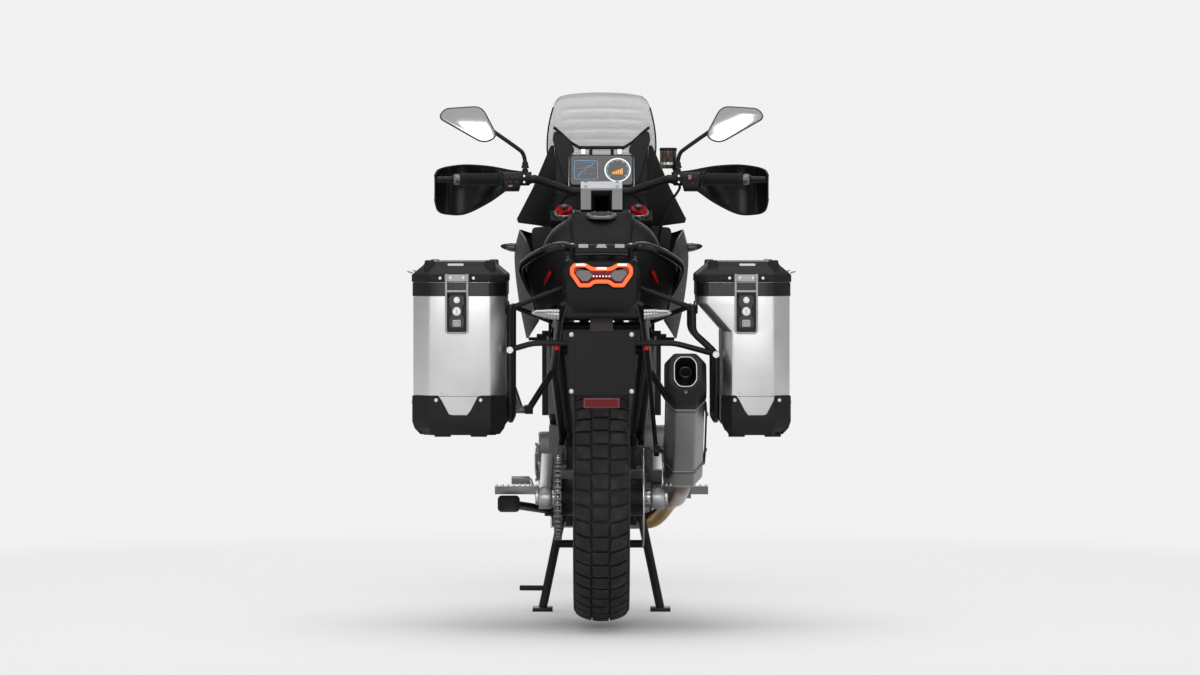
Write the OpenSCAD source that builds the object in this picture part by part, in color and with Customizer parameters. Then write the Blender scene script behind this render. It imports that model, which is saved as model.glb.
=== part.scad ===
// Adventure motorcycle on its centre stand.
// +Y is forwards, +X is the rider's right, +Z is up, and the floor is z = 0.
// The origin is on the floor, on the centre plane, halfway along the motorcycle.

/* [Wheels] */
// Distance between the two axles
wheelbase = 1610; // [1500:5:1700]
// Outer diameter of the front tyre
front_tyre_d = 694; // [660:2:720]
// Width of the front tyre
front_tyre_w = 90; // [80:1:110]
// Diameter of the front rim at the tyre's bead
front_rim_d = 534; // [480:1:560]
// Outer diameter of the rear tyre
rear_tyre_d = 666; // [620:2:690]
// Width of the rear tyre
rear_tyre_w = 150; // [120:1:170]
// Diameter of the rear rim at the tyre's bead
rear_rim_d = 457; // [420:1:500]
// Height of the rear tyre over the floor when the centre stand carries the machine
rear_lift = 15; // [8:1:30]
// Number of spokes in each wheel
spoke_count = 36; // [24:4:40]
// Diameter of the two front brake discs
front_disc_d = 320; // [260:5:330]
// Diameter of the rear brake disc
rear_disc_d = 265; // [200:5:280]
// Thickness of the brake discs
disc_t = 5; // [4:0.5:6]
// Diameter of the front axle
front_axle_d = 25; // [18:1:30]
// Diameter of the rear axle
rear_axle_d = 25; // [18:1:30]

/* [Steering] */
// Angle of the steering axis from upright
rake = 27; // [22:0.5:30]
// Distance on the floor from the steering axis back to the front tyre's contact
trail = 118; // [95:1:130]
// Height of the middle of the steering head
head_z = 980; // [930:5:1020]
// Length of the steering head tube
head_tube_l = 190; // [160:5:220]
// Diameter of the steering stem
stem_d = 35; // [28:1:40]
// Distance between the two fork tubes
fork_spacing = 220; // [200:2:250]
// Diameter of the upper fork tubes
fork_tube_d = 58; // [50:1:64]
// Diameter of the sliding fork legs
fork_leg_d = 48; // [38:1:50]
// How far the fork tubes stand ahead of the steering axis
yoke_offset = 30; // [24:1:40]
// Width over the two hand guards
bar_width = 976; // [900:2:1040]
// Diameter of the handlebar
bar_d = 25; // [22:1:29]
// Diameter of the grips
grip_d = 34; // [30:1:38]

/* [Rear frame] */
// Length of the swingarm from its pivot to the axle
swingarm_l = 588; // [540:2:640]
// Height of the swingarm pivot
pivot_z = 398; // [370:2:420]
// Diameter of the swingarm pivot shaft
pivot_d = 24; // [18:1:30]
// Distance of each swingarm beam's middle from the centre plane
beam_x = 152; // [146:1:170]
// Thickness of each swingarm beam
beam_t = 32; // [26:1:40]
// Teeth on the rear sprocket
rear_teeth = 44; // [38:1:48]
// Teeth on the drive sprocket
drive_teeth = 16; // [14:1:18]
// Pitch of the chain
chain_pitch = 15.875; // [12.7:3.175:15.875]
// Distance of the chain from the centre plane
chain_x = 117; // [112:1:122]

/* [Luggage] */
// Distance from the centre plane to the inner wall of a pannier
case_in_x = 256; // [250:1:280]
// Width of a pannier
case_w = 244; // [220:2:270]
// Length of a pannier
case_l = 480; // [420:5:520]
// Height of a pannier with its lid
case_h = 460; // [400:5:480]
// Height of the lid
lid_h = 56; // [45:1:70]
// Wall thickness of the pannier
case_wall = 3; // [2:0.5:6]
// Width of the cut-out that clears the silencer in the right pannier
cutout_w = 66; // [50:1:90]
// Diameter of the pannier rack's tubes
rack_d = 18; // [14:1:22]

/* [Body] */
// Height of the rider's saddle
saddle_z = 870; // [820:5:900]
// Width of the windscreen at its widest
screen_w = 326; // [280:2:360]
// Thickness of the windscreen
screen_t = 4; // [3:0.5:6]
// Width of the number plate
plate_w = 177; // [160:1:200]
// Height of the number plate
plate_h = 168; // [150:1:180]
// Distance between the plate's holes, across
plate_hole_w = 157; // [120:1:180]
// Distance between the plate's holes, up and down
plate_hole_h = 148; // [120:1:160]
// Distance between the carrier's holes, across
carrier_hole_w = 90; // [60:1:120]
// Distance between the carrier's holes, along
carrier_hole_l = 84; // [60:1:88]

/* [Stands] */
// Distance from the centre stand's pivot to its feet
stand_l = 276; // [260:1:300]
// How far ahead of their pivot the feet stand
stand_over = 60; // [30:1:90]
// Distance of each centre stand foot from the centre plane
stand_foot_x = 165; // [150:1:190]
// Diameter of the side stand's leg
side_leg_d = 24; // [18:1:30]

/* [Hidden] */
run_gap = 0.05;   // running clearance of a shaft in its bore, on the radius
seat_gap = 0.3;   // gap between soft or curved pieces that rest on each other
front_y = wheelbase / 2 + 27;
rear_y = front_y - wheelbase;
front_z = front_tyre_d / 2;
rear_z = rear_tyre_d / 2 + rear_lift;
pivot_y = rear_y + swingarm_l;
head_y = front_y + trail - head_z * tan(rake);
head = [0, head_y, head_z];
fork_x = fork_spacing / 2;
// the front axle seen from the steering head: ahead of the axis, and along it
axle_v = (front_y - head_y) * cos(rake) + (front_z - head_z) * sin(rake);
axle_w = -(front_y - head_y) * sin(rake) + (front_z - head_z) * cos(rake);
dark = [0.09, 0.09, 0.10];
grey = [0.33, 0.33, 0.35];
silver = [0.78, 0.78, 0.80];
rubber = [0.06, 0.06, 0.06];
bead_share = 0.36;   // half width of the bead over the tyre's width
flange_h = 10;
tyre_wall = 9;
front_hub_r = 42;
front_flange_x = 38;
front_disc_x = 58;
rear_hub_r = 62;
rear_flange_x = 60;
rear_disc_x = 112;
sprocket_t = 6;
drive_y = pivot_y + 95;
drive_z = pivot_z + 4;
beam_half_front = 36;
beam_half_rear = 30;
pivot_tube_d = pivot_d + 22;   // the arm's cross tube, which turns in the frame's plates
shock_eye_w = 24;
shock_low = [0, pivot_y - 196, pivot_z + 24];
shock_high = [0, pivot_y - 34, pivot_z + 322];
plate_x = 78;        // inner face of each pivot plate
plate_t = 20;
tube_d = 32;
low_z = 250;         // middle of the lower cradle tubes
// points that the frame's tubes run through, on the right side
tank_tube = [steer([18, -16, 40]), [118, head_y - 250, head_z - 112], [126, pivot_y + 62, pivot_z + 372], [plate_x + 10, pivot_y + 4, pivot_z + 60]];
cradle = [steer([20, -30, -40]), [92, head_y - 64, head_z - 350], [104, head_y - 122, low_z + 34], [104, head_y - 164, low_z],
    [110, pivot_y + 110, low_z], [plate_x + 10, pivot_y + 10, pivot_z - 72]];
cross_high = tank_tube[2] + (tank_tube[3] - tank_tube[2]) * 0.13;
// the cowl's stay, which leaves the steering head between the two yokes
stay_from = steer([16, 24, 10]);
cowl_y = head_y + 150;     // back edge of the cowl
stay_to = [36, cowl_y + 106, head_z + 96];
stay_d = 18;
engine_y = pivot_y + 56;   // back of the crankcase
engine_x = 160;            // half width of the crankcase's covers
case_right = 100;          // right wall of the crankcase
cyl_y = engine_y + 262;
cyl_z = pivot_z + 120;
head_front = 96;           // front face of the cylinder head, ahead of the cylinders' middle
cyl_lean = 14;             // forward lean of the cylinders
engine_low = pivot_z - 130;
radiator_y = head_y - 9;
radiator_z = pivot_z + 122;    // its lower edge
shroud_pin_z = radiator_z + 226;
shroud_pin_d = 14;
tank_front = head_y - 112;
tank_pin = [0, tank_front - 70, head_z - 20];
skid_low = 216;
header_d = 42;
collector = [48, engine_y + 44, skid_low + 5 + header_d / 2 + 1.5];
silencer_low = [222, rear_y + 190, pivot_z - 4];
silencer_high = [222, rear_y - 208, pivot_z + 292];
silencer_way = unit(silencer_high - silencer_low);
hanger = silencer_low + silencer_way * 127;     // where the silencer is bolted to the rear frame
hanger_x = 150;
tail_y = rear_y;
sub_x = 128;
sub_high = [[sub_x, pivot_y + 44, pivot_z + 380 + tube_d], [sub_x, pivot_y - 150, saddle_z - 70],
    [sub_x - 26, tail_y + 20, saddle_z + 4], [sub_x - 50, tail_y - 150, saddle_z + 30]];
sub_low = [[plate_x + plate_t + 12, pivot_y + 16, pivot_z + 76], [sub_x + 4, pivot_y - 210, saddle_z - 190],
    [sub_x - 14, tail_y + 60, saddle_z - 40], [sub_x - 26, tail_y + 20, saddle_z + 4]];
rest_hip = sub_low[1] + [70, -6, -110];         // where a pillion's footrest is carried
sub_d = 26;
tail_end = rear_y - 196;   // back of the tail unit
light_z = saddle_z + 75;
holder_half = 96;
holder_y = rear_y - 380;
plate_z = saddle_z - 150;
carrier_z = saddle_z + 158;
carrier_y = rear_y - 74;   // middle of the carrier's hole pattern
carrier_t = 8;
tank_rear = pivot_y + 186;
shroud_x = 236;
display_c = [0, head_y + 82, head_z + 262];
upright_at = stay_from + (stay_to - stay_from) * 0.4;
case_back = rear_y - 182;
case_top = saddle_z + 114;
case_low = case_top - case_h;
case_split = case_top - lid_h;
corner = 40;
cutout_z = case_split - 118;
rack_low = case_low + 36;
rack_high = case_split - 70;
lid_hinge = [0, case_back + case_l + 8, case_split + 8];
foot_in = plate_x + plate_t + seat_gap;
rack_x = case_in_x - 4 - rack_d / 2;
rack_step = cutout_w - 4;
case_puck = 3.7;
yoke_high = head_tube_l / 2 + 12;
yoke_low = -head_tube_l / 2 - 30;
yoke_t = 26;
clamp_w = 216;           // height of the handlebar over the middle of the head, along the axis
clamp_v = 20;
lug_in = front_disc_x + disc_t / 2 + 22;   // inner face of the axle lugs
caliper = [front_disc_x, axle_v - front_disc_d * 0.31, axle_w + front_disc_d * 0.25];
bar_z = 1217;
bar_y = 292;
// the bar's straight outer part runs from bar_in to bar_out
bar_in = [208, bar_y + 22, bar_z];
grip_in = 296;
grip_l = 116;
bar_out = [grip_in + grip_l + 24, bar_y - 24, bar_z - 2];
clamp_p = steer([0, clamp_v, clamp_w]);
reservoir = on_bar(grip_in - 100) + [0, 40, 32];
boss_h = 24;
perch = on_bar(grip_in - 68) + [0, 27, -11.2];      // where the brake hose leaves the right lever's perch
bend = on_bar(bar_in[0] - 12);     // where the bar turns in to the clamp
guard_y = bar_y;
guard_foot = [206, guard_y + 66, bar_z + 2];
mirror_foot = on_bar(grip_in - 72) + [0, 26, 6 + boss_h + seat_gap];
mirror_outline = [[87, 97], [107, 83], [130, 83], [248, 151], [232, 172], [140, 178], [124, 168]];
hose_d = 8;
hose_end = steer([caliper[0] + 12, caliper[1] - 8, caliper[2] + 100]);
hose_route = [perch, perch + [0, 0, -18], [204, 372, 1150], [178, 418, 1090], [162, 456, 980], [160, 520, 880], [150, 592, 770],
    [140, 606, 660], hose_end + (steer([0, 0, 60]) - head), hose_end + (steer([0, 0, 14]) - head), hose_end];
stand_pin_d = 18;
stand_pivot = [0, pivot_y - 140, sqrt(stand_l * stand_l - stand_over * stand_over)];
stand_foot = [stand_foot_x, stand_pivot[1] + stand_over, 0];
stand_hip = plate_x + plate_t + seat_gap;
side_tilt = 4.4;     // turn of the side stand's pivot from straight across
side_pivot = [-154, pivot_y + 150, 270];
side_foot = side_pivot + [-106, -230, 30];
port_w = 178;              // how far up the cylinders the exhaust ports are
link_d = 46;
bar_way = unit(bar_out - bar_in);
fender_gap = 20;
fender_t = 4;

$fn = 48;

// ---------------------------------------------------------------- helpers

function unit(v) = v / norm(v);
function rev(l) = [for (i = [len(l) - 1:-1:0]) l[i]];
function mirrored(p) = [for (q = p) [-q[0], q[1], q[2]]];
function power(c, e) = sign(c) * pow(abs(c), e);
function steer(p) = head + [p[0], p[1] * cos(rake) - p[2] * sin(rake), p[1] * sin(rake) + p[2] * cos(rake)];
function steered(l) = [for (p = l) steer(p)];

// a smooth curve through the points, with n steps between each two
function curve(p, n) = concat(
    [for (i = [0:len(p) - 2]) for (k = [0:n - 1]) curve_at(p, i, k / n)], [p[len(p) - 1]]);
function curve_at(p, i, t) = let (
    a = p[max(i - 1, 0)], b = p[i], c = p[i + 1], d = p[min(i + 2, len(p) - 1)])
    0.5 * (2 * b + (c - a) * t + (2 * a - 5 * b + 4 * c - d) * t * t + (3 * b - a - 3 * c + d) * t * t * t);

// unit tangents of a path, and a side vector carried along it without twist
function tangents(p) = [for (i = [0:len(p) - 1]) unit(p[min(i + 1, len(p) - 1)] - p[max(i - 1, 0)])];
function sides(t, i, u) = i >= len(t) ? [] :
    let (v = unit(u - (u * t[i]) * t[i])) concat([v], sides(t, i + 1, v));

// a closed skin over rings of points; each ring turns right-handed about the way the rings run
module skin(rings) {
    n = len(rings);
    m = len(rings[0]);
    middle = function (r) [for (c = [0:2]) [for (p = r) p[c]] * [for (p = r) 1] / m];
    points = concat([for (r = rings) each r], [middle(rings[0]), middle(rings[n - 1])]);
    walls = [for (i = [0:n - 2]) for (j = [0:m - 1]) let (k = (j + 1) % m)
        each [[i * m + j, (i + 1) * m + j, (i + 1) * m + k], [i * m + j, (i + 1) * m + k, i * m + k]]];
    first = [for (j = [0:m - 1]) [n * m, j, (j + 1) % m]];
    last = [for (j = [0:m - 1]) [n * m + 1, (n - 1) * m + (j + 1) % m, (n - 1) * m + j]];
    polyhedron(points = points, faces = concat(walls, first, last));
}

// a path whose corners are rounded, from r before each to r past it
function eased(p, r) = [p[0], for (i = [1:len(p) - 2]) let (a = unit(p[i - 1] - p[i]), b = unit(p[i + 1] - p[i]))
    each [for (t = [0:0.25:1]) p[i] + r * (a * pow(1 - t, 2) + b * pow(t, 2))], p[len(p) - 1]];

// a round tube along a path
module sweep(path, d, m = 10) {
    t = tangents(path);
    start = abs(t[0][0]) < 0.8 ? [1, 0, 0] : [0, 1, 0];
    u = sides(t, 0, start);
    skin([for (i = [0:len(path) - 1]) [for (j = [0:m - 1]) let (a = 360 * j / m)
        path[i] + d / 2 * (cos(a) * u[i] + sin(a) * cross(t[i], u[i]))]]);
}

// a straight round bar between two points
module bar(p, q, d) {
    v = q - p;
    translate(p)
        rotate([0, acos(v[2] / norm(v)), atan2(v[1], v[0])])
            cylinder(h = norm(v), d = d);
}

// straight bars through the points, with a slightly larger knuckle at each bend
module frame_run(p, d) {
    for (i = [0:len(p) - 2]) bar(p[i], p[i + 1], d);
    for (i = [1:len(p) - 2]) translate(p[i]) sphere(d = d * 1.08);
}

// a body along Y: each section is [y, half width, low z, high z, squareness], from front to rear
module hull_body(sections, m = 24, x = 0) {
    skin([for (s = sections) [for (j = [0:m - 1]) let (a = 360 * j / m)
        [x + s[1] * power(cos(a), 2 / s[4]), s[0], (s[2] + s[3]) / 2 + (s[3] - s[2]) / 2 * power(sin(a), 2 / s[4])]]]);
}

// a sheet over a grid of points, made thick along the vector d
module thick_sheet(g, d) between_sheets(g, [for (r = g) [for (p = r) p + d]]);

// the solid between two grids of points that lie side by side
module between_sheets(g, h) {
    nr = len(g);
    nc = len(g[0]);
    n = nr * nc;
    turned = cross(g[1][0] - g[0][0], g[0][1] - g[0][0]) * (h[0][0] - g[0][0]) > 0;
    points = concat([for (r = g) each r], [for (r = h) each r]);
    quad = function (a, b, c, e) [[a, e, c], [a, c, b]];
    front = [for (i = [0:nr - 2]) for (j = [0:nc - 2]) let (o = i * nc + j)
        each quad(o, o + nc, o + nc + 1, o + 1)];
    back = [for (i = [0:nr - 2]) for (j = [0:nc - 2]) let (o = n + i * nc + j)
        each quad(o, o + 1, o + nc + 1, o + nc)];
    rim = concat(
        [for (i = [0:nr - 2]) i * nc], [for (j = [0:nc - 2]) (nr - 1) * nc + j],
        [for (i = [nr - 1:-1:1]) i * nc + nc - 1], [for (j = [nc - 1:-1:1]) j]);
    edge = [for (k = [0:len(rim) - 1]) let (a = rim[k], b = rim[(k + 1) % len(rim)])
        each quad(a, n + a, n + b, b)];
    faces = concat(front, back, edge);
    polyhedron(points = points, faces = turned ? [for (f = faces) rev(f)] : faces);
}

// the front fender's surface at a distance o outside the tyre: k along it, u across it from -1 to 1
function fender_point(k, u, o) = let (
    a = k * 12.5 - 42,
    half = 62 - 10 * pow((k - 5) / 6, 2),
    r = front_tyre_d / 2 + o + 8 - 26 * u * u)
    [half * u, front_y - r * sin(a), front_z + r * cos(a)];

module both() {
    children();
    mirror([1, 0, 0]) children();
}

module along_x(p) {
    translate(p) rotate([0, 90, 0]) children();
}

// turns a drawing in the Y-Z plane into a plate from x = a to x = b
module side_plate(a, b) {
    translate([a, 0, 0]) rotate([90, 0, 90]) linear_extrude(b - a) children();
}

module in_steering() {
    translate(head) rotate([rake, 0, 0]) children();
}

// ---------------------------------------------------------------- wheels

// half of a tyre's section as [radius, half width]
function tyre_half(ro, rb, w) = let (h = ro - rb) [
    [rb, bead_share * w], [rb + flange_h, bead_share * w], [rb + 0.36 * h, 0.49 * w], [rb + 0.56 * h, 0.5 * w],
    [rb + 0.72 * h, 0.49 * w], [rb + 0.84 * h, 0.43 * w], [rb + 0.93 * h, 0.31 * w], [rb + 0.985 * h, 0.15 * w], [ro, 0]];

module tyre(ro, rb, w) {
    outer = tyre_half(ro, rb, w);
    inner = [for (p = tyre_half(ro - tyre_wall, rb, w - 2 * tyre_wall)) p];
    section = concat(
        [for (p = outer) [p[0], p[1]]], [for (i = [len(outer) - 2:-1:0]) [outer[i][0], -outer[i][1]]],
        [for (p = inner) [p[0], -p[1]]], [for (i = [len(inner) - 2:-1:0]) [inner[i][0], inner[i][1]]]);
    rotate([0, 90, 0]) rotate_extrude($fn = 96) polygon(section);
}

// rim, hub and spokes of one wheel, about X
module spoked_wheel(rb, w, hub_r, hub_w, flange_x, bore_d) {
    bw = bead_share * w + 0.3;
    rim_in = rb - 22;
    rotate([0, 90, 0]) difference() {
        rotate_extrude($fn = 96) polygon([
            [rb - 0.3, bw - 12], [rb - 0.3, bw], [rb + flange_h, bw], [rb + flange_h, bw + 5], [rb - 6, bw + 5],
            [rim_in, 16], [rim_in, -16], [rb - 6, -bw - 5], [rb + flange_h, -bw - 5], [rb + flange_h, -bw],
            [rb - 0.3, -bw], [rb - 0.3, -bw + 12], [rb - 14, -12], [rb - 14, 12]]);
    }
    difference() {
        union() {
            along_x([-hub_w / 2, 0, 0]) cylinder(r = hub_r - 12, h = hub_w);
            for (s = [-1, 1]) along_x([s * flange_x - 4, 0, 0]) cylinder(r = hub_r, h = 8);
            for (i = [0:spoke_count - 1]) {
                a = i * 360 / spoke_count;
                s = i % 2 == 0 ? 1 : -1;
                lean = (floor(i / 2) % 2 == 0 ? 1 : -1) * 42;
                // spokes that lean opposite ways lie side by side where they cross
                bar([s * (flange_x + 1) + sign(lean) * 3, (hub_r - 5) * cos(a + lean), (hub_r - 5) * sin(a + lean)],
                    [s * 8 + sign(lean) * 3, (rim_in + 4) * cos(a), (rim_in + 4) * sin(a)], 5);
            }
        }
        along_x([-hub_w, 0, 0]) cylinder(d = bore_d + 2 * run_gap, h = 2 * hub_w);
    }
}

// a brake disc with its carrier, at x = 0, with a hole that clears the hub's boss
module brake_disc(d, hole_r, arms) {
    band = 32;
    rotate([0, 90, 0]) translate([0, 0, -disc_t / 2]) difference() {
        cylinder(d = d, h = disc_t, $fn = 96);
        // windows between the arms
        for (i = [0:arms - 1]) rotate([0, 0, (i + 0.5) * 360 / arms]) translate([0, 0, -1]) linear_extrude(disc_t + 2)
            window(hole_r + 16, d / 2 - band, 180 / arms, 8);
        translate([0, 0, -1]) cylinder(r = hole_r, h = disc_t + 2);
    }
}

// a window between two radii, half as wide as the angle h less a margin m
module window(r1, r2, h, m) {
    polygon([for (q = [[r1, -1], [r2, -1], [r2, -0.5], [r2, 0], [r2, 0.5], [r2, 1], [r1, 1]])
        let (a = (h - asin(m / q[0])) * q[1]) q[0] * [cos(a), sin(a)]]);
}

module front_tyre() color(rubber) translate([0, front_y, front_z]) tyre(front_tyre_d / 2, front_rim_d / 2, front_tyre_w);

module rear_tyre() color(rubber) translate([0, rear_y, rear_z]) tyre(rear_tyre_d / 2, rear_rim_d / 2, rear_tyre_w);

module front_wheel() color(dark) translate([0, front_y, front_z])
    spoked_wheel(front_rim_d / 2, front_tyre_w, front_hub_r, 2 * (front_disc_x - disc_t / 2) - 2 * seat_gap,
        front_flange_x, front_axle_d);

module rear_wheel() color(dark) translate([0, rear_y, rear_z])
    spoked_wheel(rear_rim_d / 2, rear_tyre_w, rear_hub_r, 2 * (rear_disc_x - disc_t / 2) - 2 * seat_gap,
        rear_flange_x, rear_axle_d);

module front_discs() color(silver) translate([0, front_y, front_z])
    both() translate([front_disc_x, 0, 0]) brake_disc(front_disc_d, front_axle_d / 2 + 2, 8);

module rear_disc() color(silver) translate([rear_disc_x, rear_y, rear_z]) brake_disc(rear_disc_d, rear_axle_d / 2 + 2, 6);

// ---------------------------------------------------------------- chain drive

function pitch_r(teeth) = chain_pitch / sin(180 / teeth) / 2;
function tooth_outline(teeth, tip, root) = [for (i = [0:teeth - 1]) let (a = 360 * i / teeth, s = 360 / teeth)
    each [for (q = [[-0.5, root], [-0.26, root + 0.5], [-0.12, tip], [0.12, tip], [0.26, root + 0.5]])
        [q[1] * cos(a + q[0] * s), q[1] * sin(a + q[0] * s)]]];

module sprocket(teeth, hole_r) {
    r = pitch_r(teeth);
    rotate([0, 90, 0]) translate([0, 0, -sprocket_t / 2]) difference() {
        linear_extrude(sprocket_t) polygon(tooth_outline(teeth, r + 3.5, r - 5.5));
        translate([0, 0, -1]) cylinder(r = hole_r, h = sprocket_t + 2);
        if (r > 60) for (i = [0:5]) rotate([0, 0, i * 60 + 30]) translate([r * 0.66, 0, -1])
            cylinder(r = r * 0.17, h = sprocket_t + 2);
    }
}

module rear_sprocket() color(silver) translate([-chain_x, rear_y, rear_z]) difference() {
    union() {
        sprocket(rear_teeth, rear_axle_d / 2 + 2);
        // carrier between the sprocket and the hub
        along_x([0, 0, 0]) cylinder(r = 54, h = chain_x - (rear_disc_x - disc_t / 2) - seat_gap + 0.6);
    }
    along_x([-sprocket_t, 0, 0]) cylinder(r = rear_axle_d / 2 + 2, h = 60);
}

// the loop at a distance o outside the chain's pitch line, as points in the Y-Z plane
function loop_outline(o) = let (
    r1 = pitch_r(rear_teeth), r2 = pitch_r(drive_teeth), dy = drive_y - rear_y, dz = drive_z - rear_z,
    base = atan2(dz, dy), lean = acos((r1 - r2) / norm([dy, dz])))
    concat(
        [for (k = [0:20]) let (a = base + lean + (360 - 2 * lean) * k / 20)
            [rear_y + (r1 + o) * cos(a), rear_z + (r1 + o) * sin(a)]],
        [for (k = [0:10]) let (a = base - lean + 2 * lean * k / 10)
            [drive_y + (r2 + o) * cos(a), drive_z + (r2 + o) * sin(a)]]);

module chain() color(grey) {
    half = 11;
    plate_t = 2.5;
    for (s = [-half, half - plate_t]) side_plate(-chain_x + s, -chain_x + s + plate_t) difference() {
        polygon(loop_outline(7.5));
        polygon(loop_outline(-7.5));
    }
    o = loop_outline(4);
    i = loop_outline(-4);
    // the rollers of the two straight runs, between the plates
    for (k = [[20, 21], [31, 0]]) {
        a = o[k[0]] + (o[k[1]] - o[k[0]]) * 0.06;
        b = o[k[0]] + (o[k[1]] - o[k[0]]) * 0.94;
        c = i[k[0]] + (i[k[1]] - i[k[0]]) * 0.94;
        d = i[k[0]] + (i[k[1]] - i[k[0]]) * 0.06;
        side_plate(-chain_x - half + 0.5, -chain_x + half - 0.5) polygon([a, b, c, d]);
    }
}

// ---------------------------------------------------------------- swingarm and rear axle

module swingarm() color(grey) difference() {
    union() {
        both() side_plate(beam_x - beam_t / 2, beam_x + beam_t / 2) polygon(concat(
            [for (a = [90:15:270]) [rear_y - 26 + beam_half_rear * cos(a), rear_z + beam_half_rear * sin(a)]],
            [[rear_y + 140, rear_z - beam_half_front], [pivot_y - 40, pivot_z - beam_half_front - 4]],
            [for (a = [-90:15:90]) [pivot_y + beam_half_front * 0.8 * cos(a), pivot_z + beam_half_front * 0.8 * sin(a)]],
            [[pivot_y - 60, pivot_z + beam_half_front + 6], [rear_y + 160, rear_z + beam_half_front]]));
        translate([-beam_x, pivot_y - 232, pivot_z - 48]) cube([2 * beam_x, 62, 52]);
        along_x([-beam_x, pivot_y, pivot_z]) cylinder(d = pivot_tube_d, h = 2 * beam_x);
        // lugs for the shock's lower eye
        both() side_plate(shock_eye_w / 2 + seat_gap, shock_eye_w / 2 + 9) translate([shock_low[1], shock_low[2]]) {
            circle(d = 34);
            translate([-17, -24]) square([34, 24]);
        }
    }
    along_x([-2 * beam_x, rear_y, rear_z]) cylinder(d = rear_axle_d + 2 * run_gap, h = 4 * beam_x);
    along_x([-2 * beam_x, pivot_y, pivot_z]) cylinder(d = pivot_d + 2 * run_gap, h = 4 * beam_x);
}

module rear_axle() color(silver) {
    arm_out = beam_x + beam_t / 2 + seat_gap;
    along_x([-arm_out, rear_y, rear_z]) cylinder(d = rear_axle_d, h = 2 * arm_out);
    for (s = [-1, 1]) along_x([s > 0 ? arm_out : -arm_out - 10, rear_y, rear_z]) cylinder(d = rear_axle_d + 16, h = 10, $fn = 6);
    // spacers between the arms and the hub's bearings
    along_x([rear_disc_x + disc_t / 2 + seat_gap, rear_y, rear_z])
        cylinder(d = rear_axle_d + 12, h = beam_x - beam_t / 2 - rear_disc_x - disc_t / 2 - 2 * seat_gap);
    along_x([-beam_x + beam_t / 2 + seat_gap, rear_y, rear_z])
        cylinder(d = rear_axle_d + 12, h = beam_x - beam_t / 2 - chain_x - sprocket_t / 2 - 2 * seat_gap);
}

module rear_shock() color([0.7, 0.1, 0.1]) {
    v = shock_high - shock_low;
    bar(shock_low, shock_high, 16);
    bar(shock_low + v * 0.13, shock_low + v * 0.72, 62);
    bar(shock_low + v * 0.74, shock_low + v * 0.93, 46);
    for (p = [shock_low, shock_high]) along_x([-shock_eye_w / 2, p[1], p[2]]) cylinder(d = 28, h = shock_eye_w);
}

module rear_caliper() color(dark) {
    x = rear_disc_x + disc_t / 2 + 2;
    // a bracket on the right arm, with the two halves of the caliper astride the disc
    translate([x + 6, rear_y + 62, rear_z + beam_half_front + seat_gap]) cube([beam_x + beam_t / 2 - x - 10, 90, 32]);
    translate([x, rear_y + 66, rear_z + 66]) cube([22, 72, 60]);
    translate([x - disc_t - 24, rear_y + 66, rear_z + 80]) cube([20, 72, 46]);
    translate([x - disc_t - 24, rear_y + 78, rear_z + 118]) cube([46, 46, 14]);
}

// ---------------------------------------------------------------- frame and engine

module main_frame() color(dark) {
    difference() {
        union() {
            in_steering() translate([0, 0, -head_tube_l / 2]) cylinder(d = 66, h = head_tube_l);
            both() {
                frame_run(tank_tube, tube_d);
                frame_run(cradle, tube_d - 4);
                bar(steer([18, -26, -50]), tank_tube[1], tube_d - 8);
                side_plate(plate_x, plate_x + plate_t) polygon([
                    [pivot_y - 34, pivot_z + 60], [pivot_y - 34, pivot_z - 60], [pivot_y - 162, pivot_z - 104],
                    [pivot_y - 162, pivot_z - 152], [pivot_y + 20, pivot_z - 128], [pivot_y + 52, pivot_z - 60],
                    [pivot_y + 46, pivot_z + 90], [pivot_y - 10, pivot_z + 96]]);
                bar(stay_from, stay_to, stay_d);
            }
            translate([-52, stay_to[1] - 3, stay_to[2] - 16]) cube([104, cowl_y + 120 - seat_gap - stay_to[1] + 3, 44]);
            // cross tubes: over the shock, and behind the engine
            along_x([-cross_high[0], cross_high[1], cross_high[2]]) cylinder(d = 30, h = 2 * cross_high[0]);
            along_x([-plate_x - 10, pivot_y + 36, pivot_z - 96]) cylinder(d = 26, h = 2 * plate_x + 20);
            // lugs for the shock's upper eye
            both() side_plate(shock_eye_w / 2 + seat_gap, shock_eye_w / 2 + 9) polygon([
                [shock_high[1] - 17, shock_high[2] - 15], [cross_high[1], cross_high[2] - 12], [cross_high[1], cross_high[2] + 12],
                [shock_high[1] - 17, shock_high[2] + 15]]);
            // bracket for the side stand
            translate(side_pivot) rotate([0, 90, side_tilt]) translate([0, 0, 8 + seat_gap]) cylinder(d = 42, h = 38);
        }
        in_steering() translate([0, 0, -head_tube_l]) cylinder(d = stem_d + 2 * run_gap, h = 2 * head_tube_l);
        along_x([-200, pivot_y, pivot_z]) cylinder(d = pivot_tube_d + 2 * run_gap, h = 400);
        along_x([-200, stand_pivot[1], stand_pivot[2]]) cylinder(d = stand_pin_d + 2 * run_gap, h = 400);
    }
}

// a point beside the cylinders: v ahead of their middle and w up along them
function by_cylinder(x, v, w) = [x, cyl_y + v * cos(cyl_lean) + w * sin(cyl_lean), cyl_z - v * sin(cyl_lean) + w * cos(cyl_lean)];

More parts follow.
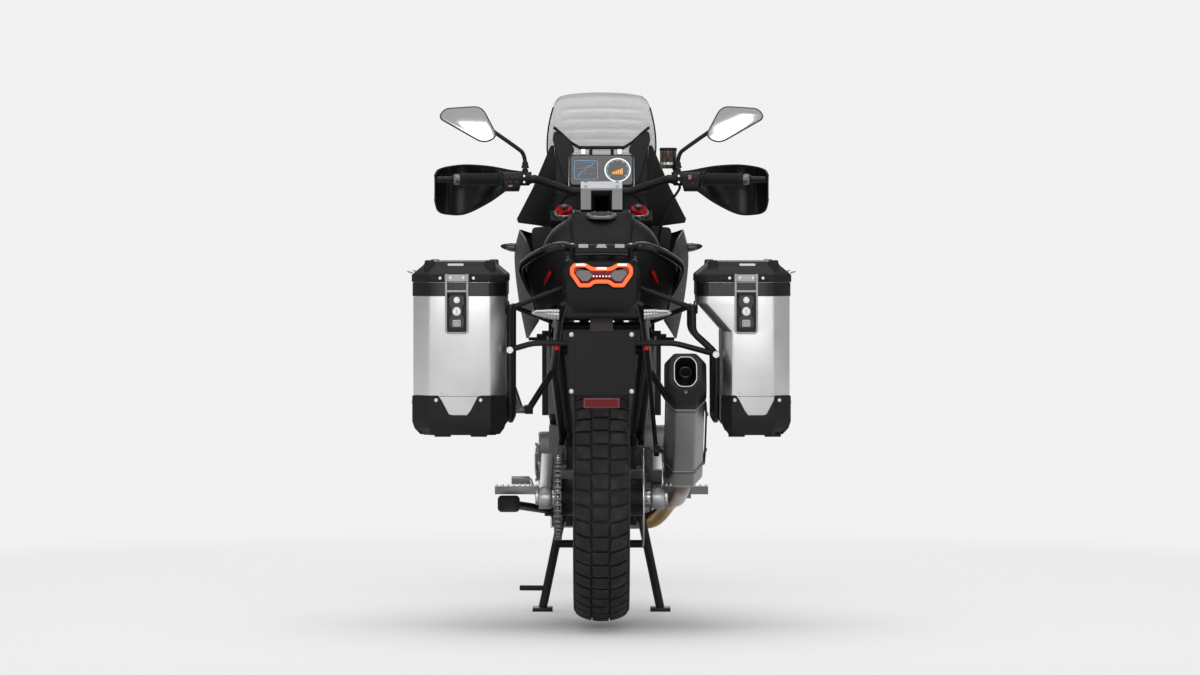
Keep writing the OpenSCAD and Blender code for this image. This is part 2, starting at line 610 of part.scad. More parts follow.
module engine() color(grey) {
    // crankcase, narrow on the left where the drive sprocket runs
    side_plate(-96, case_right) polygon([
        [engine_y, pivot_z - 60], [engine_y + 70, engine_low], [engine_y + 330, engine_low],
        [engine_y + 392, pivot_z - 60], [engine_y + 392, pivot_z + 60], [engine_y + 330, pivot_z + 150],
        [engine_y + 60, pivot_z + 150], [engine_y, pivot_z + 90]]);
    side_plate(-150, -95) polygon([
        [engine_y + 120, pivot_z - 100], [engine_y + 330, pivot_z - 100], [engine_y + 380, pivot_z - 40],
        [engine_y + 380, pivot_z + 40], [engine_y + 330, pivot_z + 110], [engine_y + 120, pivot_z + 110]]);
    // generator cover on the left, clutch and water pump covers on the right
    along_x([-178, engine_y + 252, pivot_z]) cylinder(d = 176, h = 40);
    along_x([-188, engine_y + 252, pivot_z]) cylinder(d = 110, h = 40);
    along_x([case_right - 5, engine_y + 130, pivot_z + 4]) cylinder(d = 216, h = engine_x + 34 - case_right + 5);
    along_x([case_right - 5, engine_y + 286, pivot_z - 20]) cylinder(d = 130, h = engine_x + 16 - case_right + 5);
    // cylinders, head and cam cover
    translate([0, cyl_y, cyl_z]) rotate([-cyl_lean, 0, 0]) {
        translate([-150, -92, 0]) cube([300, 180, 130]);
        translate([-158, -100, 130]) cube([316, 100 + head_front, 96]);
        translate([-150, -88, 226]) cube([300, 172, 44]);
    }
    // shaft with the drive sprocket
    translate([-chain_x, drive_y, drive_z]) sprocket(drive_teeth, 9);
    along_x([-chain_x - 5, drive_y, drive_z]) cylinder(r = 9.5, h = 40);
    // mounts between the pivot plates
    both() translate([60, pivot_y + 36, pivot_z + 50]) cube([plate_x - 60 - seat_gap, 40, 34]);
}

module radiator() color(dark) {
    difference() {
        union() {
            difference() {
                translate([-176, radiator_y, radiator_z]) cube([352, 28.5, 250]);
                for (x = [-150:50:150]) translate([x - 21, radiator_y + 26, radiator_z + 12]) cube([42, 8, 226]);
            }
            both() bar([94, radiator_y + 6, radiator_z + 70], cradle[1] + [0, -4, -40], 18);
            // sockets for the shrouds' pins
            both() along_x([174, radiator_y + 15, shroud_pin_z]) cylinder(d = 30, h = 18);
        }
        both() frame_run([cradle[0], cradle[1], cradle[2]], tube_d - 4 + 2 * seat_gap);
        both() along_x([160, radiator_y + 15, shroud_pin_z]) cylinder(d = shroud_pin_d + 2 * seat_gap, h = 80);
    }
}

module skid_plate() color(silver) {
    front = head_y - 60;
    rear = engine_y + 120;
    side_plate(-146, 146) polygon([
        [rear, skid_low], [front - 60, skid_low], [front + 6, skid_low + 66], [front + 14, skid_low + 196],
        [front + 9, skid_low + 198], [front + 1, skid_low + 68], [front - 62, skid_low + 5], [rear, skid_low + 5]]);
    both() side_plate(141, 146) polygon([
        [rear, skid_low], [front - 60, skid_low], [front + 6, skid_low + 66], [front + 14, skid_low + 196],
        [front - 40, skid_low + 130], [front - 120, skid_low + 70], [rear, skid_low + 42]]);
    // brackets up to the cradle tubes
    difference() {
        both() for (y = [cradle[3][1] - 60, rear + 12]) translate([cradle[3][0] - 4, y, skid_low + 4]) cube([16, 30, 26]);
        both() bar(cradle[3], cradle[4], tube_d - 4 + 2 * seat_gap);
    }
}

module exhaust_headers() color([0.5, 0.46, 0.42]) {
    low = engine_low;
    for (x = [-100, 0, 100]) {
        bar(by_cylinder(x, head_front + seat_gap, port_w), by_cylinder(x, head_front + 30, port_w), header_d + 4);
        sweep(curve([
            by_cylinder(x, head_front + 12, port_w), by_cylinder(x, head_front + 32, port_w), [x * 0.92, cyl_y + 192, cyl_z + 90],
            [x * 0.74, cyl_y + 190, cyl_z - 20], [x * 0.6, cyl_y + 170, cyl_z - 150], [x * 0.5, cyl_y + 160, low + 62],
            [x * 0.4 + 10, cyl_y + 120, low + 4], [x * 0.36 + 20, cyl_y + 60, collector[2] + 1],
            [x * 0.3 + 30, cyl_y - 60, collector[2]], collector], 3), header_d, 10);
    }
    sweep(curve([collector + [0, 24, 0], collector + [10, -12, 0], [96, engine_y + 2, collector[2]], [150, engine_y - 20, collector[2] + 8],
        [194, pivot_y - 44, low_z + 34], [212, pivot_y - 170, pivot_z - 74], silencer_low - silencer_way * 40,
        silencer_low - silencer_way * 20], 3), link_d, 12);
    bar(silencer_low - silencer_way * 34, silencer_low + silencer_way * (4 - seat_gap), link_d + 4);
}

// ---------------------------------------------------------------- silencer

module silencer() color(silver) {
    v = silencer_high - silencer_low;
    rise = atan2(v[2], -v[1]);
    l = norm(v);
    // along its own axis: an eight-sided can with a tapered inlet and a hollow end cap
    translate(silencer_low) rotate([90 - rise, 0, 0]) {
        difference() {
            union() {
                hull() {
                    translate([0, 0, 60]) oct_prism(52, 72, 4);
                    translate([0, 0, 4]) cylinder(d = 60, h = 4, $fn = 24);
                }
                translate([0, 0, 60]) oct_prism(52, 72, l - 150);
                hull() {
                    translate([0, 0, l - 94]) oct_prism(56, 76, 40);
                    translate([0, 4, l - 8]) oct_prism(42, 60, 8);
                }
            }
            translate([0, 4, l - 60]) oct_prism(30, 48, 70);
        }
    }
    // boss for its hanger
    along_x([hanger_x + 6 + seat_gap, hanger[1], hanger[2]]) cylinder(d = 24, h = 172 - hanger_x - 6 - seat_gap);
}

// the rear frame's tubes, made bigger by g all round
module sub_tubes(g) {
    both() {
        frame_run(sub_high, sub_d + 2 * g);
        frame_run(sub_low, sub_d - 4 + 2 * g);
    }
    along_x([-sub_high[1][0] + 4, sub_high[1][1], sub_high[1][2]]) cylinder(d = sub_d - 4 + 2 * g, h = 2 * sub_high[1][0] - 8);
    along_x([-sub_high[2][0], sub_high[2][1], sub_high[2][2]]) cylinder(d = sub_d - 4 + 2 * g, h = 2 * sub_high[2][0]);
}

module oct_prism(a, b, h) {
    c = 0.42;
    linear_extrude(h) polygon([[a, b * c], [a * c, b], [-a * c, b], [-a, b * c], [-a, -b * c], [-a * c, -b], [a * c, -b], [a, -b * c]]);
}

// ---------------------------------------------------------------- rear frame and tail

module subframe() color(dark) difference() {
    union() {
        sub_tubes(0);
        both() {
            bar(sub_low[1], rest_hip, 18);
            along_x(rest_hip - [12, 0, 0]) cylinder(d = 26, h = 22);
        }
        // hanger for the silencer
        bar(sub_low[1] + (sub_low[2] - sub_low[1]) * 0.5, [hanger_x - 2, hanger[1], hanger[2] + 3], 12);
        along_x([hanger_x - 8, hanger[1], hanger[2]]) cylinder(d = 32, h = 14);
        // bolted to the pivot plates
        both() along_x([plate_x + plate_t + seat_gap, sub_low[0][1], sub_low[0][2]]) cylinder(d = 30, h = 22);
    }
    both() frame_run([tank_tube[1], tank_tube[2], tank_tube[3]], tube_d + 2 * seat_gap);
}

// a shell under the pillion saddle that narrows to the tail light, with the panels ahead of it
module tail_unit() color(dark) {
    difference() {
        hull_body([[pivot_y - 178, 112, saddle_z - 52, saddle_z + 22, 4], [rear_y + 190, 116, saddle_z - 20, saddle_z + 62, 4],
            [rear_y + 40, 112, saddle_z + 6, saddle_z + 104, 4], [rear_y - 90, 106, saddle_z - 6, saddle_z + 132, 4],
            [rear_y - 150, 104, saddle_z - 20, saddle_z + 128, 4], [tail_end, 92, saddle_z - 24, saddle_z + 112, 4]], 24);
        sub_tubes(seat_gap);
        both() rack_stay(seat_gap);
        carrier_posts(seat_gap);
        holder_arm(seat_gap);
    }
    // flat panels beside the frame, under the saddle
    both() {
        x = tank_tube[2][0] + tube_d * 0.54 + seat_gap;
        side_plate(x, x + 4) translate([0, saddle_z - 60]) polygon([
            [tank_rear - 10, 0], [pivot_y - 160, 0], [pivot_y - 160, -44], [pivot_y - 60, -64], [tank_rear - 110, -90], [tank_rear - 10, -110]]);
    }
}

module lights() color([0.9, 0.2, 0.08]) {
    // tail light
    translate([0, tail_end - seat_gap, light_z]) rotate([90, 0, 0]) linear_extrude(14) polygon([
        [-84, 22], [-74, 35], [-40, 35], [-24, 24], [24, 24], [40, 35], [74, 35], [84, 22], [84, 4], [58, -32],
        [30, -32], [18, -22], [-18, -22], [-30, -32], [-58, -32], [-84, 4]]);
    both() {
        // rear indicators, on the plate holder's cross piece
        hull() {
            translate([holder_half + seat_gap + 15, rear_y - 226, saddle_z - 27]) sphere(d = 30, $fn = 16);
            translate([182, rear_y - 226, saddle_z - 22]) sphere(d = 12, $fn = 16);
        }
        // front indicators, on the shrouds
        hull() {
            translate([shroud_x + 21, head_y + 92, head_z + 36]) sphere(d = 26, $fn = 16);
            translate([shroud_x + 60, head_y + 88, head_z + 40]) sphere(d = 12, $fn = 16);
        }
    }
    // headlight
    translate([0, cowl_y + 228 + seat_gap, head_z + 20]) rotate([-90, 0, 0]) hull() {
        cylinder(d = 96, h = 6, $fn = 32);
        translate([0, 0, 16]) cylinder(d = 64, h = 4, $fn = 32);
    }
}

// arm from under the tail down to the plate, made bigger by g
module holder_arm(g) side_plate(-30 - g, 30 + g) offset(delta = g) polygon([
    [rear_y - 150, saddle_z - 12], [rear_y - 196, saddle_z - 25], [holder_y + 2, saddle_z - 66], [holder_y + 2, saddle_z - 110],
    [holder_y + 14, saddle_z - 110], [holder_y + 22, saddle_z - 82], [rear_y - 170, saddle_z - 50], [rear_y - 110, saddle_z - 40]]);

module plate_holder() color(dark) {
    difference() {
        union() {
            holder_arm(0);
            translate([-holder_half, rear_y - 240, saddle_z - 34]) cube([2 * holder_half, 16, 12]);
            // the board that the plate is bolted to, and the reflector's bracket
            translate([-plate_w / 2 + 3, holder_y, plate_z - plate_h / 2 + 3]) cube([plate_w - 6, 6, plate_h - 6]);
            translate([-30, holder_y, plate_z - plate_h / 2 - 18]) cube([60, 4, 24]);
            translate([-46, holder_y - 8, plate_z - plate_h / 2 - 34]) cube([92, 12, 27]);
        }
        plate_holes();
    }
}

module plate_holes() {
    for (x = [-1, 1], z = [-1, 1]) translate([x * plate_hole_w / 2, holder_y + 20, plate_z + z * plate_hole_h / 2])
        rotate([90, 0, 0]) cylinder(d = 5.2, h = 40);
}

module number_plate() color(dark) difference() {
    translate([-plate_w / 2, holder_y - seat_gap - 2, plate_z - plate_h / 2]) cube([plate_w, 2, plate_h]);
    plate_holes();
}

module rear_carrier() color(dark) difference() {
    union() {
        translate([0, 0, carrier_z - carrier_t]) linear_extrude(carrier_t) difference() {
            polygon([[-92, rear_y - 170], [-80, rear_y - 190], [80, rear_y - 190], [92, rear_y - 170], [100, rear_y - 20],
                [96, rear_y + 10], [-96, rear_y + 10], [-100, rear_y - 20]]);
            for (x = [-56, 0, 56]) translate([x - 16, rear_y - 150]) square([32, 24]);
            translate([-70, rear_y - 22]) square([140, 14]);
        }
        carrier_posts(0);
    }
    for (x = [-1, 1], y = [-1, 1]) translate([x * carrier_hole_w / 2, carrier_y + y * carrier_hole_l / 2, carrier_z - 20])
        cylinder(d = 6.6, h = 40);
}

// four posts down into the tail, made bigger by g
module carrier_posts(g) for (x = [-78, 78], y = [rear_y - 34, rear_y - 128])
    translate([x, y, saddle_z + 66 - g]) cylinder(d = 16 + 2 * g, h = carrier_z - saddle_z - 70);

// ---------------------------------------------------------------- saddle and tank

module fuel_tank() color(dark) difference() {
    hull_body([[tank_front, 42, head_z - 58, head_z + 112, 2.8], [tank_front - 32, 94, head_z - 78, head_z + 130, 2.7],
        [tank_front - 60, 136, head_z - 94, head_z + 138, 2.6],
        [tank_front - 130, 172, head_z - 130, head_z + 126, 2.6], [tank_front - 210, 172, head_z - 130, head_z + 72, 2.6],
        [tank_front - 270, 140, head_z - 136, head_z + 4, 2.6], [tank_rear, 112, saddle_z - 46, saddle_z + 40, 3]], 28);
    // room for the frame's top tubes, and for the shrouds' pins
    both() frame_run([tank_tube[0], tank_tube[1], tank_tube[2]], tube_d + 2 * seat_gap);
    both() bar(steer([18, -26, -50]), tank_tube[1], tube_d - 8 + 2 * seat_gap);
    both() along_x([120, tank_pin[1], tank_pin[2]]) cylinder(d = shroud_pin_d + 2 * seat_gap, h = 100);
    translate([-220, pivot_y, 0]) cube([440, 900, head_z - 118]);
}

module saddle() color(rubber) difference() {
    union() {
        // the rider's part
        hull_body([[tank_rear - seat_gap, 96, saddle_z - 50, saddle_z + 34, 3.2], [tank_rear - 60, 108, saddle_z - 52, saddle_z + 6, 3.4],
            [tank_rear - 150, 150, saddle_z - 54, saddle_z - 2, 3.6], [pivot_y - 60, 168, saddle_z - 56, saddle_z, 3.6],
            [pivot_y - 114, 160, saddle_z - 56, saddle_z + 18, 3.6]], 20);
        // the pillion's part
        hull_body([[pivot_y - 116, 130, saddle_z - 10, saddle_z + 64, 3.6], [pivot_y - 150, 142, saddle_z + 12, saddle_z + 106, 3.4],
            [pivot_y - 260, 140, saddle_z + 40, saddle_z + 122, 3.6], [rear_y + 150, 124, saddle_z + 60, saddle_z + 130, 3.6],
            [rear_y + 20, 104, saddle_z + 90, saddle_z + 138, 3.2]], 20);
    }
    sub_tubes(seat_gap);
    both() frame_run([tank_tube[1], tank_tube[2], tank_tube[3]], tube_d + 2 * seat_gap);
    // the tail's top, which the pillion's part lies on
    hull_body([[pivot_y - 60, 113, saddle_z - 53, saddle_z + 23, 4], [rear_y + 190, 117, saddle_z - 21, saddle_z + 63, 4],
        [rear_y + 40, 113, saddle_z + 5, saddle_z + 105, 4], [rear_y - 90, 107, saddle_z - 7, saddle_z + 133, 4]], 24);
}

// wings to each side of the display lean back towards the rider at their tips
function wing_y(z) = cowl_y + 8 - (z - head_z - 210) * 0.215;

// ---------------------------------------------------------------- cowl, screen and shrouds

module front_cowl() color(dark) {
    difference() {
        hull_body([[cowl_y + 228, 62, head_z - 20, head_z + 60, 3], [cowl_y + 190, 112, head_z - 44, head_z + 116, 3],
            [cowl_y + 110, 134, head_z - 50, head_z + 196, 3], [cowl_y + 40, 142, head_z - 30, head_z + 226, 3.4],
            [cowl_y, 142, head_z + 10, head_z + 220, 3.6]], 28);
        // hollow behind, where the display's stay and the fork's sweep are
        hull_body([[cowl_y + 120, 84, head_z + 10, head_z + 150, 3], [cowl_y + 60, 118, head_z - 6, head_z + 196, 3.4],
            [cowl_y - 10, 130, head_z + 0, head_z + 206, 3.6]], 28);
    }
    both() thick_sheet([for (r = [
        [[132, 90], [132, 130], [134, 210], [141, 340]],
        [[190, 102], [186, 130], [172, 212], [147, 342]],
        [[250, 110], [254, 122], [206, 214], [153, 338]]])
            [for (q = r) [q[0], wing_y(head_z + q[1]), head_z + q[1]]]], [0, 5, 0]);
}

module display() color([0.03, 0.03, 0.04]) difference() {
    tube_y = display_c[1] + 34;
    bar_end = [66, tube_y, head_z + 334];
    union() {
        translate(display_c) rotate([-24, 0, 0]) translate([-96, -8, -52]) cube([192, 20, 104]);
        both() {
            bar(upright_at, display_c + [32, 4, 10], 14);
            bar(display_c + [32, 10, 10], [32, tube_y, bar_end[2]], 10);
            // an arm to the screen at each end of the cross tube
            frame_run([[60, tube_y, bar_end[2]], bar_end, [92, cowl_y - 22, head_z + 350], screen_point(0.78, 0.66) - [2, 9, 1]], 9);
        }
        bar([-bar_end[0], bar_end[1], bar_end[2]], bar_end, 11);
    }
    both() bar(stay_from, stay_to, stay_d + 2 * seat_gap);
    thick_sheet([for (i = [0:8]) [for (j = [0:14]) screen_point(-1 + j / 7, i / 8) - [0, screen_t + seat_gap, 0]]], [0, 20, 0]);
}

module shrouds() color(dark) both() shroud();

// the screen's surface: u runs across from -1 to 1, t up from 0 to 1
function screen_point(u, t) = let (
    half = (t < 0.45 ? 0.80 + 0.20 * sin(200 * t) : 1 - 0.17 * pow((t - 0.45) / 0.55, 2)) * screen_w / 2,
    sag = 78 * (1 - cos(64 * u)) * (1.15 - 0.35 * t))
    [half * sin(82 * u) / sin(82), cowl_y + 96 - 150 * t - sag, head_z + 226 + 272 * t - 26 * u * u * (0.2 + t * 0.6)];

module windscreen() color([0.85, 0.87, 0.88, 0.5])
    thick_sheet([for (i = [0:8]) [for (j = [0:14]) screen_point(-1 + j / 7, i / 8)]], [0, -screen_t, -screen_t * 0.4]);

// a shroud from the tank forwards to the cowl: k picks the row, down the side
module shroud() {
    rows = [
        [[204, tank_front - 170, head_z + 10], [226, tank_front - 40, head_z + 62], [244, head_y + 30, head_z + 88],
            [228, head_y + 128, head_z + 84], [154, cowl_y + 150, head_z + 60]],
        [[206, tank_front - 176, head_z - 60], [236, tank_front - 60, head_z - 20], [258, head_y + 20, head_z + 10],
            [240, head_y + 124, head_z + 30], [158, cowl_y + 160, head_z + 10]],
        [[198, tank_front - 150, head_z - 130], [226, tank_front - 50, head_z - 110], [246, head_y - 10, head_z - 110],
            [226, head_y + 70, head_z - 70], [162, cowl_y + 120, head_z - 30]],
        [[186, tank_front - 110, head_z - 176], [208, tank_front - 40, head_z - 210], [222, head_y - 50, head_z - 230],
            [212, head_y + 20, head_z - 180], [168, head_y + 96, head_z - 90]]];
    thick_sheet(rows, [-5, 0, 0]);
    // pins into the tank and the radiator
    along_x([140, tank_pin[1], tank_pin[2]]) cylinder(d = shroud_pin_d, h = 92);
    along_x([164, radiator_y + 15, shroud_pin_z]) cylinder(d = shroud_pin_d, h = 58);
}

// ---------------------------------------------------------------- luggage

function case_outline(w, inset) = [
    [inset, corner * 0.5], [corner * 0.5, inset], [w - corner, inset], [w - inset, corner],
    [w - inset, case_l - corner], [w - corner, case_l - inset], [corner * 0.5, case_l - inset], [inset, case_l - corner * 0.5]];

// what the drawn-in lower outer edge takes off a pannier, made bigger by g
module case_chamfer(g) translate([case_w, -1, 0]) rotate([-90, 0, 0]) linear_extrude(case_l + 2)
    polygon([[1, 1], [1, -26 - g], [-34 - g, 1]]);

// a pannier's body on the right side; the cut-out clears the silencer
module pannier_body(cut) {
    h = case_split - case_low;
    difference() {
        translate([case_in_x, case_back, case_low]) difference() {
            linear_extrude(h) polygon(case_outline(case_w, 0));
            difference() {
                translate([0, 0, case_wall + 6]) linear_extrude(h) polygon(case_outline(case_w, case_wall));
                case_chamfer(2 * case_wall);
            }
            case_chamfer(0);
        }
        if (cut) translate([case_in_x - 1, case_back - 1, case_low - 1])
            rotate([90, 0, 90]) linear_extrude(cutout_w + 1) square([case_l + 2, cutout_z - case_low + 1]);
    }
    // the inner wall and the roof of the cut-out
    if (cut) {
        l = case_l - corner - 2;
        translate([case_in_x + cutout_w - 0.5, case_back + corner / 2 + 1, case_low + 0.5]) cube([case_wall, l, cutout_z - case_low + 2]);
        translate([case_in_x + 1, case_back + corner / 2 + 1, cutout_z - 0.5]) cube([cutout_w + 1, l, case_wall]);
        for (y = [case_back + 0.5, case_back + case_l - 0.5 - corner / 2 - 1]) {
            translate([case_in_x + cutout_w - 0.5, y, case_low + 0.5]) cube([case_wall, corner / 2 + 1, cutout_z - case_low + 2]);
            translate([case_in_x + corner / 2, y, cutout_z - 0.5]) cube([cutout_w - corner / 2 + 1, corner / 2 + 1, case_wall]);
        }
    }
    // latch on the back wall
    translate([case_in_x + 96, case_back - 16, case_split - 140]) cube([62, 16.5, 126]);
    // pucks that rest against the rack
    for (y = [case_back + 110, case_back + case_l - 80])
        along_x([case_in_x - case_puck, y, rack_high]) cylinder(d = 30, h = case_puck + 1);
}

// the stay from a rack's hoop into the tail, made bigger by g
module rack_stay(g) bar([rack_x, case_back + 80, rack_high], [sub_x - 30, rear_y - 96, saddle_z + 46], 14 + 2 * g);

module pannier_lid() {
    translate([case_in_x, case_back, case_split + seat_gap]) difference() {
        hull() {
            linear_extrude(30) polygon(case_outline(case_w, -2));
            translate([0, 0, lid_h - 3]) linear_extrude(2) offset(delta = -26) polygon(case_outline(case_w, 0));
        }
        translate([0, 0, -1]) linear_extrude(26) polygon(case_outline(case_w, case_wall + 2));
    }
    // hinge knuckle at the front
    along_x([case_in_x + 70, lid_hinge[1], lid_hinge[2]]) cylinder(d = 10, h = 100);
    translate([case_in_x + 70, case_back + case_l, lid_hinge[2] - 3]) cube([100, 8, 8]);
}

module pannier_left() color(silver) mirror([1, 0, 0]) pannier_body(false);
module pannier_right() color(silver) pannier_body(true);
module pannier_left_lid() color(dark) mirror([1, 0, 0]) pannier_lid();
module pannier_right_lid() color(dark) pannier_lid();

// one side of the rack; its lower part steps out by step, below the pannier's cut-out
module rack_side(step) {
    x = rack_x;
    xl = x + step;
    y1 = case_back + 40;
    y2 = case_back + case_l - 40;
    turn = cutout_z - 16;
    start = [x, y1 + 20, rack_high];
    sweep(eased(concat([start, [x, y2, rack_high]], step > 0 ? [[x, y2, turn], [xl, y2, turn - 0.9 * step]] : [],
        [[xl, y2 - 30, rack_low], [xl, y1 + 50, rack_low], [xl, y1, rack_low + 70]],
        step > 0 ? [[xl, y1, turn - 0.9 * step], [x, y1, turn]] : [], [start]), 18), rack_d);
    translate(start) sphere(d = rack_d * 1.25);
}

module pannier_rack() color(dark) {
    $fn = 20;
    rack_side(rack_step);
    mirror([1, 0, 0]) rack_side(0);
    both() {
        rack_stay(0);
        difference() {
            bar([rack_x, case_back + case_l - 60, rack_high], sub_high[1] + (sub_high[2] - sub_high[1]) * 0.1, 14);
            bar(sub_high[1] + (sub_high[1] - sub_high[2]) * 0.2, sub_high[2], sub_d + 2 * seat_gap);
        }
    }
    // the brace behind the wheel
    brace = case_back + 40;
    sweep(eased([[-rack_x, brace, rack_high - 110], [-rack_x + 60, brace - 4, rack_high - 92],
        [rack_x + rack_step - 110, brace - 4, rack_high - 92], [rack_x + rack_step, brace, rack_high - 122]], 18), 16);
}

// ---------------------------------------------------------------- footrests and foot controls

module foot_controls() color(dark) {
    both() {
        // rider's rest: bracket on the pivot plate below the chain, and the peg outside it
        translate([foot_in, pivot_y - 36, pivot_z - 88]) cube([150 - foot_in, 32, 16]);
        translate([136, pivot_y - 34, pivot_z - 74]) cube([164, 44, 22]);
        // pillion's rest, folded up
        along_x(rest_hip + [10 + seat_gap, 0, 0]) cylinder(d = 22, h = 26);
        bar(rest_hip + [24, 0, 4], rest_hip + [50, 2, 82], 18);
        // the pivot that the lever or the pedal turns on
        along_x([foot_in, pivot_y + 12, pivot_z - 104]) cylinder(d = 18, h = 46);
    }
    // gear lever on the left
    mirror([1, 0, 0]) {
        frame_run([[foot_in + 40, pivot_y + 12, pivot_z - 104], [190, pivot_y + 80, pivot_z - 74], [206, pivot_y + 214, pivot_z - 48],
            [224, pivot_y + 214, pivot_z - 48]], 13);
        along_x([206, pivot_y + 214, pivot_z - 48]) cylinder(d = 24, h = 52);
    }
    // brake pedal on the right
    frame_run([[foot_in + 40, pivot_y + 12, pivot_z - 104], [206, pivot_y + 70, pivot_z - 112], [216, pivot_y + 196, pivot_z - 92]], 13);
    translate([204, pivot_y + 180, pivot_z - 98]) cube([52, 40, 12]);
}

// ---------------------------------------------------------------- steering

module yoke(w, t) {
    translate([0, 0, w]) difference() {
        linear_extrude(t) polygon([
            [-fork_x - 40, yoke_offset - 30], [-fork_x - 40, yoke_offset + 30], [-fork_x + 20, yoke_offset + 38], [0, yoke_offset + 20],
            [fork_x - 20, yoke_offset + 38], [fork_x + 40, yoke_offset + 30], [fork_x + 40, yoke_offset - 30], [26, -26], [-26, -26]]);
        for (s = [-1, 1]) translate([s * fork_x, yoke_offset, -1]) cylinder(d = fork_tube_d + 2 * run_gap, h = t + 2);
    }
}

module steering_yokes() color(dark) in_steering() {
    yoke(yoke_high, yoke_t);
    yoke(yoke_low, yoke_t + 4);
    translate([0, 0, yoke_low + 2]) cylinder(d = stem_d, h = yoke_high - yoke_low + yoke_t + 6);
    // bar clamps on their risers
    difference() {
        union() {
            for (s = [-1, 1]) translate([s * 46 - 15, clamp_v - 20, yoke_high + yoke_t - 1]) cube([30, 40, clamp_w - yoke_high - yoke_t + 18]);
            translate([-61, clamp_v - 22, clamp_w + bar_d / 2 + 2]) cube([122, 44, 8]);
        }
        along_x([-100, clamp_v, clamp_w]) cylinder(d = bar_d + 2 * run_gap, h = 200);
    }
}

module fork_tubes() color(dark) in_steering() both() translate([fork_x, yoke_offset, 0]) {
    difference() {
        translate([0, 0, -372]) cylinder(d = fork_tube_d, h = 372 + yoke_high + yoke_t + 12);
        translate([0, 0, -400]) cylinder(d = fork_leg_d + 1, h = 300);
    }
    // caps
    translate([0, 0, yoke_high + yoke_t + 11]) cylinder(d = fork_tube_d - 14, h = 10);
    translate([0, 0, yoke_high + yoke_t + 20]) cylinder(d = 20, h = 12);
}

module fork_legs() color(silver) in_steering() {
    difference() {
        both() {
            translate([fork_x, yoke_offset, axle_w + 20]) cylinder(d = fork_leg_d, h = -axle_w - 20 - 120);
            translate([0, 0, axle_w - 34]) hull() {
                translate([lug_in, yoke_offset - 26, 30]) cube([fork_x + 27 - lug_in, 52, 60]);
                translate([lug_in, axle_v - 26, 0]) cube([fork_x + 20 - lug_in, 52, 40]);
            }
        }
        along_x([-200, axle_v, axle_w]) cylinder(d = front_axle_d + 2 * run_gap, h = 400);
    }
    // axle with its spacers
    along_x([-fork_x - 26, axle_v, axle_w]) cylinder(d = front_axle_d, h = 2 * fork_x + 52);
    both() along_x([front_disc_x + disc_t / 2 + seat_gap, axle_v, axle_w])
        cylinder(d = front_axle_d + 10, h = lug_in - front_disc_x - disc_t / 2 - 2 * seat_gap);
}

module front_calipers() color(dark) in_steering() both() difference() {
    // behind each leg, astride the disc
    translate(caliper) {
        translate([disc_t / 2 + 2, -40, 0]) cube([19, 66, 100]);
        translate([-disc_t / 2 - 22, -40, 6]) cube([20, 44, 88]);
        translate([-disc_t / 2 - 22, -58, 6]) cube([44, 20, 88]);
        translate([disc_t / 2 + 8, 24, 14]) cube([fork_x - front_disc_x - disc_t / 2 - 8, 50, 60]);
    }
    translate([fork_x, yoke_offset, axle_w]) cylinder(d = fork_leg_d + 2 * seat_gap, h = 300);
}

function on_bar(x) = bar_in + (bar_out - bar_in) * (x - bar_in[0]) / (bar_out[0] - bar_in[0]);

module handlebar() color(dark) {
    inner = [88, clamp_p[1], clamp_p[2]];
    bar([-inner[0], inner[1], inner[2]], inner, bar_d);
    both() {
        translate(inner) sphere(d = bar_d * 1.04);
        bar(inner, bend, bar_d);
        translate(bend) sphere(d = bar_d * 1.04);
        bar(bend, bar_out, bar_d);
    }
}

module bar_controls() color(dark) {
    both() {
        // each piece is a sleeve on the bar
        difference() {
            union() {
                // switch housing, with the lever's perch inboard of it
                hull() {
                    bar(on_bar(grip_in - 58), on_bar(grip_in - 6), grip_d + 6);
                    bar(on_bar(grip_in - 54) - [0, 8, 22], on_bar(grip_in - 12) - [0, 8, 22], grip_d - 6);
                }
                bar(on_bar(grip_in - 84), on_bar(grip_in - 57), grip_d + 4);
                translate(on_bar(grip_in - 78) + [0, 8, -10]) cube([22, 30, 20]);
                // mirror's boss
                translate(on_bar(grip_in - 72) + [0, 26, 6]) cylinder(d = 18, h = boss_h);
                // lever blade
                frame_run([on_bar(grip_in - 70) + [0, 30, -2], on_bar(grip_in - 34) + [0, 64, -6], on_bar(grip_in + 60) + [0, 62, -10],
                    on_bar(grip_in + 104) + [0, 63, -12]], 11);
            }
            bar(on_bar(grip_in - 100), bar_out, bar_d + 2 * run_gap);
        }
        // grip
        difference() {
            bar(on_bar(grip_in), on_bar(grip_in + grip_l), grip_d);
            bar(on_bar(grip_in - 10), on_bar(grip_in + grip_l + 10), bar_d + 2 * run_gap);
        }
    }
    // brake fluid reservoir on the right, on an arm from the perch
    translate(reservoir) cylinder(d = 48, h = 52);
    bar(on_bar(grip_in - 72) + [0, 20, 8], reservoir + [16, -6, 4], 13);
}

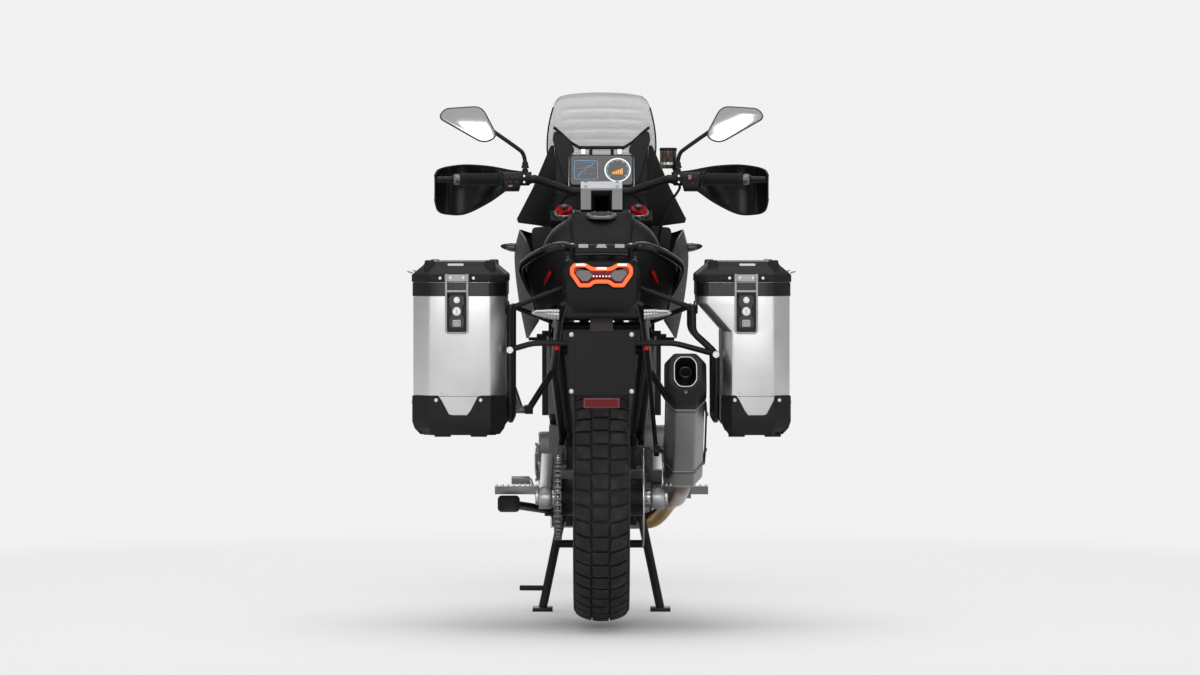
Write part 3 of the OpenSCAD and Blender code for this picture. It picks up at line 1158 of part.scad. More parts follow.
module hand_guards() color(dark) both() {
    // bow around the lever, anchored on the bar's end and inboard by a stay
    half = bar_width / 2;
    rows = [for (t = [0:4]) let (s = t / 4) [
        for (q = [[206, 80, 20, -12], [262, 104, 26, -22], [330, 118, 38, -66], [400, 106, 42, -100], [452, 76, 36, -102],
                [half - 8, 28, 26, -92], [half, -20, 10, -60]])
            [q[0], guard_y + q[1] - 10 * pow(2 * s - 1, 2), bar_z + q[2] + (q[3] - q[2]) * s]]];
    thick_sheet(rows, [-4, -5, 0]);
    // anchor in the bar's end
    bar(bar_out + bar_way * seat_gap, bar_out + bar_way * (half - 8 - bar_out[0]), 18);
    difference() {
        bar(bend, guard_foot + [0, 8, 0], 11);
        bar(bend - bar_way * 10, bend + bar_way * 60, bar_d + 2 * seat_gap);
        bar([88, clamp_p[1], clamp_p[2]], bend, bar_d + 2 * seat_gap);
        translate(bend) sphere(d = bar_d * 1.08 + 2 * seat_gap);
    }
}

module mirrors() color(dark) both() {
    sweep(curve([mirror_foot, mirror_foot + [0, 0, 20], mirror_foot + [6, -2, 44], mirror_foot + [22, -6, 60],
        mirror_foot + [96, -12, 112]], 3), 12, 8);
    hull() for (q = mirror_outline) translate(mirror_foot + [q[0], -12, q[1]]) rotate([80, 0, 0]) cylinder(d = 12, h = 16, $fn = 12);
}

// ---------------------------------------------------------------- front fender and brake hose

module front_fender() color(dark) {
    grid = function (o) [for (k = [0:11]) [for (j = [-3:3]) fender_point(k, j / 3, o)]];
    between_sheets(grid(fender_gap), grid(fender_gap + fender_t));
    // brackets out to the fork's legs
    in_steering() both() difference() {
        translate([50, yoke_offset - 18, axle_w + 350]) cube([fork_x - 50, 36, 10]);
        translate([fork_x, yoke_offset, axle_w]) cylinder(d = fork_leg_d + 2 * seat_gap, h = 500);
    }
}

module front_brake_hose() color(rubber)
    // from the lever's perch down behind the right fork tube to its caliper
    sweep(curve(hose_route, 4), hose_d, 8);

// ---------------------------------------------------------------- stands

module centre_stand() color(dark) {
    boss_d = stand_pin_d + 16;
    hip = [stand_hip + 12, stand_pivot[1], stand_pivot[2]];
    foot = [stand_foot[0], stand_foot[1], 7];
    at = hip + (foot - hip) * 0.3;
    tang = hip + (foot - hip) * 0.78;
    both() {
        along_x([stand_hip, stand_pivot[1], stand_pivot[2]]) cylinder(d = boss_d, h = 18);
        bar(hip, foot, 24);
        translate([foot[0] - 28, foot[1] - 34, 0]) cube([56, 68, 10]);
    }
    // pin through the frame's plates
    along_x([-stand_hip - 4, stand_pivot[1], stand_pivot[2]]) cylinder(d = stand_pin_d, h = 2 * stand_hip + 8);
    // tube between the legs
    along_x([-at[0], at[1], at[2]]) cylinder(d = 22, h = 2 * at[0]);
    // tang for the rider's foot, on the left
    mirror([1, 0, 0]) bar(tang, tang + [76, 6, 0], 15);
}

module side_stand() color(dark) {
    way = unit(side_foot - side_pivot);
    bar(side_pivot + way * 8 - [4, 0, 0], side_foot, side_leg_d);
    translate(side_pivot) rotate([0, 90, side_tilt]) translate([0, 0, -8]) cylinder(d = 38, h = 16);
    // foot plate, square to the leg
    translate(side_foot) rotate([75, 0, 0]) translate([0, 0, -5]) linear_extrude(10) offset(r = 12) square([38, 22], center = true);
}

main_frame();
engine();
radiator();
fuel_tank();
saddle();
tail_unit();
front_cowl();
windscreen();
display();
shrouds();
skid_plate();
exhaust_headers();
silencer();
subframe();
lights();
plate_holder();
number_plate();
rear_carrier();
pannier_rack();
pannier_left();
pannier_right();
pannier_left_lid();
pannier_right_lid();
swingarm();
rear_shock();
rear_axle();
rear_caliper();
chain();
foot_controls();
steering_yokes();
fork_tubes();
fork_legs();
handlebar();
bar_controls();
hand_guards();
mirrors();
front_fender();
front_calipers();
front_brake_hose();
front_tyre();
front_wheel();
front_discs();
rear_tyre();
rear_wheel();
rear_sprocket();
rear_disc();
centre_stand();
side_stand();
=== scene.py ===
"""Looks of an adventure motorcycle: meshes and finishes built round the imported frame."""

import logging
import math
from dataclasses import dataclass, field, replace
from enum import Enum

import bpy
import numpy as np
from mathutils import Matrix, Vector


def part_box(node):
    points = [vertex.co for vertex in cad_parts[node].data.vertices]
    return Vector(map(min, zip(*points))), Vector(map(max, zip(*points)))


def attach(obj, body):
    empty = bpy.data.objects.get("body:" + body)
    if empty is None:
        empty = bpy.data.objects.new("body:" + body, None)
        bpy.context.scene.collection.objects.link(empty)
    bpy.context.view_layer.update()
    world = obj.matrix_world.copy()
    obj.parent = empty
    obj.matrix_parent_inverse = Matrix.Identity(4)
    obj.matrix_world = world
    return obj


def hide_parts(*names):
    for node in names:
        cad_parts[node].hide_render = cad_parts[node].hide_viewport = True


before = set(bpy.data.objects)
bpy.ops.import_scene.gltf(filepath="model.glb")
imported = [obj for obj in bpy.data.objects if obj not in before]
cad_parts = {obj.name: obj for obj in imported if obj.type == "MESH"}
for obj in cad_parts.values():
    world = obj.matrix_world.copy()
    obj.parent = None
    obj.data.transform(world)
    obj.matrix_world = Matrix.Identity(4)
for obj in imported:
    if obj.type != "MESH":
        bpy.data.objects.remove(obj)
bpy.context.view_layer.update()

logging.basicConfig(level=logging.INFO, format="%(message)s")
log = logging.getLogger("motorcycle")

Array = np.ndarray
Point = tuple[float, float, float]
RAKE = math.radians(27)
HEAD = np.array([0.0, 450.67, 980.0])


# ---------------------------------------------------------------- shapes


def unit(v: Array) -> Array:
    """Vectors divided by their lengths, over the last axis."""
    v = np.asarray(v, float)
    return v / np.linalg.norm(v, axis=-1, keepdims=True)


def steer(p: Array) -> Array:
    """Turns points given beside the steering axis (across, ahead, along) into the row frame.

    Args:
        p: Points in millimetres, as (across, ahead of the axis, up along it).

    Returns:
        The points leaned back by the rake about X and moved to the middle of the steering head.
    """
    p = np.asarray(p, float)
    c, s = math.cos(RAKE), math.sin(RAKE)
    y = p[..., 1] * c - p[..., 2] * s
    z = p[..., 1] * s + p[..., 2] * c
    return HEAD + np.stack([p[..., 0], y, z], -1)


def spline(points: Array, steps: int) -> Array:
    """Runs a smooth curve through rows of numbers.

    Each span is the cubic whose slope at a point is half the step between the point's two neighbours.

    Args:
        points: Rows to pass through, of any width.
        steps: How many steps each span is divided into.

    Returns:
        The rows of the curve, ends included.
    """
    p = np.asarray(points, float)
    q = np.concatenate([p[:1], p, p[-1:]])
    t = (np.arange(steps) / steps).reshape((1, steps) + (1,) * (p.ndim - 1))
    a, b, c, d = (q[i : len(p) - 1 + i, None] for i in range(4))
    out = 0.5 * (
        2 * b + (c - a) * t + (2 * a - 5 * b + 4 * c - d) * t**2 + (3 * b - a - 3 * c + d) * t**3
    )
    return np.concatenate([out.reshape((-1,) + p.shape[1:]), p[-1:]])


def fine_sheet(rows: Array, steps: int) -> Array:
    """Smooths a coarse grid of points both ways with the curve of spline()."""
    return spline(spline(rows, steps).swapaxes(0, 1), steps).swapaxes(0, 1)


@dataclass
class Shape:
    """Vertices and faces held as arrays until they become a mesh.

    Attributes:
        verts: Points in millimetres, one row each.
        faces: Arrays of vertex numbers, one row a face; each array has faces of one size.
    """

    verts: Array
    faces: list[Array]

    def __add__(self, other: "Shape") -> "Shape":
        """Both shapes in one."""
        n = len(self.verts)
        return Shape(
            np.concatenate([self.verts, other.verts]), self.faces + [f + n for f in other.faces]
        )

    def flipped(self) -> "Shape":
        """The same shape with its faces turned round."""
        return Shape(self.verts, [f[:, ::-1] for f in self.faces])

    def outward(self) -> "Shape":
        """Turns the faces outwards, by the sign of the volume that they enclose.

        Returns:
            The shape itself, or its flipped copy where the enclosed volume is negative.
        """
        volume = 0.0
        for f in self.faces:
            a = self.verts[f[:, 0]]
            for i in range(1, f.shape[1] - 1):
                volume += np.einsum(
                    "ij,ij->", a, np.cross(self.verts[f[:, i]], self.verts[f[:, i + 1]])
                )
        return self if volume > 0 else self.flipped()

    def moved(self, by: Point) -> "Shape":
        """The shape moved by a vector."""
        return Shape(self.verts + np.asarray(by, float), self.faces)

    def mirrored(self) -> "Shape":
        """The shape reflected in the centre plane, with its faces kept outwards."""
        return Shape(self.verts * [-1, 1, 1], [f[:, ::-1] for f in self.faces])

    def both(self) -> "Shape":
        """The shape with its mirror image."""
        return self + self.mirrored()

    def placed(self, origin: Point, u: Point, v: Point, w: Point) -> "Shape":
        """Carries the shape from its own axes to three given ones.

        Args:
            origin: Where its origin goes.
            u: Where its X axis points.
            v: Where its Y axis points.
            w: Where its Z axis points.

        Returns:
            The placed shape, with its faces outwards.
        """
        axes = np.array([u, v, w], float)
        out = Shape(np.asarray(origin, float) + self.verts @ axes, self.faces)
        return out if np.linalg.det(axes) > 0 else out.flipped()


def joined(shapes: list[Shape]) -> Shape:
    """All shapes of a list in one."""
    out = shapes[0]
    for s in shapes[1:]:
        out = out + s
    return out


def cells(nu: int, nv: int, wrap_u: bool = False, wrap_v: bool = False) -> Array:
    """Numbers the four corners of each cell of a grid.

    Args:
        nu: Points along the first way.
        nv: Points along the second way.
        wrap_u: Whether the first way closes on itself.
        wrap_v: Whether the second way closes on itself.

    Returns:
        One row of four vertex numbers a cell.
    """
    i, j = np.meshgrid(
        np.arange(nu if wrap_u else nu - 1), np.arange(nv if wrap_v else nv - 1), indexing="ij"
    )
    i2, j2 = (i + 1) % nu, (j + 1) % nv
    return np.stack([i * nv + j, i2 * nv + j, i2 * nv + j2, i * nv + j2], -1).reshape(-1, 4)


def rings(points: Array, loop: bool = False) -> Shape:
    """Skins a stack of closed rings.

    Args:
        points: Rings by points by three.
        loop: Whether the last ring joins the first; otherwise both ends get a cap.

    Returns:
        A closed shape with its faces outwards.
    """
    nu, nv = points.shape[:2]
    faces = [cells(nu, nv, loop, True)]
    if not loop:
        faces += [np.arange(nv)[None], (np.arange(nv) + (nu - 1) * nv)[None, ::-1]]
    return Shape(points.reshape(-1, 3), faces).outward()


def between(front: Array, back: Array) -> Shape:
    """Closes the space between two grids of points that lie side by side.

    Args:
        front: The first grid of points.
        back: The second grid, of the same size.

    Returns:
        A closed sheet with walls round its four edges.
    """
    nu, nv = front.shape[:2]
    n = nu * nv
    k = np.arange(n).reshape(nu, nv)
    edge = np.concatenate([k[:-1, 0], k[-1, :-1], k[:0:-1, -1], k[0, :0:-1]])
    wall = np.stack([edge, edge + n, np.roll(edge, -1) + n, np.roll(edge, -1)], -1)
    c = cells(nu, nv)
    verts = np.concatenate([front.reshape(-1, 3), back.reshape(-1, 3)])
    return Shape(verts, [c, c[:, ::-1] + n, wall]).outward()


def cross_axes(way: Array) -> tuple[Array, Array]:
    """Two directions square to a way and to each other."""
    way = unit(way)
    side = np.array([0.0, 0.0, 1.0]) if abs(way[2]) < 0.8 else np.array([0.0, 1.0, 0.0])
    u = unit(np.cross(side, way))
    return u, np.cross(way, u)


def lathe(
    profile: list[tuple[float, float]], at: Point, way: Point, n: int = 24, loop: bool = False
) -> Shape:
    """Turns a profile of (radius, distance along) about a line.

    Args:
        profile: Radius and distance along the line, in order.
        at: A point on the line, from which the distance counts.
        way: The line's direction.
        n: Points round each ring.
        loop: Whether the profile closes on itself, as a tyre's or a ring's does.

    Returns:
        A closed shape.
    """
    way = unit(np.asarray(way, float))
    u, v = cross_axes(way)
    a = np.arange(n) * 2 * math.pi / n
    turn = np.cos(a)[:, None] * u + np.sin(a)[:, None] * v
    p = np.asarray(profile, float)
    return rings(np.asarray(at, float) + p[:, :1, None] * turn[None] + p[:, 1:, None] * way, loop)


def rod(p: Point, q: Point, r: float, r2: float | None = None, n: int = 16, edge: float = 0.8) -> Shape:
    """A round bar between two points, with small chamfers and perhaps a taper."""
    r2 = r if r2 is None else r2
    length = float(np.linalg.norm(np.subtract(q, p)))
    return lathe(
        [(r - edge, 0), (r, edge), (r2, length - edge), (r2 - edge, length)], p, np.subtract(q, p), n
    )


def tube(
    path: Array, radius: float | Array, m: int = 14, side: Point | None = None, flat: float = 1.0
) -> Shape:
    """Carries a circle or an ellipse along a path.

    At each point the ring lies square to the path. Its first axis is the side vector less the part
    of it that runs along the path, and its second is square to both.

    Args:
        path: Points of the path.
        radius: The radius, or one for each point.
        m: Points round the tube.
        side: The side vector; by default the axis that the path follows least.
        flat: The second axis over the first.

    Returns:
        A closed tube with rounded ends.
    """
    path = np.asarray(path, float)
    t = unit(np.gradient(path, axis=0))
    ref = np.eye(3)[int(np.argmin(np.abs(t).max(0)))] if side is None else np.asarray(side, float)
    u = unit(ref - (t @ ref)[:, None] * t)
    v = np.cross(t, u)
    r = np.broadcast_to(np.asarray(radius, float), (len(path),))
    path = np.concatenate([path[:1] - t[:1] * r[0] * 0.3, path, path[-1:] + t[-1:] * r[-1] * 0.3])
    u, v = (np.concatenate([w[:1], w, w[-1:]]) for w in (u, v))
    r = np.concatenate([[r[0] * 0.75], r, [r[-1] * 0.75]])
    a = np.arange(m) * 2 * math.pi / m
    ring = np.cos(a)[None, :, None] * u[:, None] + flat * np.sin(a)[None, :, None] * v[:, None]
    return rings(path[:, None] + r[:, None, None] * ring)


def inset(outline: Array, by: float) -> Array:
    """Moves a closed outline, drawn left-handed round or right-handed, inwards square to its sides.

    Args:
        outline: Corners in the plane.
        by: How far each side moves in; negative moves it out.

    Returns:
        The moved corners.
    """
    p = np.asarray(outline, float)
    nxt, prv = np.roll(p, -1, 0), np.roll(p, 1, 0)
    area = np.sum(p[:, 0] * nxt[:, 1] - nxt[:, 0] * p[:, 1])
    e1, e2 = unit(p - prv), unit(nxt - p)
    n1, n2 = (np.stack([-e[:, 1], e[:, 0]], -1) * np.sign(area) for e in (e1, e2))
    mid = n1 + n2
    return p + mid * by / np.maximum(np.einsum("ij,ij->i", mid, n1), 0.35)[:, None]


def rounded(outline: Array, r: float, k: int = 5) -> Array:
    """Rounds each corner of an outline.

    The corner is replaced by the parabola that starts and ends at distance r from it, or at half a side
    where the side is shorter.

    Args:
        outline: Corners in the plane.
        r: How far from each corner the rounding starts.
        k: Points for each corner.

    Returns:
        The rounded outline.
    """
    p = np.asarray(outline, float)
    a, b = np.roll(p, 1, 0) - p, np.roll(p, -1, 0) - p
    la, lb = np.linalg.norm(a, axis=1, keepdims=True), np.linalg.norm(b, axis=1, keepdims=True)
    a, b = a / la * np.minimum(r, la * 0.48), b / lb * np.minimum(r, lb * 0.48)
    t = np.linspace(0, 1, k)[None, :, None]
    return (p[:, None] + a[:, None] * (1 - t) ** 2 + b[:, None] * t**2).reshape(-1, 2)


def rectangle(w: float, h: float, r: float = 0.0, k: int = 5) -> Array:
    """A rectangle about the origin, with rounded corners if r is more than nothing."""
    p = np.array([[-w, -h], [w, -h], [w, h], [-w, h]]) / 2
    return rounded(p, r, k) if r else p


def prism(outline: Array, lo: float, hi: float, edge: float = 1.0, top: float = 0.0) -> Shape:
    """Gives an outline in X and Y a thickness along Z, with its edges taken off.

    Args:
        outline: The outline.
        lo: Lower height.
        hi: Upper height.
        edge: Size of the chamfer.
        top: How much the upper face is drawn in.

    Returns:
        A closed block.
    """
    o = np.asarray(outline, float)
    z = [(edge, lo), (0, lo + edge), (top, hi - edge), (top + edge, hi)]
    return rings(np.stack([np.column_stack([inset(o, i), np.full(len(o), h)]) for i, h in z]))


def frame_prism(outline: Array, width: float, lo: float, hi: float, edge: float = 0.6) -> Shape:
    """A band of given width just inside an outline, with a thickness along Z."""
    o = np.asarray(outline, float)
    z = [
        (edge, lo), (0, lo + edge), (0, hi - edge), (edge, hi), (width - edge, hi), (width, hi - edge),
        (width, lo + edge), (width - edge, lo)
    ]
    return rings(
        np.stack([np.column_stack([inset(o, i), np.full(len(o), h)]) for i, h in z]), loop=True
    )


def block(lo: Point, hi: Point, r: float = 3.0, edge: float = 1.0) -> Shape:
    """A block between two corners, with upright edges rounded and the others taken off."""
    lo, hi = np.array(lo, float), np.array(hi, float)
    mid, size = (lo + hi) / 2, hi - lo
    return prism(rectangle(size[0], size[1], r, 4), -size[2] / 2, size[2] / 2, edge).moved(mid)


def upright(shape: Shape, height: float = 0.0) -> Shape:
    """Stands a shape drawn in X and Y up in the plane X, Z, with its thickness running rearwards.

    Args:
        shape: The shape, drawn flat.
        height: Z of the drawing's origin.

    Returns:
        The shape stood up.
    """
    return shape.placed((0, 0, height), (1, 0, 0), (0, 0, 1), (0, -1, 0))


def back_prism(
    outline: Array, y0: float, y1: float, edge: float = 1.0, at: Point = (0, 0, 0), top: float = 0.0
) -> Shape:
    """Gives an outline in X and Z a thickness rearwards, from y0 back to y1."""
    return prism(outline, -y0, -y1, edge, top).placed(at, (1, 0, 0), (0, 0, 1), (0, -1, 0))


def coil(
    p: Point, q: Point, radius: float, wire: float, turns: float, m: int = 8, per: int = 20
) -> Shape:
    """A coil spring: a wire at a radius from the line, turning evenly as it goes along it."""
    p, q = np.asarray(p, float), np.asarray(q, float)
    u, v = cross_axes(q - p)
    t = np.linspace(0, 1, int(turns * per) + 1)[:, None]
    a = t * turns * 2 * math.pi
    path = p + (q - p) * t + radius * (np.cos(a) * u + np.sin(a) * v)
    way = unit(q - p)
    tang = unit(np.gradient(path, axis=0))
    out = unit(path - p - ((path - p) @ way)[:, None] * way)
    side = np.cross(tang, out)
    b = np.arange(m) * 2 * math.pi / m
    return rings(
        path[:, None]
        + wire * (np.cos(b)[None, :, None] * out[:, None] + np.sin(b)[None, :, None] * side[:, None])
    )


def loft(sections: list[list[float]], steps: int = 6, m: int = 56, edge: float = 8.0) -> Shape:
    """A body along Y whose sections are squared ovals.

    A section is (y, half width, low z, high z, squareness e): its point at the angle a is
    half width times cos a to the power 2/e across, and the same of sin a upwards about its middle.
    The sections are joined by spline(), and both ends are rounded over.

    Args:
        sections: The sections from front to rear.
        steps: Steps between each two.
        m: Points round each ring.
        edge: Size of the rounding at both ends.

    Returns:
        A closed body.
    """
    s = spline(np.array(sections, float), steps)
    d = np.array([0, 0.12, 0.35, 0.65]) * edge
    fall = edge - np.sqrt(edge**2 - (edge - d) ** 2)
    ends = []
    for k, sign in ((0, -1.0), (-1, 1.0)):
        rows = np.repeat(s[[k]], 4, 0)
        rows[:, 0] += sign * d
        rows[:, 1] -= fall
        rows[:, 2] += fall
        rows[:, 3] -= fall
        ends.append(rows)
    s = np.concatenate([ends[0], s[1:-1], ends[1][::-1]])
    a = np.arange(m) * 2 * math.pi / m
    e = 2 / s[:, 4:5]
    c, z = np.cos(a)[None], np.sin(a)[None]
    x = s[:, 1:2] * np.sign(c) * np.abs(c) ** e
    z = (s[:, 2:3] + s[:, 3:4]) / 2 + (s[:, 3:4] - s[:, 2:3]) / 2 * np.sign(z) * np.abs(z) ** e
    return rings(np.stack([x, np.broadcast_to(s[:, :1], x.shape), z], -1))


def screws(points: Array, ways: Array, r: float = 4.0, h: float = 3.0) -> Shape:
    """Socket screw heads, one at each point, standing along its way.

    The head is turned from a profile with a chamfer outside and a sunk socket inside.

    Args:
        points: Where each head sits.
        ways: The outward direction of each, or one for all.
        r: Radius of the heads.
        h: Height of the heads.

    Returns:
        All heads in one shape.
    """
    p = np.atleast_2d(np.asarray(points, float))
    w = unit(np.broadcast_to(np.asarray(ways, float), p.shape))
    one = lathe(
        [(r, -1.0), (r, h * 0.75), (r * 0.86, h), (r * 0.55, h), (r * 0.46, h * 0.35)], (0, 0, 0),
        (0, 0, 1), 12
    )
    side = np.where(np.abs(w[:, 2:3]) < 0.8, [[0.0, 0.0, 1.0]], [[0.0, 1.0, 0.0]])
    u = unit(np.cross(side, w))
    v = np.cross(w, u)
    axes = np.stack([u, v, w], 1)
    verts = (p[:, None] + np.einsum("vk,nkj->nvj", one.verts, axes)).reshape(-1, 3)
    shift = (np.arange(len(p)) * len(one.verts))[:, None, None]
    return Shape(verts, [(f[None] + shift).reshape(-1, f.shape[1]) for f in one.faces])


def array_of(one: Shape, origins: Array, axes: Array) -> Shape:
    """Copies of one shape, each carried to its own origin and three axes."""
    verts = (origins[:, None] + np.einsum("vk,nkj->nvj", one.verts, axes)).reshape(-1, 3)
    shift = (np.arange(len(origins)) * len(one.verts))[:, None, None]
    return Shape(verts, [(f[None] + shift).reshape(-1, f.shape[1]) for f in one.faces])


# ---------------------------------------------------------------- finishes


class Pattern(Enum):
    """The fine structure that a finish shows."""

    POWDER = "powder coat"
    MOULDED = "moulded plastic"
    SMOOTH = "smooth and glossy"
    BRUSHED = "brushed metal"
    CAST = "cast metal"
    TREAD = "rubber with road dust"
    LEATHER = "grained cover"
    HEATED = "steel tinted by heat"


@dataclass(frozen=True)
class Finish:
    """A surface finish, and the nodes that draw it.

    Attributes:
        name: Name of the material.
        colour: Base colour, linear.
        rough: Roughness.
        pattern: Its fine structure.
        metal: 1 for bare metal.
        depth: Height of the fine structure in metres.
        scale: How many grains of it to a metre.
        vary: How much colour and roughness wander over the surface.
        coat: Weight of a clear coat.
        glow: Strength of its own light.
        clear: How much light it lets through.
        sheen: Weight of a soft edge sheen.
        grain: Stretch of the pattern along X, Y and Z.
        high: A second colour above the height split, or none.
        split: The height where the second colour starts.
        spec: Strength of the plain gloss.
    """

    name: str
    colour: Point
    rough: float
    pattern: Pattern = Pattern.SMOOTH
    metal: float = 0.0
    depth: float = 0.0
    scale: float = 400.0
    vary: float = 0.12
    coat: float = 0.0
    glow: float = 0.0
    clear: float = 0.0
    sheen: float = 0.0
    grain: Point = (1.0, 1.0, 1.0)
    high: Point | None = None
    split: float = 0.0
    spec: float = 0.5

    def material(self) -> bpy.types.Material:
        """Builds the material once.

        Returns:
            The material of that name, with a slow drift of colour and roughness and a fine relief.
        """
        if self.name in bpy.data.materials:
            return bpy.data.materials[self.name]
        mat = bpy.data.materials.new(self.name)
        mat.use_nodes = True
        nt = mat.node_tree
        b = nt.nodes["Principled BSDF"]
        for socket, value in (
            ("Metallic", self.metal), ("Coat Weight", self.coat), ("Coat Roughness", 0.06),
            ("Transmission Weight", self.clear), ("Sheen Weight", self.sheen), ("Sheen Roughness", 0.5),
            ("IOR", 1.47), ("Specular IOR Level", self.spec)
        ):
            b.inputs[socket].default_value = value
        coord = nt.nodes.new("ShaderNodeTexCoord")
        slow = self._noise(nt, coord, 9.0, 4.0, (1, 1, 1))
        lo = tuple(c * (1 - self.vary) for c in self.colour)
        hi = tuple(min(c * (1 + self.vary), 1.0) for c in self.colour)
        base = self._mix(nt, slow.outputs["Fac"], lo, hi)
        if self.pattern is Pattern.TREAD:
            dust = self._noise(nt, coord, 34.0, 6.0, (1, 1, 1))
            base = self._mix(
                nt, self._steps(nt, dust.outputs["Fac"], 0.5, 0.75), base, (0.052, 0.048, 0.043), 0.55
            )
        if self.pattern is Pattern.HEATED:
            tint = self._noise(nt, coord, 7.0, 1.0, (1, 1, 0.6))
            base = self._mix(
                nt, self._steps(nt, tint.outputs["Fac"], 0.42, 0.52), base, (0.42, 0.27, 0.12)
            )
            base = self._mix(
                nt, self._steps(nt, tint.outputs["Fac"], 0.56, 0.68), base, (0.16, 0.17, 0.3)
            )
        if self.high is not None:
            apart = nt.nodes.new("ShaderNodeSeparateXYZ")
            nt.links.new(coord.outputs["Object"], apart.inputs[0])
            base = self._mix(
                nt, self._steps(nt, apart.outputs["Z"], self.split, self.split + 0.001), base, self.high
            )
        nt.links.new(base, b.inputs["Base Color"])
        if self.glow:
            b.inputs["Emission Color"].default_value = (*self.colour, 1)
            b.inputs["Emission Strength"].default_value = self.glow
        fine, relief = self._relief(nt, coord)
        rough = nt.nodes.new("ShaderNodeMapRange")
        rough.inputs["To Min"].default_value = max(self.rough - self.vary * 0.5, 0.01)
        rough.inputs["To Max"].default_value = min(self.rough + self.vary * 0.5, 1.0)
        nt.links.new(
            fine if self.pattern is Pattern.BRUSHED else slow.outputs["Fac"], rough.inputs["Value"]
        )
        nt.links.new(rough.outputs["Result"], b.inputs["Roughness"])
        if self.depth:
            bump = nt.nodes.new("ShaderNodeBump")
            bump.inputs["Strength"].default_value = 0.9
            bump.inputs["Distance"].default_value = self.depth
            nt.links.new(relief, bump.inputs["Height"])
            nt.links.new(bump.outputs["Normal"], b.inputs["Normal"])
        return mat

    def _relief(self, nt: bpy.types.NodeTree, coord: bpy.types.Node) -> tuple:
        """The fine pattern as a value, and the height that the relief follows."""
        if self.pattern in (Pattern.MOULDED, Pattern.LEATHER):
            mapping = self._mapping(nt, coord, self.grain)
            cell = nt.nodes.new("ShaderNodeTexVoronoi")
            cell.feature = "DISTANCE_TO_EDGE" if self.pattern is Pattern.LEATHER else "SMOOTH_F1"
            cell.inputs["Scale"].default_value = self.scale
            nt.links.new(mapping.outputs[0], cell.inputs["Vector"])
            return cell.outputs["Distance"], self._steps(nt, cell.outputs["Distance"], 0.0, 0.32)
        noise = self._noise(nt, coord, self.scale, 3.0, self.grain)
        return noise.outputs["Fac"], noise.outputs["Fac"]

    @staticmethod
    def _mapping(nt: bpy.types.NodeTree, coord: bpy.types.Node, stretch: Point) -> bpy.types.Node:
        """A Mapping node that stretches the object's own coordinates."""
        node = nt.nodes.new("ShaderNodeMapping")
        node.inputs["Scale"].default_value = stretch
        nt.links.new(coord.outputs["Object"], node.inputs["Vector"])
        return node

    @classmethod
    def _noise(
        cls, nt: bpy.types.NodeTree, coord: bpy.types.Node, scale: float, detail: float, stretch: Point
    ) -> bpy.types.Node:
        """A noise of so many grains to a metre."""
        node = nt.nodes.new("ShaderNodeTexNoise")
        node.inputs["Scale"].default_value = scale
        node.inputs["Detail"].default_value = detail
        nt.links.new(cls._mapping(nt, coord, stretch).outputs[0], node.inputs["Vector"])
        return node

    @staticmethod
    def _steps(
        nt: bpy.types.NodeTree, value: bpy.types.NodeSocket, lo: float, hi: float
    ) -> bpy.types.NodeSocket:
        """A value spread so that lo becomes 0 and hi becomes 1."""
        node = nt.nodes.new("ShaderNodeMapRange")
        node.inputs["From Min"].default_value = lo
        node.inputs["From Max"].default_value = hi
        nt.links.new(value, node.inputs["Value"])
        return node.outputs["Result"]

    @staticmethod
    def _mix(
        nt: bpy.types.NodeTree, factor: bpy.types.NodeSocket, a: object, b: object, most: float = 1.0
    ) -> bpy.types.NodeSocket:
        """Two colours mixed by a factor, each a socket or a plain colour."""
        node = nt.nodes.new("ShaderNodeMix")
        node.data_type = "RGBA"
        if most < 1:
            scaled = nt.nodes.new("ShaderNodeMath")
            scaled.operation = "MULTIPLY"
            scaled.inputs[1].default_value = most
            nt.links.new(factor, scaled.inputs[0])
            factor = scaled.outputs[0]
        nt.links.new(factor, node.inputs["Factor"])
        for socket, c in (("A", a), ("B", b)):
            s = next(i for i in node.inputs if i.name == socket and i.type == "RGBA")
            if isinstance(c, bpy.types.NodeSocket):
                nt.links.new(c, s)
            else:
                s.default_value = (*c, 1)
        return next(o for o in node.outputs if o.type == "RGBA")


POWDER = Finish(
    "black_powder_coat", (0.0075, 0.0075, 0.008), 0.4, Pattern.POWDER, depth=0.00012, scale=900,
    spec=0.3
)
MOULDED = Finish(
    "moulded_black", (0.0085, 0.0085, 0.009), 0.52, Pattern.MOULDED, depth=0.00012, scale=700, spec=0.28
)
GREY_MOULDED = replace(MOULDED, name="moulded_grey", colour=(0.03, 0.03, 0.031))
GLOSS = Finish("gloss_black", (0.006, 0.006, 0.0065), 0.22, coat=0.12, vary=0.08, spec=0.35)
PAINT = Finish(
    "dark_paint", (0.006, 0.006, 0.0065), 0.42, Pattern.POWDER, metal=0.0, depth=0.00002, scale=1500,
    vary=0.1, spec=0.14
)
CASTING = Finish(
    "cast_grey", (0.17, 0.17, 0.175), 0.46, Pattern.CAST, metal=0.85, depth=0.0003, scale=420
)
DARK_CASTING = replace(CASTING, name="cast_black", colour=(0.03, 0.03, 0.031), metal=0.4)
ARM = replace(CASTING, name="swingarm_silver", colour=(0.42, 0.42, 0.43), rough=0.36, metal=1.0)
MACHINED = Finish(
    "machined_aluminium", (0.62, 0.63, 0.65), 0.3, Pattern.BRUSHED, metal=1, depth=0.00002, scale=3,
    vary=0.16, grain=(300, 300, 60)
)
BRUSHED = Finish(
    "brushed_aluminium", (0.74, 0.745, 0.755), 0.3, Pattern.BRUSHED, metal=1, depth=0.00004, scale=2,
    vary=0.16, grain=(500, 500, 5)
)
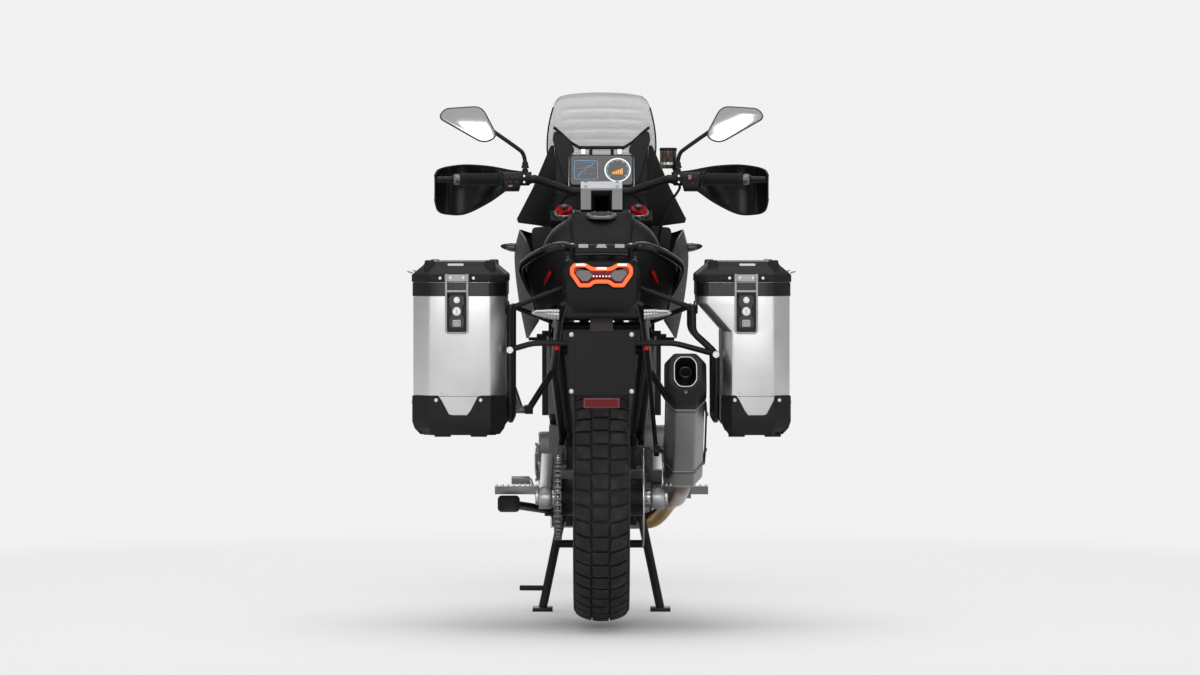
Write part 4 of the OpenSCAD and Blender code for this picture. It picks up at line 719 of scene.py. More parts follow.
CAN = Finish(
    "silencer_skin", (0.34, 0.34, 0.335), 0.4, Pattern.BRUSHED, metal=1, depth=0.00003, scale=2,
    vary=0.14, grain=(600, 12, 12)
)
STEEL = Finish(
    "plated_steel", (0.5, 0.5, 0.51), 0.28, Pattern.BRUSHED, metal=1, depth=0.00002, scale=2, vary=0.14,
    grain=(200, 200, 200)
)
DARK_STEEL = replace(STEEL, name="dark_steel", colour=(0.09, 0.09, 0.095), rough=0.42)
HEATED = Finish(
    "heated_steel", (0.42, 0.39, 0.36), 0.3, Pattern.HEATED, metal=1, depth=0.00003, scale=500
)
RUBBER = Finish(
    "grip_rubber", (0.008, 0.008, 0.008), 0.68, Pattern.POWDER, depth=0.0001, scale=1200, spec=0.3
)
TYRE = Finish(
    "tyre_rubber", (0.0095, 0.0095, 0.01), 0.6, Pattern.TREAD, depth=0.00025, scale=500, vary=0.2,
    spec=0.35
)
COVER = Finish(
    "saddle_cover", (0.009, 0.009, 0.0095), 0.56, Pattern.LEATHER, depth=0.0003, scale=420, sheen=0.08,
    spec=0.3
)
COVER_SMOOTH = replace(COVER, name="saddle_side", colour=(0.011, 0.011, 0.012), scale=900, depth=0.0001)
THREAD = Finish("stitching", (0.05, 0.05, 0.055), 0.7, Pattern.POWDER, depth=0.0001, scale=2500)
SCREEN = Finish("smoked_screen", (0.96, 0.965, 0.97), 0.25, clear=0.86, vary=0.02)
LENS = Finish("clear_lens", (0.9, 0.91, 0.92), 0.04, clear=0.9, vary=0.02)
REFLECTOR = Finish("bright_reflector", (0.42, 0.42, 0.43), 0.24, metal=1, vary=0.1)
MIRROR = Finish("mirror_glass", (0.86, 0.87, 0.88), 0.12, metal=1, vary=0.01)
RED = Finish(
    "red_anodised", (0.5, 0.01, 0.012), 0.28, Pattern.BRUSHED, metal=0.7, depth=0.00002, scale=3,
    grain=(200, 200, 200)
)
RED_COIL = Finish(
    "red_spring", (0.4, 0.012, 0.012), 0.3, Pattern.POWDER, depth=0.00003, scale=900, coat=0.4
)
RED_LENS = Finish("red_lens", (0.2, 0.004, 0.008), 0.14, coat=0.4)
DARK_LENS = Finish("dark_red_lens", (0.035, 0.008, 0.016), 0.1, coat=0.7)
TAIL_GLOW = Finish("tail_glow", (1.0, 0.11, 0.03), 0.3, glow=1.0, vary=0.02)
WHITE_GLOW = Finish("white_glow", (1.0, 0.8, 0.76), 0.3, glow=0.8, vary=0.02)
DIAL_WHITE = Finish("dial_white", (0.7, 0.8, 0.88), 0.3, glow=0.7, vary=0.02)
DIAL_BLUE = Finish("dial_blue", (0.15, 0.34, 0.55), 0.3, glow=0.5, vary=0.02)
DIAL_AMBER = Finish("dial_amber", (0.9, 0.4, 0.06), 0.3, glow=0.5, vary=0.02)
AMBER = Finish("amber_fluid", (0.05, 0.022, 0.008), 0.15, coat=0.4)
PLATE = Finish(
    "blank_plate", (0.005, 0.005, 0.005), 0.44, Pattern.POWDER, depth=0.00005, scale=900, spec=0.25
)
PALE = Finish(
    "pale_inlay", (0.32, 0.32, 0.33), 0.35, Pattern.BRUSHED, metal=0.6, depth=0.00002, scale=3,
    grain=(300, 40, 40)
)
YOKES = replace(POWDER, name="yokes_two_tone", high=(0.6, 0.6, 0.62), split=1.128, rough=0.34)


# ---------------------------------------------------------------- making pieces


def mesh_object(name: str, shape: Shape, finish: Finish, angle: float = 35.0) -> bpy.types.Object:
    """Puts a shape into a mesh, in metres.

    Args:
        name: Name of the piece.
        shape: Its vertices and faces, in millimetres.
        finish: Its finish.
        angle: Edges sharper than this many degrees stay sharp.

    Returns:
        The new object, at the origin.
    """
    loops = np.concatenate([f.ravel() for f in shape.faces])
    counts = np.concatenate([np.full(len(f), f.shape[1]) for f in shape.faces])
    mesh = bpy.data.meshes.new(name)
    mesh.vertices.add(len(shape.verts))
    mesh.vertices.foreach_set("co", (shape.verts * 0.001).astype(np.float32).ravel())
    mesh.loops.add(len(loops))
    mesh.loops.foreach_set("vertex_index", loops.astype(np.int32))
    mesh.polygons.add(len(counts))
    mesh.polygons.foreach_set(
        "loop_start", np.concatenate([[0], np.cumsum(counts)[:-1]]).astype(np.int32)
    )
    mesh.polygons.foreach_set("use_smooth", np.ones(len(counts), bool))
    mesh.update(calc_edges=True)
    mesh.validate()
    mesh.set_sharp_from_angle(angle=math.radians(angle))
    mesh.materials.append(finish.material())
    obj = bpy.data.objects.new(name, mesh)
    bpy.context.scene.collection.objects.link(obj)
    return obj


def low_high(node: str) -> tuple[Array, Array]:
    """The lowest and highest corners of a CAD node, in millimetres."""
    lo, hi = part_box(node)
    return np.array(lo) * 1000, np.array(hi) * 1000


@dataclass
class Assembly:
    """A group of pieces of the machine.

    Attributes:
        body: The body that its pieces ride on.
        made: The pieces made so far.
    """

    body: str = "chassis"
    made: list[bpy.types.Object] = field(default_factory=list)

    def put(
        self, name: str, shape: Shape, finish: Finish, slot: str, stands_for: tuple[str, ...] = (),
        angle: float = 35.0, body: str | None = None
    ) -> bpy.types.Object:
        """Makes a piece and says what it rides on.

        Args:
            name: Name of the piece.
            shape: Its shape.
            finish: Its finish.
            slot: A material slot's name; not used.
            stands_for: CAD nodes that it is shown in place of.
            angle: Edges sharper than this stay sharp.
            body: The body that it rides on, if not the group's own.

        Returns:
            The piece.
        """
        obj = mesh_object(name, shape, finish, angle)
        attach(obj, body or self.body)
        if stands_for:
            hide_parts(*stands_for)
        self.made.append(obj)
        log.info("%s: %d faces", name, len(obj.data.polygons))
        return obj

    def build(self) -> None:
        """Makes all pieces of the group."""
        raise NotImplementedError


@dataclass
class CarriedNodes(Assembly):
    """The CAD nodes that keep their own shape, with softened edges and their finishes.

    Attributes:
        finishes: The finish of each node.
        edges: Size of the softened edges, in millimetres.
        faceted: Nodes made of flat strips round a tube, shaded smooth over wider angles.
    """

    finishes: dict[str, Finish] = field(default_factory=dict)
    edges: dict[str, float] = field(default_factory=dict)
    faceted: tuple[str, ...] = ("pannier_rack", "front_brake_hose")

    def build(self) -> None:
        """Dresses each node: doubles merged, flat faces joined, edges rounded, shaded smooth."""
        for name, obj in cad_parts.items():
            finish = self.finishes.get(name, POWDER)
            obj.data.materials.clear()
            obj.data.materials.append(finish.material())
            edge = 0.0 if name in self.faceted else self.edges.get(name, 1.0)
            weld = obj.modifiers.new("weld", "WELD")
            weld.merge_threshold = 0.00002
            flat = obj.modifiers.new("flat", "DECIMATE")
            flat.decimate_type = "DISSOLVE"
            flat.angle_limit = math.radians(1.0)
            if edge:
                bevel = obj.modifiers.new("edges", "BEVEL")
                bevel.limit_method = "ANGLE"
                bevel.angle_limit = math.radians(34)
                bevel.width = edge / 1000
                bevel.segments = 2
                bevel.use_clamp_overlap = True
                bevel.harden_normals = False
            self._smooth(obj, 44.0 if name in self.faceted else 32.0)
            log.info("%s: %s", name, finish.name)

    @staticmethod
    def _smooth(obj: bpy.types.Object, limit: float) -> None:
        """Shades the node smooth except across edges sharper than the limit, in degrees."""
        title = f"smooth_by_{limit:.0f}_degrees"
        tree = bpy.data.node_groups.get(title)
        if tree is None:
            tree = bpy.data.node_groups.new(title, "GeometryNodeTree")
            tree.interface.new_socket("Geometry", in_out="INPUT", socket_type="NodeSocketGeometry")
            tree.interface.new_socket("Geometry", in_out="OUTPUT", socket_type="NodeSocketGeometry")
            start, end = tree.nodes.new("NodeGroupInput"), tree.nodes.new("NodeGroupOutput")
            angle = tree.nodes.new("GeometryNodeInputMeshEdgeAngle")
            less = tree.nodes.new("FunctionNodeCompare")
            less.operation = "LESS_EQUAL"
            less.inputs["B"].default_value = math.radians(limit)
            faces, edges = (tree.nodes.new("GeometryNodeSetShadeSmooth") for _ in range(2))
            edges.domain = "EDGE"
            tree.links.new(angle.outputs["Unsigned Angle"], less.inputs["A"])
            tree.links.new(start.outputs[0], faces.inputs["Geometry"])
            tree.links.new(faces.outputs[0], edges.inputs["Geometry"])
            tree.links.new(less.outputs[0], edges.inputs["Shade Smooth"])
            tree.links.new(edges.outputs[0], end.inputs[0])
        obj.modifiers.new("shade", "NODES").node_group = tree


# ---------------------------------------------------------------- wheels


@dataclass
class Tyre(Assembly):
    """A tyre with its tread blocks.

    Attributes:
        name: Name of the CAD node that it stands for.
        centre: Y and Z of the axle.
        outer: Radius over the blocks.
        bead: Radius of the bead.
        width: Width of the tyre.
        rows: Rows of blocks round the tyre.
        depth: Depth of the grooves.
        splits: Where the two slits along the tread lie, as shares of its width.
        reach: How far from the middle the blocks go, as a share of the width.
        bow: How far the grooves across are bowed, in degrees.
    """

    name: str = "rear_tyre"
    centre: tuple[float, float] = (-778.0, 348.0)
    outer: float = 333.0
    bead: float = 228.5
    width: float = 150.0
    rows: int = 50
    depth: float = 7.0
    splits: tuple[float, float] = (-0.16, 0.13)
    reach: float = 0.46
    bow: float = -2.4

    def profile(self) -> Array:
        """The outer section as rows of (across, radius) from bead to bead."""
        h, w, b = self.outer - self.bead, self.width, self.bead
        half = [
            (0.36 * w, b), (0.37 * w, b + 10), (0.49 * w, b + 0.36 * h), (0.5 * w, b + 0.56 * h),
            (0.49 * w, b + 0.72 * h), (0.43 * w, b + 0.84 * h), (0.31 * w, b + 0.93 * h),
            (0.15 * w, b + 0.985 * h)
        ]
        rows = [(-x, r) for x, r in half] + [(0.0, self.outer)] + [(x, r) for x, r in reversed(half)]
        return spline(np.array(rows), 6)

    def surface(self, s: Array, a: Array, drop: Array | float) -> Array:
        """Points on the tyre.

        Args:
            s: Place across the tyre, as a share of the section's length from its middle, -1 to 1.
            a: Angle round the axle.
            drop: How far inside the surface.

        Returns:
            The section's point at s, moved in square to it by drop and turned to the angle a.
        """
        p = self.profile()
        step = np.linalg.norm(np.diff(p, axis=0), axis=1)
        along = np.concatenate([[0], np.cumsum(step)])
        along = along / along[-1] * 2 - 1
        t = unit(np.gradient(p, axis=0))
        x, r = (np.interp(s, along, p[:, k]) for k in (0, 1))
        nx, nr = np.interp(s, along, -t[:, 1]), np.interp(s, along, t[:, 0])
        x, r = x - nx * drop, r - nr * drop
        return np.stack([x, self.centre[0] + r * np.cos(a), self.centre[1] + r * np.sin(a)], -1)

    def column(self, lo: float, hi: float, shift: float, wave: tuple[float, float]) -> Shape:
        """One column of blocks round the tyre.

        A block's point (u, v) lies at lo + (hi - lo) u across; its angle is the row's, plus v times the
        length of a block, plus a bow that grows with the square of the place across. Its rim lies lower
        than its top, which makes the worn edge.

        Args:
            lo: Left edge, as a share.
            hi: Right edge, as a share.
            shift: How far the column is turned, as a share of a row.
            wave: How far the left and right edges lean from front to back.

        Returns:
            All blocks of the column.
        """
        pitch = 2 * math.pi / self.rows
        edge = 1.6
        span = (hi - lo) * 185.0 * self.width / 150
        inner = np.linspace(edge / span, 1 - edge / span, 7)
        u = np.concatenate([[0.0], inner, [1.0]])
        gap = 3.4 / (pitch * self.outer)
        ev = edge / (pitch * self.outer)
        v = np.array([gap, gap + ev, 0.5, 1 - gap - ev, 1 - gap])
        u, v = np.meshgrid(u, v, indexing="ij")
        s = (lo + wave[0] * (v - 0.5)) * (1 - u) + (hi + wave[1] * (v - 0.5)) * u
        rim = (u < 1e-6) | (u > 1 - 1e-6) | (v <= gap + 1e-6) | (v >= 1 - gap - 1e-6)
        a = (v + shift) * pitch + math.radians(self.bow) * (s * s * 4 - 0.3)
        turns = np.arange(self.rows)[:, None, None] * pitch
        s3 = np.broadcast_to(s, (self.rows,) + s.shape)
        top = self.surface(s3, a[None] + turns, np.where(rim, edge * 0.8, 0.0)[None])
        low = self.surface(s3, a[None] + turns, self.depth + 3.0)
        one = between(top[0], low[0])
        order = one.faces
        n = top.shape[1] * top.shape[2] * 2
        verts = np.concatenate(
            [top.reshape(self.rows, -1, 3), low.reshape(self.rows, -1, 3)], 1
        ).reshape(-1, 3)
        shiftv = (np.arange(self.rows) * n)[:, None, None]
        return Shape(verts, [(f[None] + shiftv).reshape(-1, 4) for f in order])

    def carcass(self) -> Shape:
        """The tyre under its blocks: its section, drawn in by the tread's depth, round the axle."""
        s = np.linspace(-1, 1, 64)
        depth = self.depth * np.clip((self.reach + 0.05 - np.abs(s)) / 0.04, 0, 1)
        p = self.surface(s, np.zeros_like(s), depth)
        inner = self.surface(s[::-1], np.zeros_like(s), 9.0 + self.depth * 0.4)
        outline = np.concatenate([p, inner])
        prof = [(q[1] - self.centre[0], q[0]) for q in outline]
        return lathe(prof, (0, *self.centre), (1, 0, 0), 144, loop=True)

    def build(self) -> None:
        """Makes the carcass, its bead lines and the columns of blocks."""
        r, (p, q) = self.reach, self.splits
        g = 0.016
        cols = [
            self.column(-r, p - g, 0.12, (0.0, 0.02)), self.column(p + g, q - g, 0.0, (0.02, -0.02)),
            self.column(q + g, r, 0.12, (-0.02, 0.0))
        ]
        shoulder = [
            self.column(sgn * (r + 0.045) - 0.025, sgn * (r + 0.045) + 0.025, 0.3, (0, 0))
            for sgn in (-1, 1)
        ]
        ribs = []
        for sgn in (-1, 1):
            for at in (0.78, 0.93):
                a = np.linspace(0, 2 * math.pi, 97)[:-1]
                path = self.surface(np.full_like(a, sgn * at), a, 0.0)
                way = self.surface(np.full_like(a, sgn * at), a, -1.0) - path
                side = self.surface(np.full_like(a, sgn * (at + 0.01)), a, 0.0) - path
                side = unit(side)
                b = np.arange(6) * math.pi / 3
                ring = path[:, None] + 1.2 * (
                    np.cos(b)[None, :, None] * unit(way)[:, None]
                    + np.sin(b)[None, :, None] * side[:, None] * 1.6
                )
                ribs.append(rings(ring, loop=True))
        self.put(
            self.name + "_tread", joined([self.carcass(), *cols, *shoulder, *ribs]), TYRE, "tyre",
            (self.name,), 28
        )


@dataclass
class ChainLoop(Assembly):
    """The drive chain with its links.

    Attributes:
        x: Middle plane of the chain.
        pitch: Distance between two pins.
        wheels: Centre Y, centre Z and number of teeth of both sprockets, the big one first.
    """

    x: float = -117.0
    pitch: float = 15.875
    wheels: tuple[
        tuple[float, float, int], tuple[float, float, int]
    ] = ((-778.0, 348.0, 44), (-95.0, 402.0, 16))

    def path(self) -> Array:
        """Pins along the loop: an arc round each sprocket and two straight runs, in equal steps."""
        (y1, z1, n1), (y2, z2, n2) = self.wheels
        r1, r2 = (self.pitch / math.sin(math.pi / n) / 2 for n in (n1, n2))
        base = math.atan2(z2 - z1, y2 - y1)
        lean = math.acos((r1 - r2) / math.hypot(y2 - y1, z2 - z1))
        a = base + lean + (2 * math.pi - 2 * lean) * np.linspace(0, 1, 200)
        b = base - lean + 2 * lean * np.linspace(0, 1, 100)
        p = np.concatenate([np.stack([y1 + r1 * np.cos(a), z1 + r1 * np.sin(a)], -1),
                            np.stack([y2 + r2 * np.cos(b), z2 + r2 * np.sin(b)], -1)])
        p = np.concatenate([p, p[:1]])
        along = np.concatenate([[0], np.cumsum(np.linalg.norm(np.diff(p, axis=0), axis=1))])
        count = int(round(along[-1] / self.pitch / 2)) * 2
        at = np.arange(count) * along[-1] / count
        return np.stack([np.interp(at, along, p[:, 0]), np.interp(at, along, p[:, 1])], -1)

    def plates(self, pins: Array, x0: float, x1: float, reach: float) -> Shape:
        """Waisted link plates, one for each pair of pins, between two planes."""
        t = np.linspace(0, 2 * math.pi, 20, endpoint=False)
        half = self.pitch / 2
        oy = half * np.sign(np.cos(t)) * np.minimum(1, np.abs(np.cos(t)) * 1.5) + reach * np.cos(t)
        oz = reach * np.sin(t) * (1 - 0.22 * np.abs(np.sin(t)) ** 6)
        one = prism(np.stack([oy, oz], -1), x0, x1, 0.4)
        nxt = np.roll(pins, -1, 0)[::2]
        cur = pins[::2]
        way = unit(nxt - cur)
        mid = (cur + nxt) / 2
        n = len(cur)
        zero = np.zeros(n)
        axes = np.stack(
            [
                np.stack([zero, way[:, 0], way[:, 1]], -1), np.stack([zero, -way[:, 1], way[:, 0]], -1),
                np.broadcast_to([1.0, 0, 0], (n, 3))
            ],
            1
        )
        return array_of(one, np.column_stack([np.full(n, self.x), mid]), axes)

    def build(self) -> None:
        """Makes outer plates, inner plates, and pins with their rollers."""
        pins = self.path()
        shifted = np.roll(pins, -1, 0)
        parts = [self.plates(pins, s * 8.6 - 0.9, s * 8.6 + 0.9, 6.6) for s in (-1, 1)]
        parts += [self.plates(shifted, s * 6.2 - 0.9, s * 6.2 + 0.9, 6.6) for s in (-1, 1)]
        roller = lathe(
            [(2.4, -10.6), (2.4, -5.2), (4.9, -5.2), (4.9, 5.2), (2.4, 5.2), (2.4, 10.6)], (0, 0, 0),
            (1, 0, 0), 10
        )
        axes = np.broadcast_to(np.eye(3), (len(pins), 3, 3))
        parts.append(array_of(roller, np.column_stack([np.full(len(pins), self.x), pins]), axes))
        self.put("chain_links", joined(parts), DARK_STEEL, "dark_steel", ("chain",), 40)


# ---------------------------------------------------------------- tail


@dataclass
class Tail(Assembly):
    """Plate, reflector, tail light and indicators.

    Attributes:
        end: Y of the tail light's mounting face.
        light_z: Height of the tail light's middle.
        plate: Middle of the plate, as (Y of its face, Z).
        size: Width and height of the plate; not used.
    """

    end: float = -974.0
    light_z: float = 945.0
    plate: tuple[float, float] = (-1160.0, 720.0)
    size: tuple[float, float] = (177.0, 168.0)

    def number_plate(self) -> None:
        """A blank plate with a pressed rim, and its four screws."""
        lo, hi = low_high("number_plate")
        w, h = hi[0] - lo[0], hi[2] - lo[2]
        cz = (lo[2] + hi[2]) / 2
        outline = rectangle(w, h, 14, 7)
        y0, y1 = hi[1], lo[1]
        t = y0 - y1
        plate = back_prism(outline, y0, y1 + t * 0.35, 0.5)
        rim = frame_prism(outline, 3.2, -y0, -y1, 0.6).placed(
            (0, 0, 0), (1, 0, 0), (0, 0, 1), (0, -1, 0)
        )
        self.put("blank_plate", (plate + rim).moved((0, 0, cz)), PLATE, "plate", ("number_plate",))
        spots = np.array(
            [[sx * 78.5, y1 + t * 0.3, cz + sz * 74.0] for sx in (-1, 1) for sz in (-1, 1)]
        )
        washers = joined(
            [
                lathe([(1.0, 0), (6.4, 0), (6.4, 0.8), (5.6, 1.2), (1.0, 1.2)], p, (0, -1, 0), 16)
                for p in spots
            ]
        )
        self.put(
            "plate_screws", washers + screws(spots + [0, -1.0, 0], (0, -1, 0), 4.2, 2.6), STEEL, "steel"
        )

    def reflector(self) -> None:
        """A dark red reflector with a moulded prism field."""
        y = self.plate[0] - 3
        face = back_prism(rectangle(94, 25, 3, 4), y, y - 7, 1.2, (0, 0, 615.5))
        nx, nz = 30, 7
        x, z = np.meshgrid(
            np.linspace(-43, 43, nx * 2 + 1), np.linspace(605.5, 625.5, nz * 2 + 1), indexing="ij"
        )
        i, j = np.indices(x.shape)
        bump = ((i % 2 == 1) & (j % 2 == 1)) * 0.9
        front = np.stack([x, np.full_like(x, y - 7.0) - bump, z], -1)
        facets = between(front, np.stack([x, np.full_like(x, y - 5.0), z], -1))
        self.put("rear_reflector", face + facets, RED_LENS, "lamp", angle=20)

    def goggle(self, grow: float) -> Array:
        """Outline of the tail light: a wide mask with a dip over a nose, in the plane X, Z."""
        full = [
            (-84, 22), (-74, 34), (-40, 34), (-24, 24), (24, 24), (40, 34), (74, 34), (84, 22), (84, 4),
            (60, -31), (30, -31), (18, -21), (-18, -21), (-30, -31), (-60, -31), (-84, 4)
        ]
        return inset(rounded(np.array(full, float), 5, 4), -grow)

    def tail_light(self) -> None:
        """The lamp: housing, glowing ring, dark inner lenses, pale segments and a row of points."""
        y = self.end - 1
        self.put(
            "tail_lamp_housing", upright(prism(self.goggle(1.5), -y, -y + 11, 1.5), self.light_z),
            GLOSS, "lamp", angle=50
        )
        self.put(
            "tail_lamp_ring",
            upright(frame_prism(self.goggle(-1.0), 10.0, -y + 10, -y + 14.0, 1.2), self.light_z),
            TAIL_GLOW, "lamp", angle=50
        )
        self.put(
            "tail_lamp_lens", upright(prism(self.goggle(-11.5), -y + 9, -y + 12.2, 0.8), self.light_z),
            RED_LENS, "lamp", angle=50
        )
        panels, tops = [], []
        for s in (-1, 1):
            hexagon = np.array(
                [[20, 2], [34, 16], [62, 16], [70, 6], [52, -15], [36, -15]], float
            ) * [s, 1]
            panels.append(
                upright(
                    prism(inset(rounded(hexagon, 2, 3), 1.0), -y + 11.6, -y + 13.6, 0.6), self.light_z
                )
            )
            tops.append(
                upright(
                    prism(
                        rounded(
                            np.array([[40, 27], [44, 32.5], [66, 32.5], [69, 27]], float) * [s, 1], 1.5,
                            3
                        ),
                        -y + 13.4, -y + 15.2, 0.5
                    ),
                    self.light_z
                )
            )
        tops.append(
            upright(
                prism(
                    rounded(np.array([[-15, 17], [-12, 22.5], [12, 22.5], [15, 17]], float), 1.5, 3),
                    -y + 13.4, -y + 15.2, 0.5
                ),
                self.light_z
            )
        )
        self.put("tail_lamp_panels", joined(panels), DARK_LENS, "lamp")
        self.put("tail_lamp_segments", joined(tops), WHITE_GLOW, "lamp")
        dots = [
            lathe(
                [(0.4, 0), (2.2, 0), (2.2, 1.0), (1.2, 1.9), (0.3, 2.0)],
                (x, y - 12.0, self.light_z - 1.0), (0, -1, 0), 10
            )
            for x in (-21, -12.6, -4.2, 4.2, 12.6, 21)
        ]
        self.put("tail_lamp_points", joined(dots), WHITE_GLOW, "lamp")

    def indicator(self, root: Array, tip: Array, r0: float, r1: float) -> tuple[Shape, Shape]:
        """A tapered indicator: its body and its lens at the wide end."""
        way = unit(tip - root)
        length = float(np.linalg.norm(tip - root))
        body = lathe(
            [
                (r0 * 0.8, 0), (r0, 1.5), (r0 * 0.9, length * 0.35), (r0 * 0.55, length * 0.85),
                (r1 * 0.8, length), (r1 * 0.3, length + 3)
            ],
            root, way, 28
        )
        ridge = joined(
            [
                lathe(
                    [
                        (r0 * q, z), (r0 * q + 0.8, z + 0.8), (r0 * q + 0.8, z + 2.6),
                        (r0 * q - 0.3, z + 3.4)
                    ],
                    root, way, 28
                )
                for q, z in ((0.985, 6.0), (0.955, 14.0), (0.925, 22.0), (0.88, 30.0))
            ]
        )
        return body, ridge

    def build(self) -> None:
        """Makes all pieces of the tail."""
        self.number_plate()
        self.reflector()
        self.tail_light()
        body, ridge = self.indicator(
            np.array([111.0, -1004, 843]), np.array([182.0, -1004, 848]), 15.0, 6.0
        )
        self.put("rear_indicators", body.both(), REFLECTOR, "lamp")
        self.put("rear_indicator_rings", ridge.both(), LENS, "lamp")


# ---------------------------------------------------------------- luggage


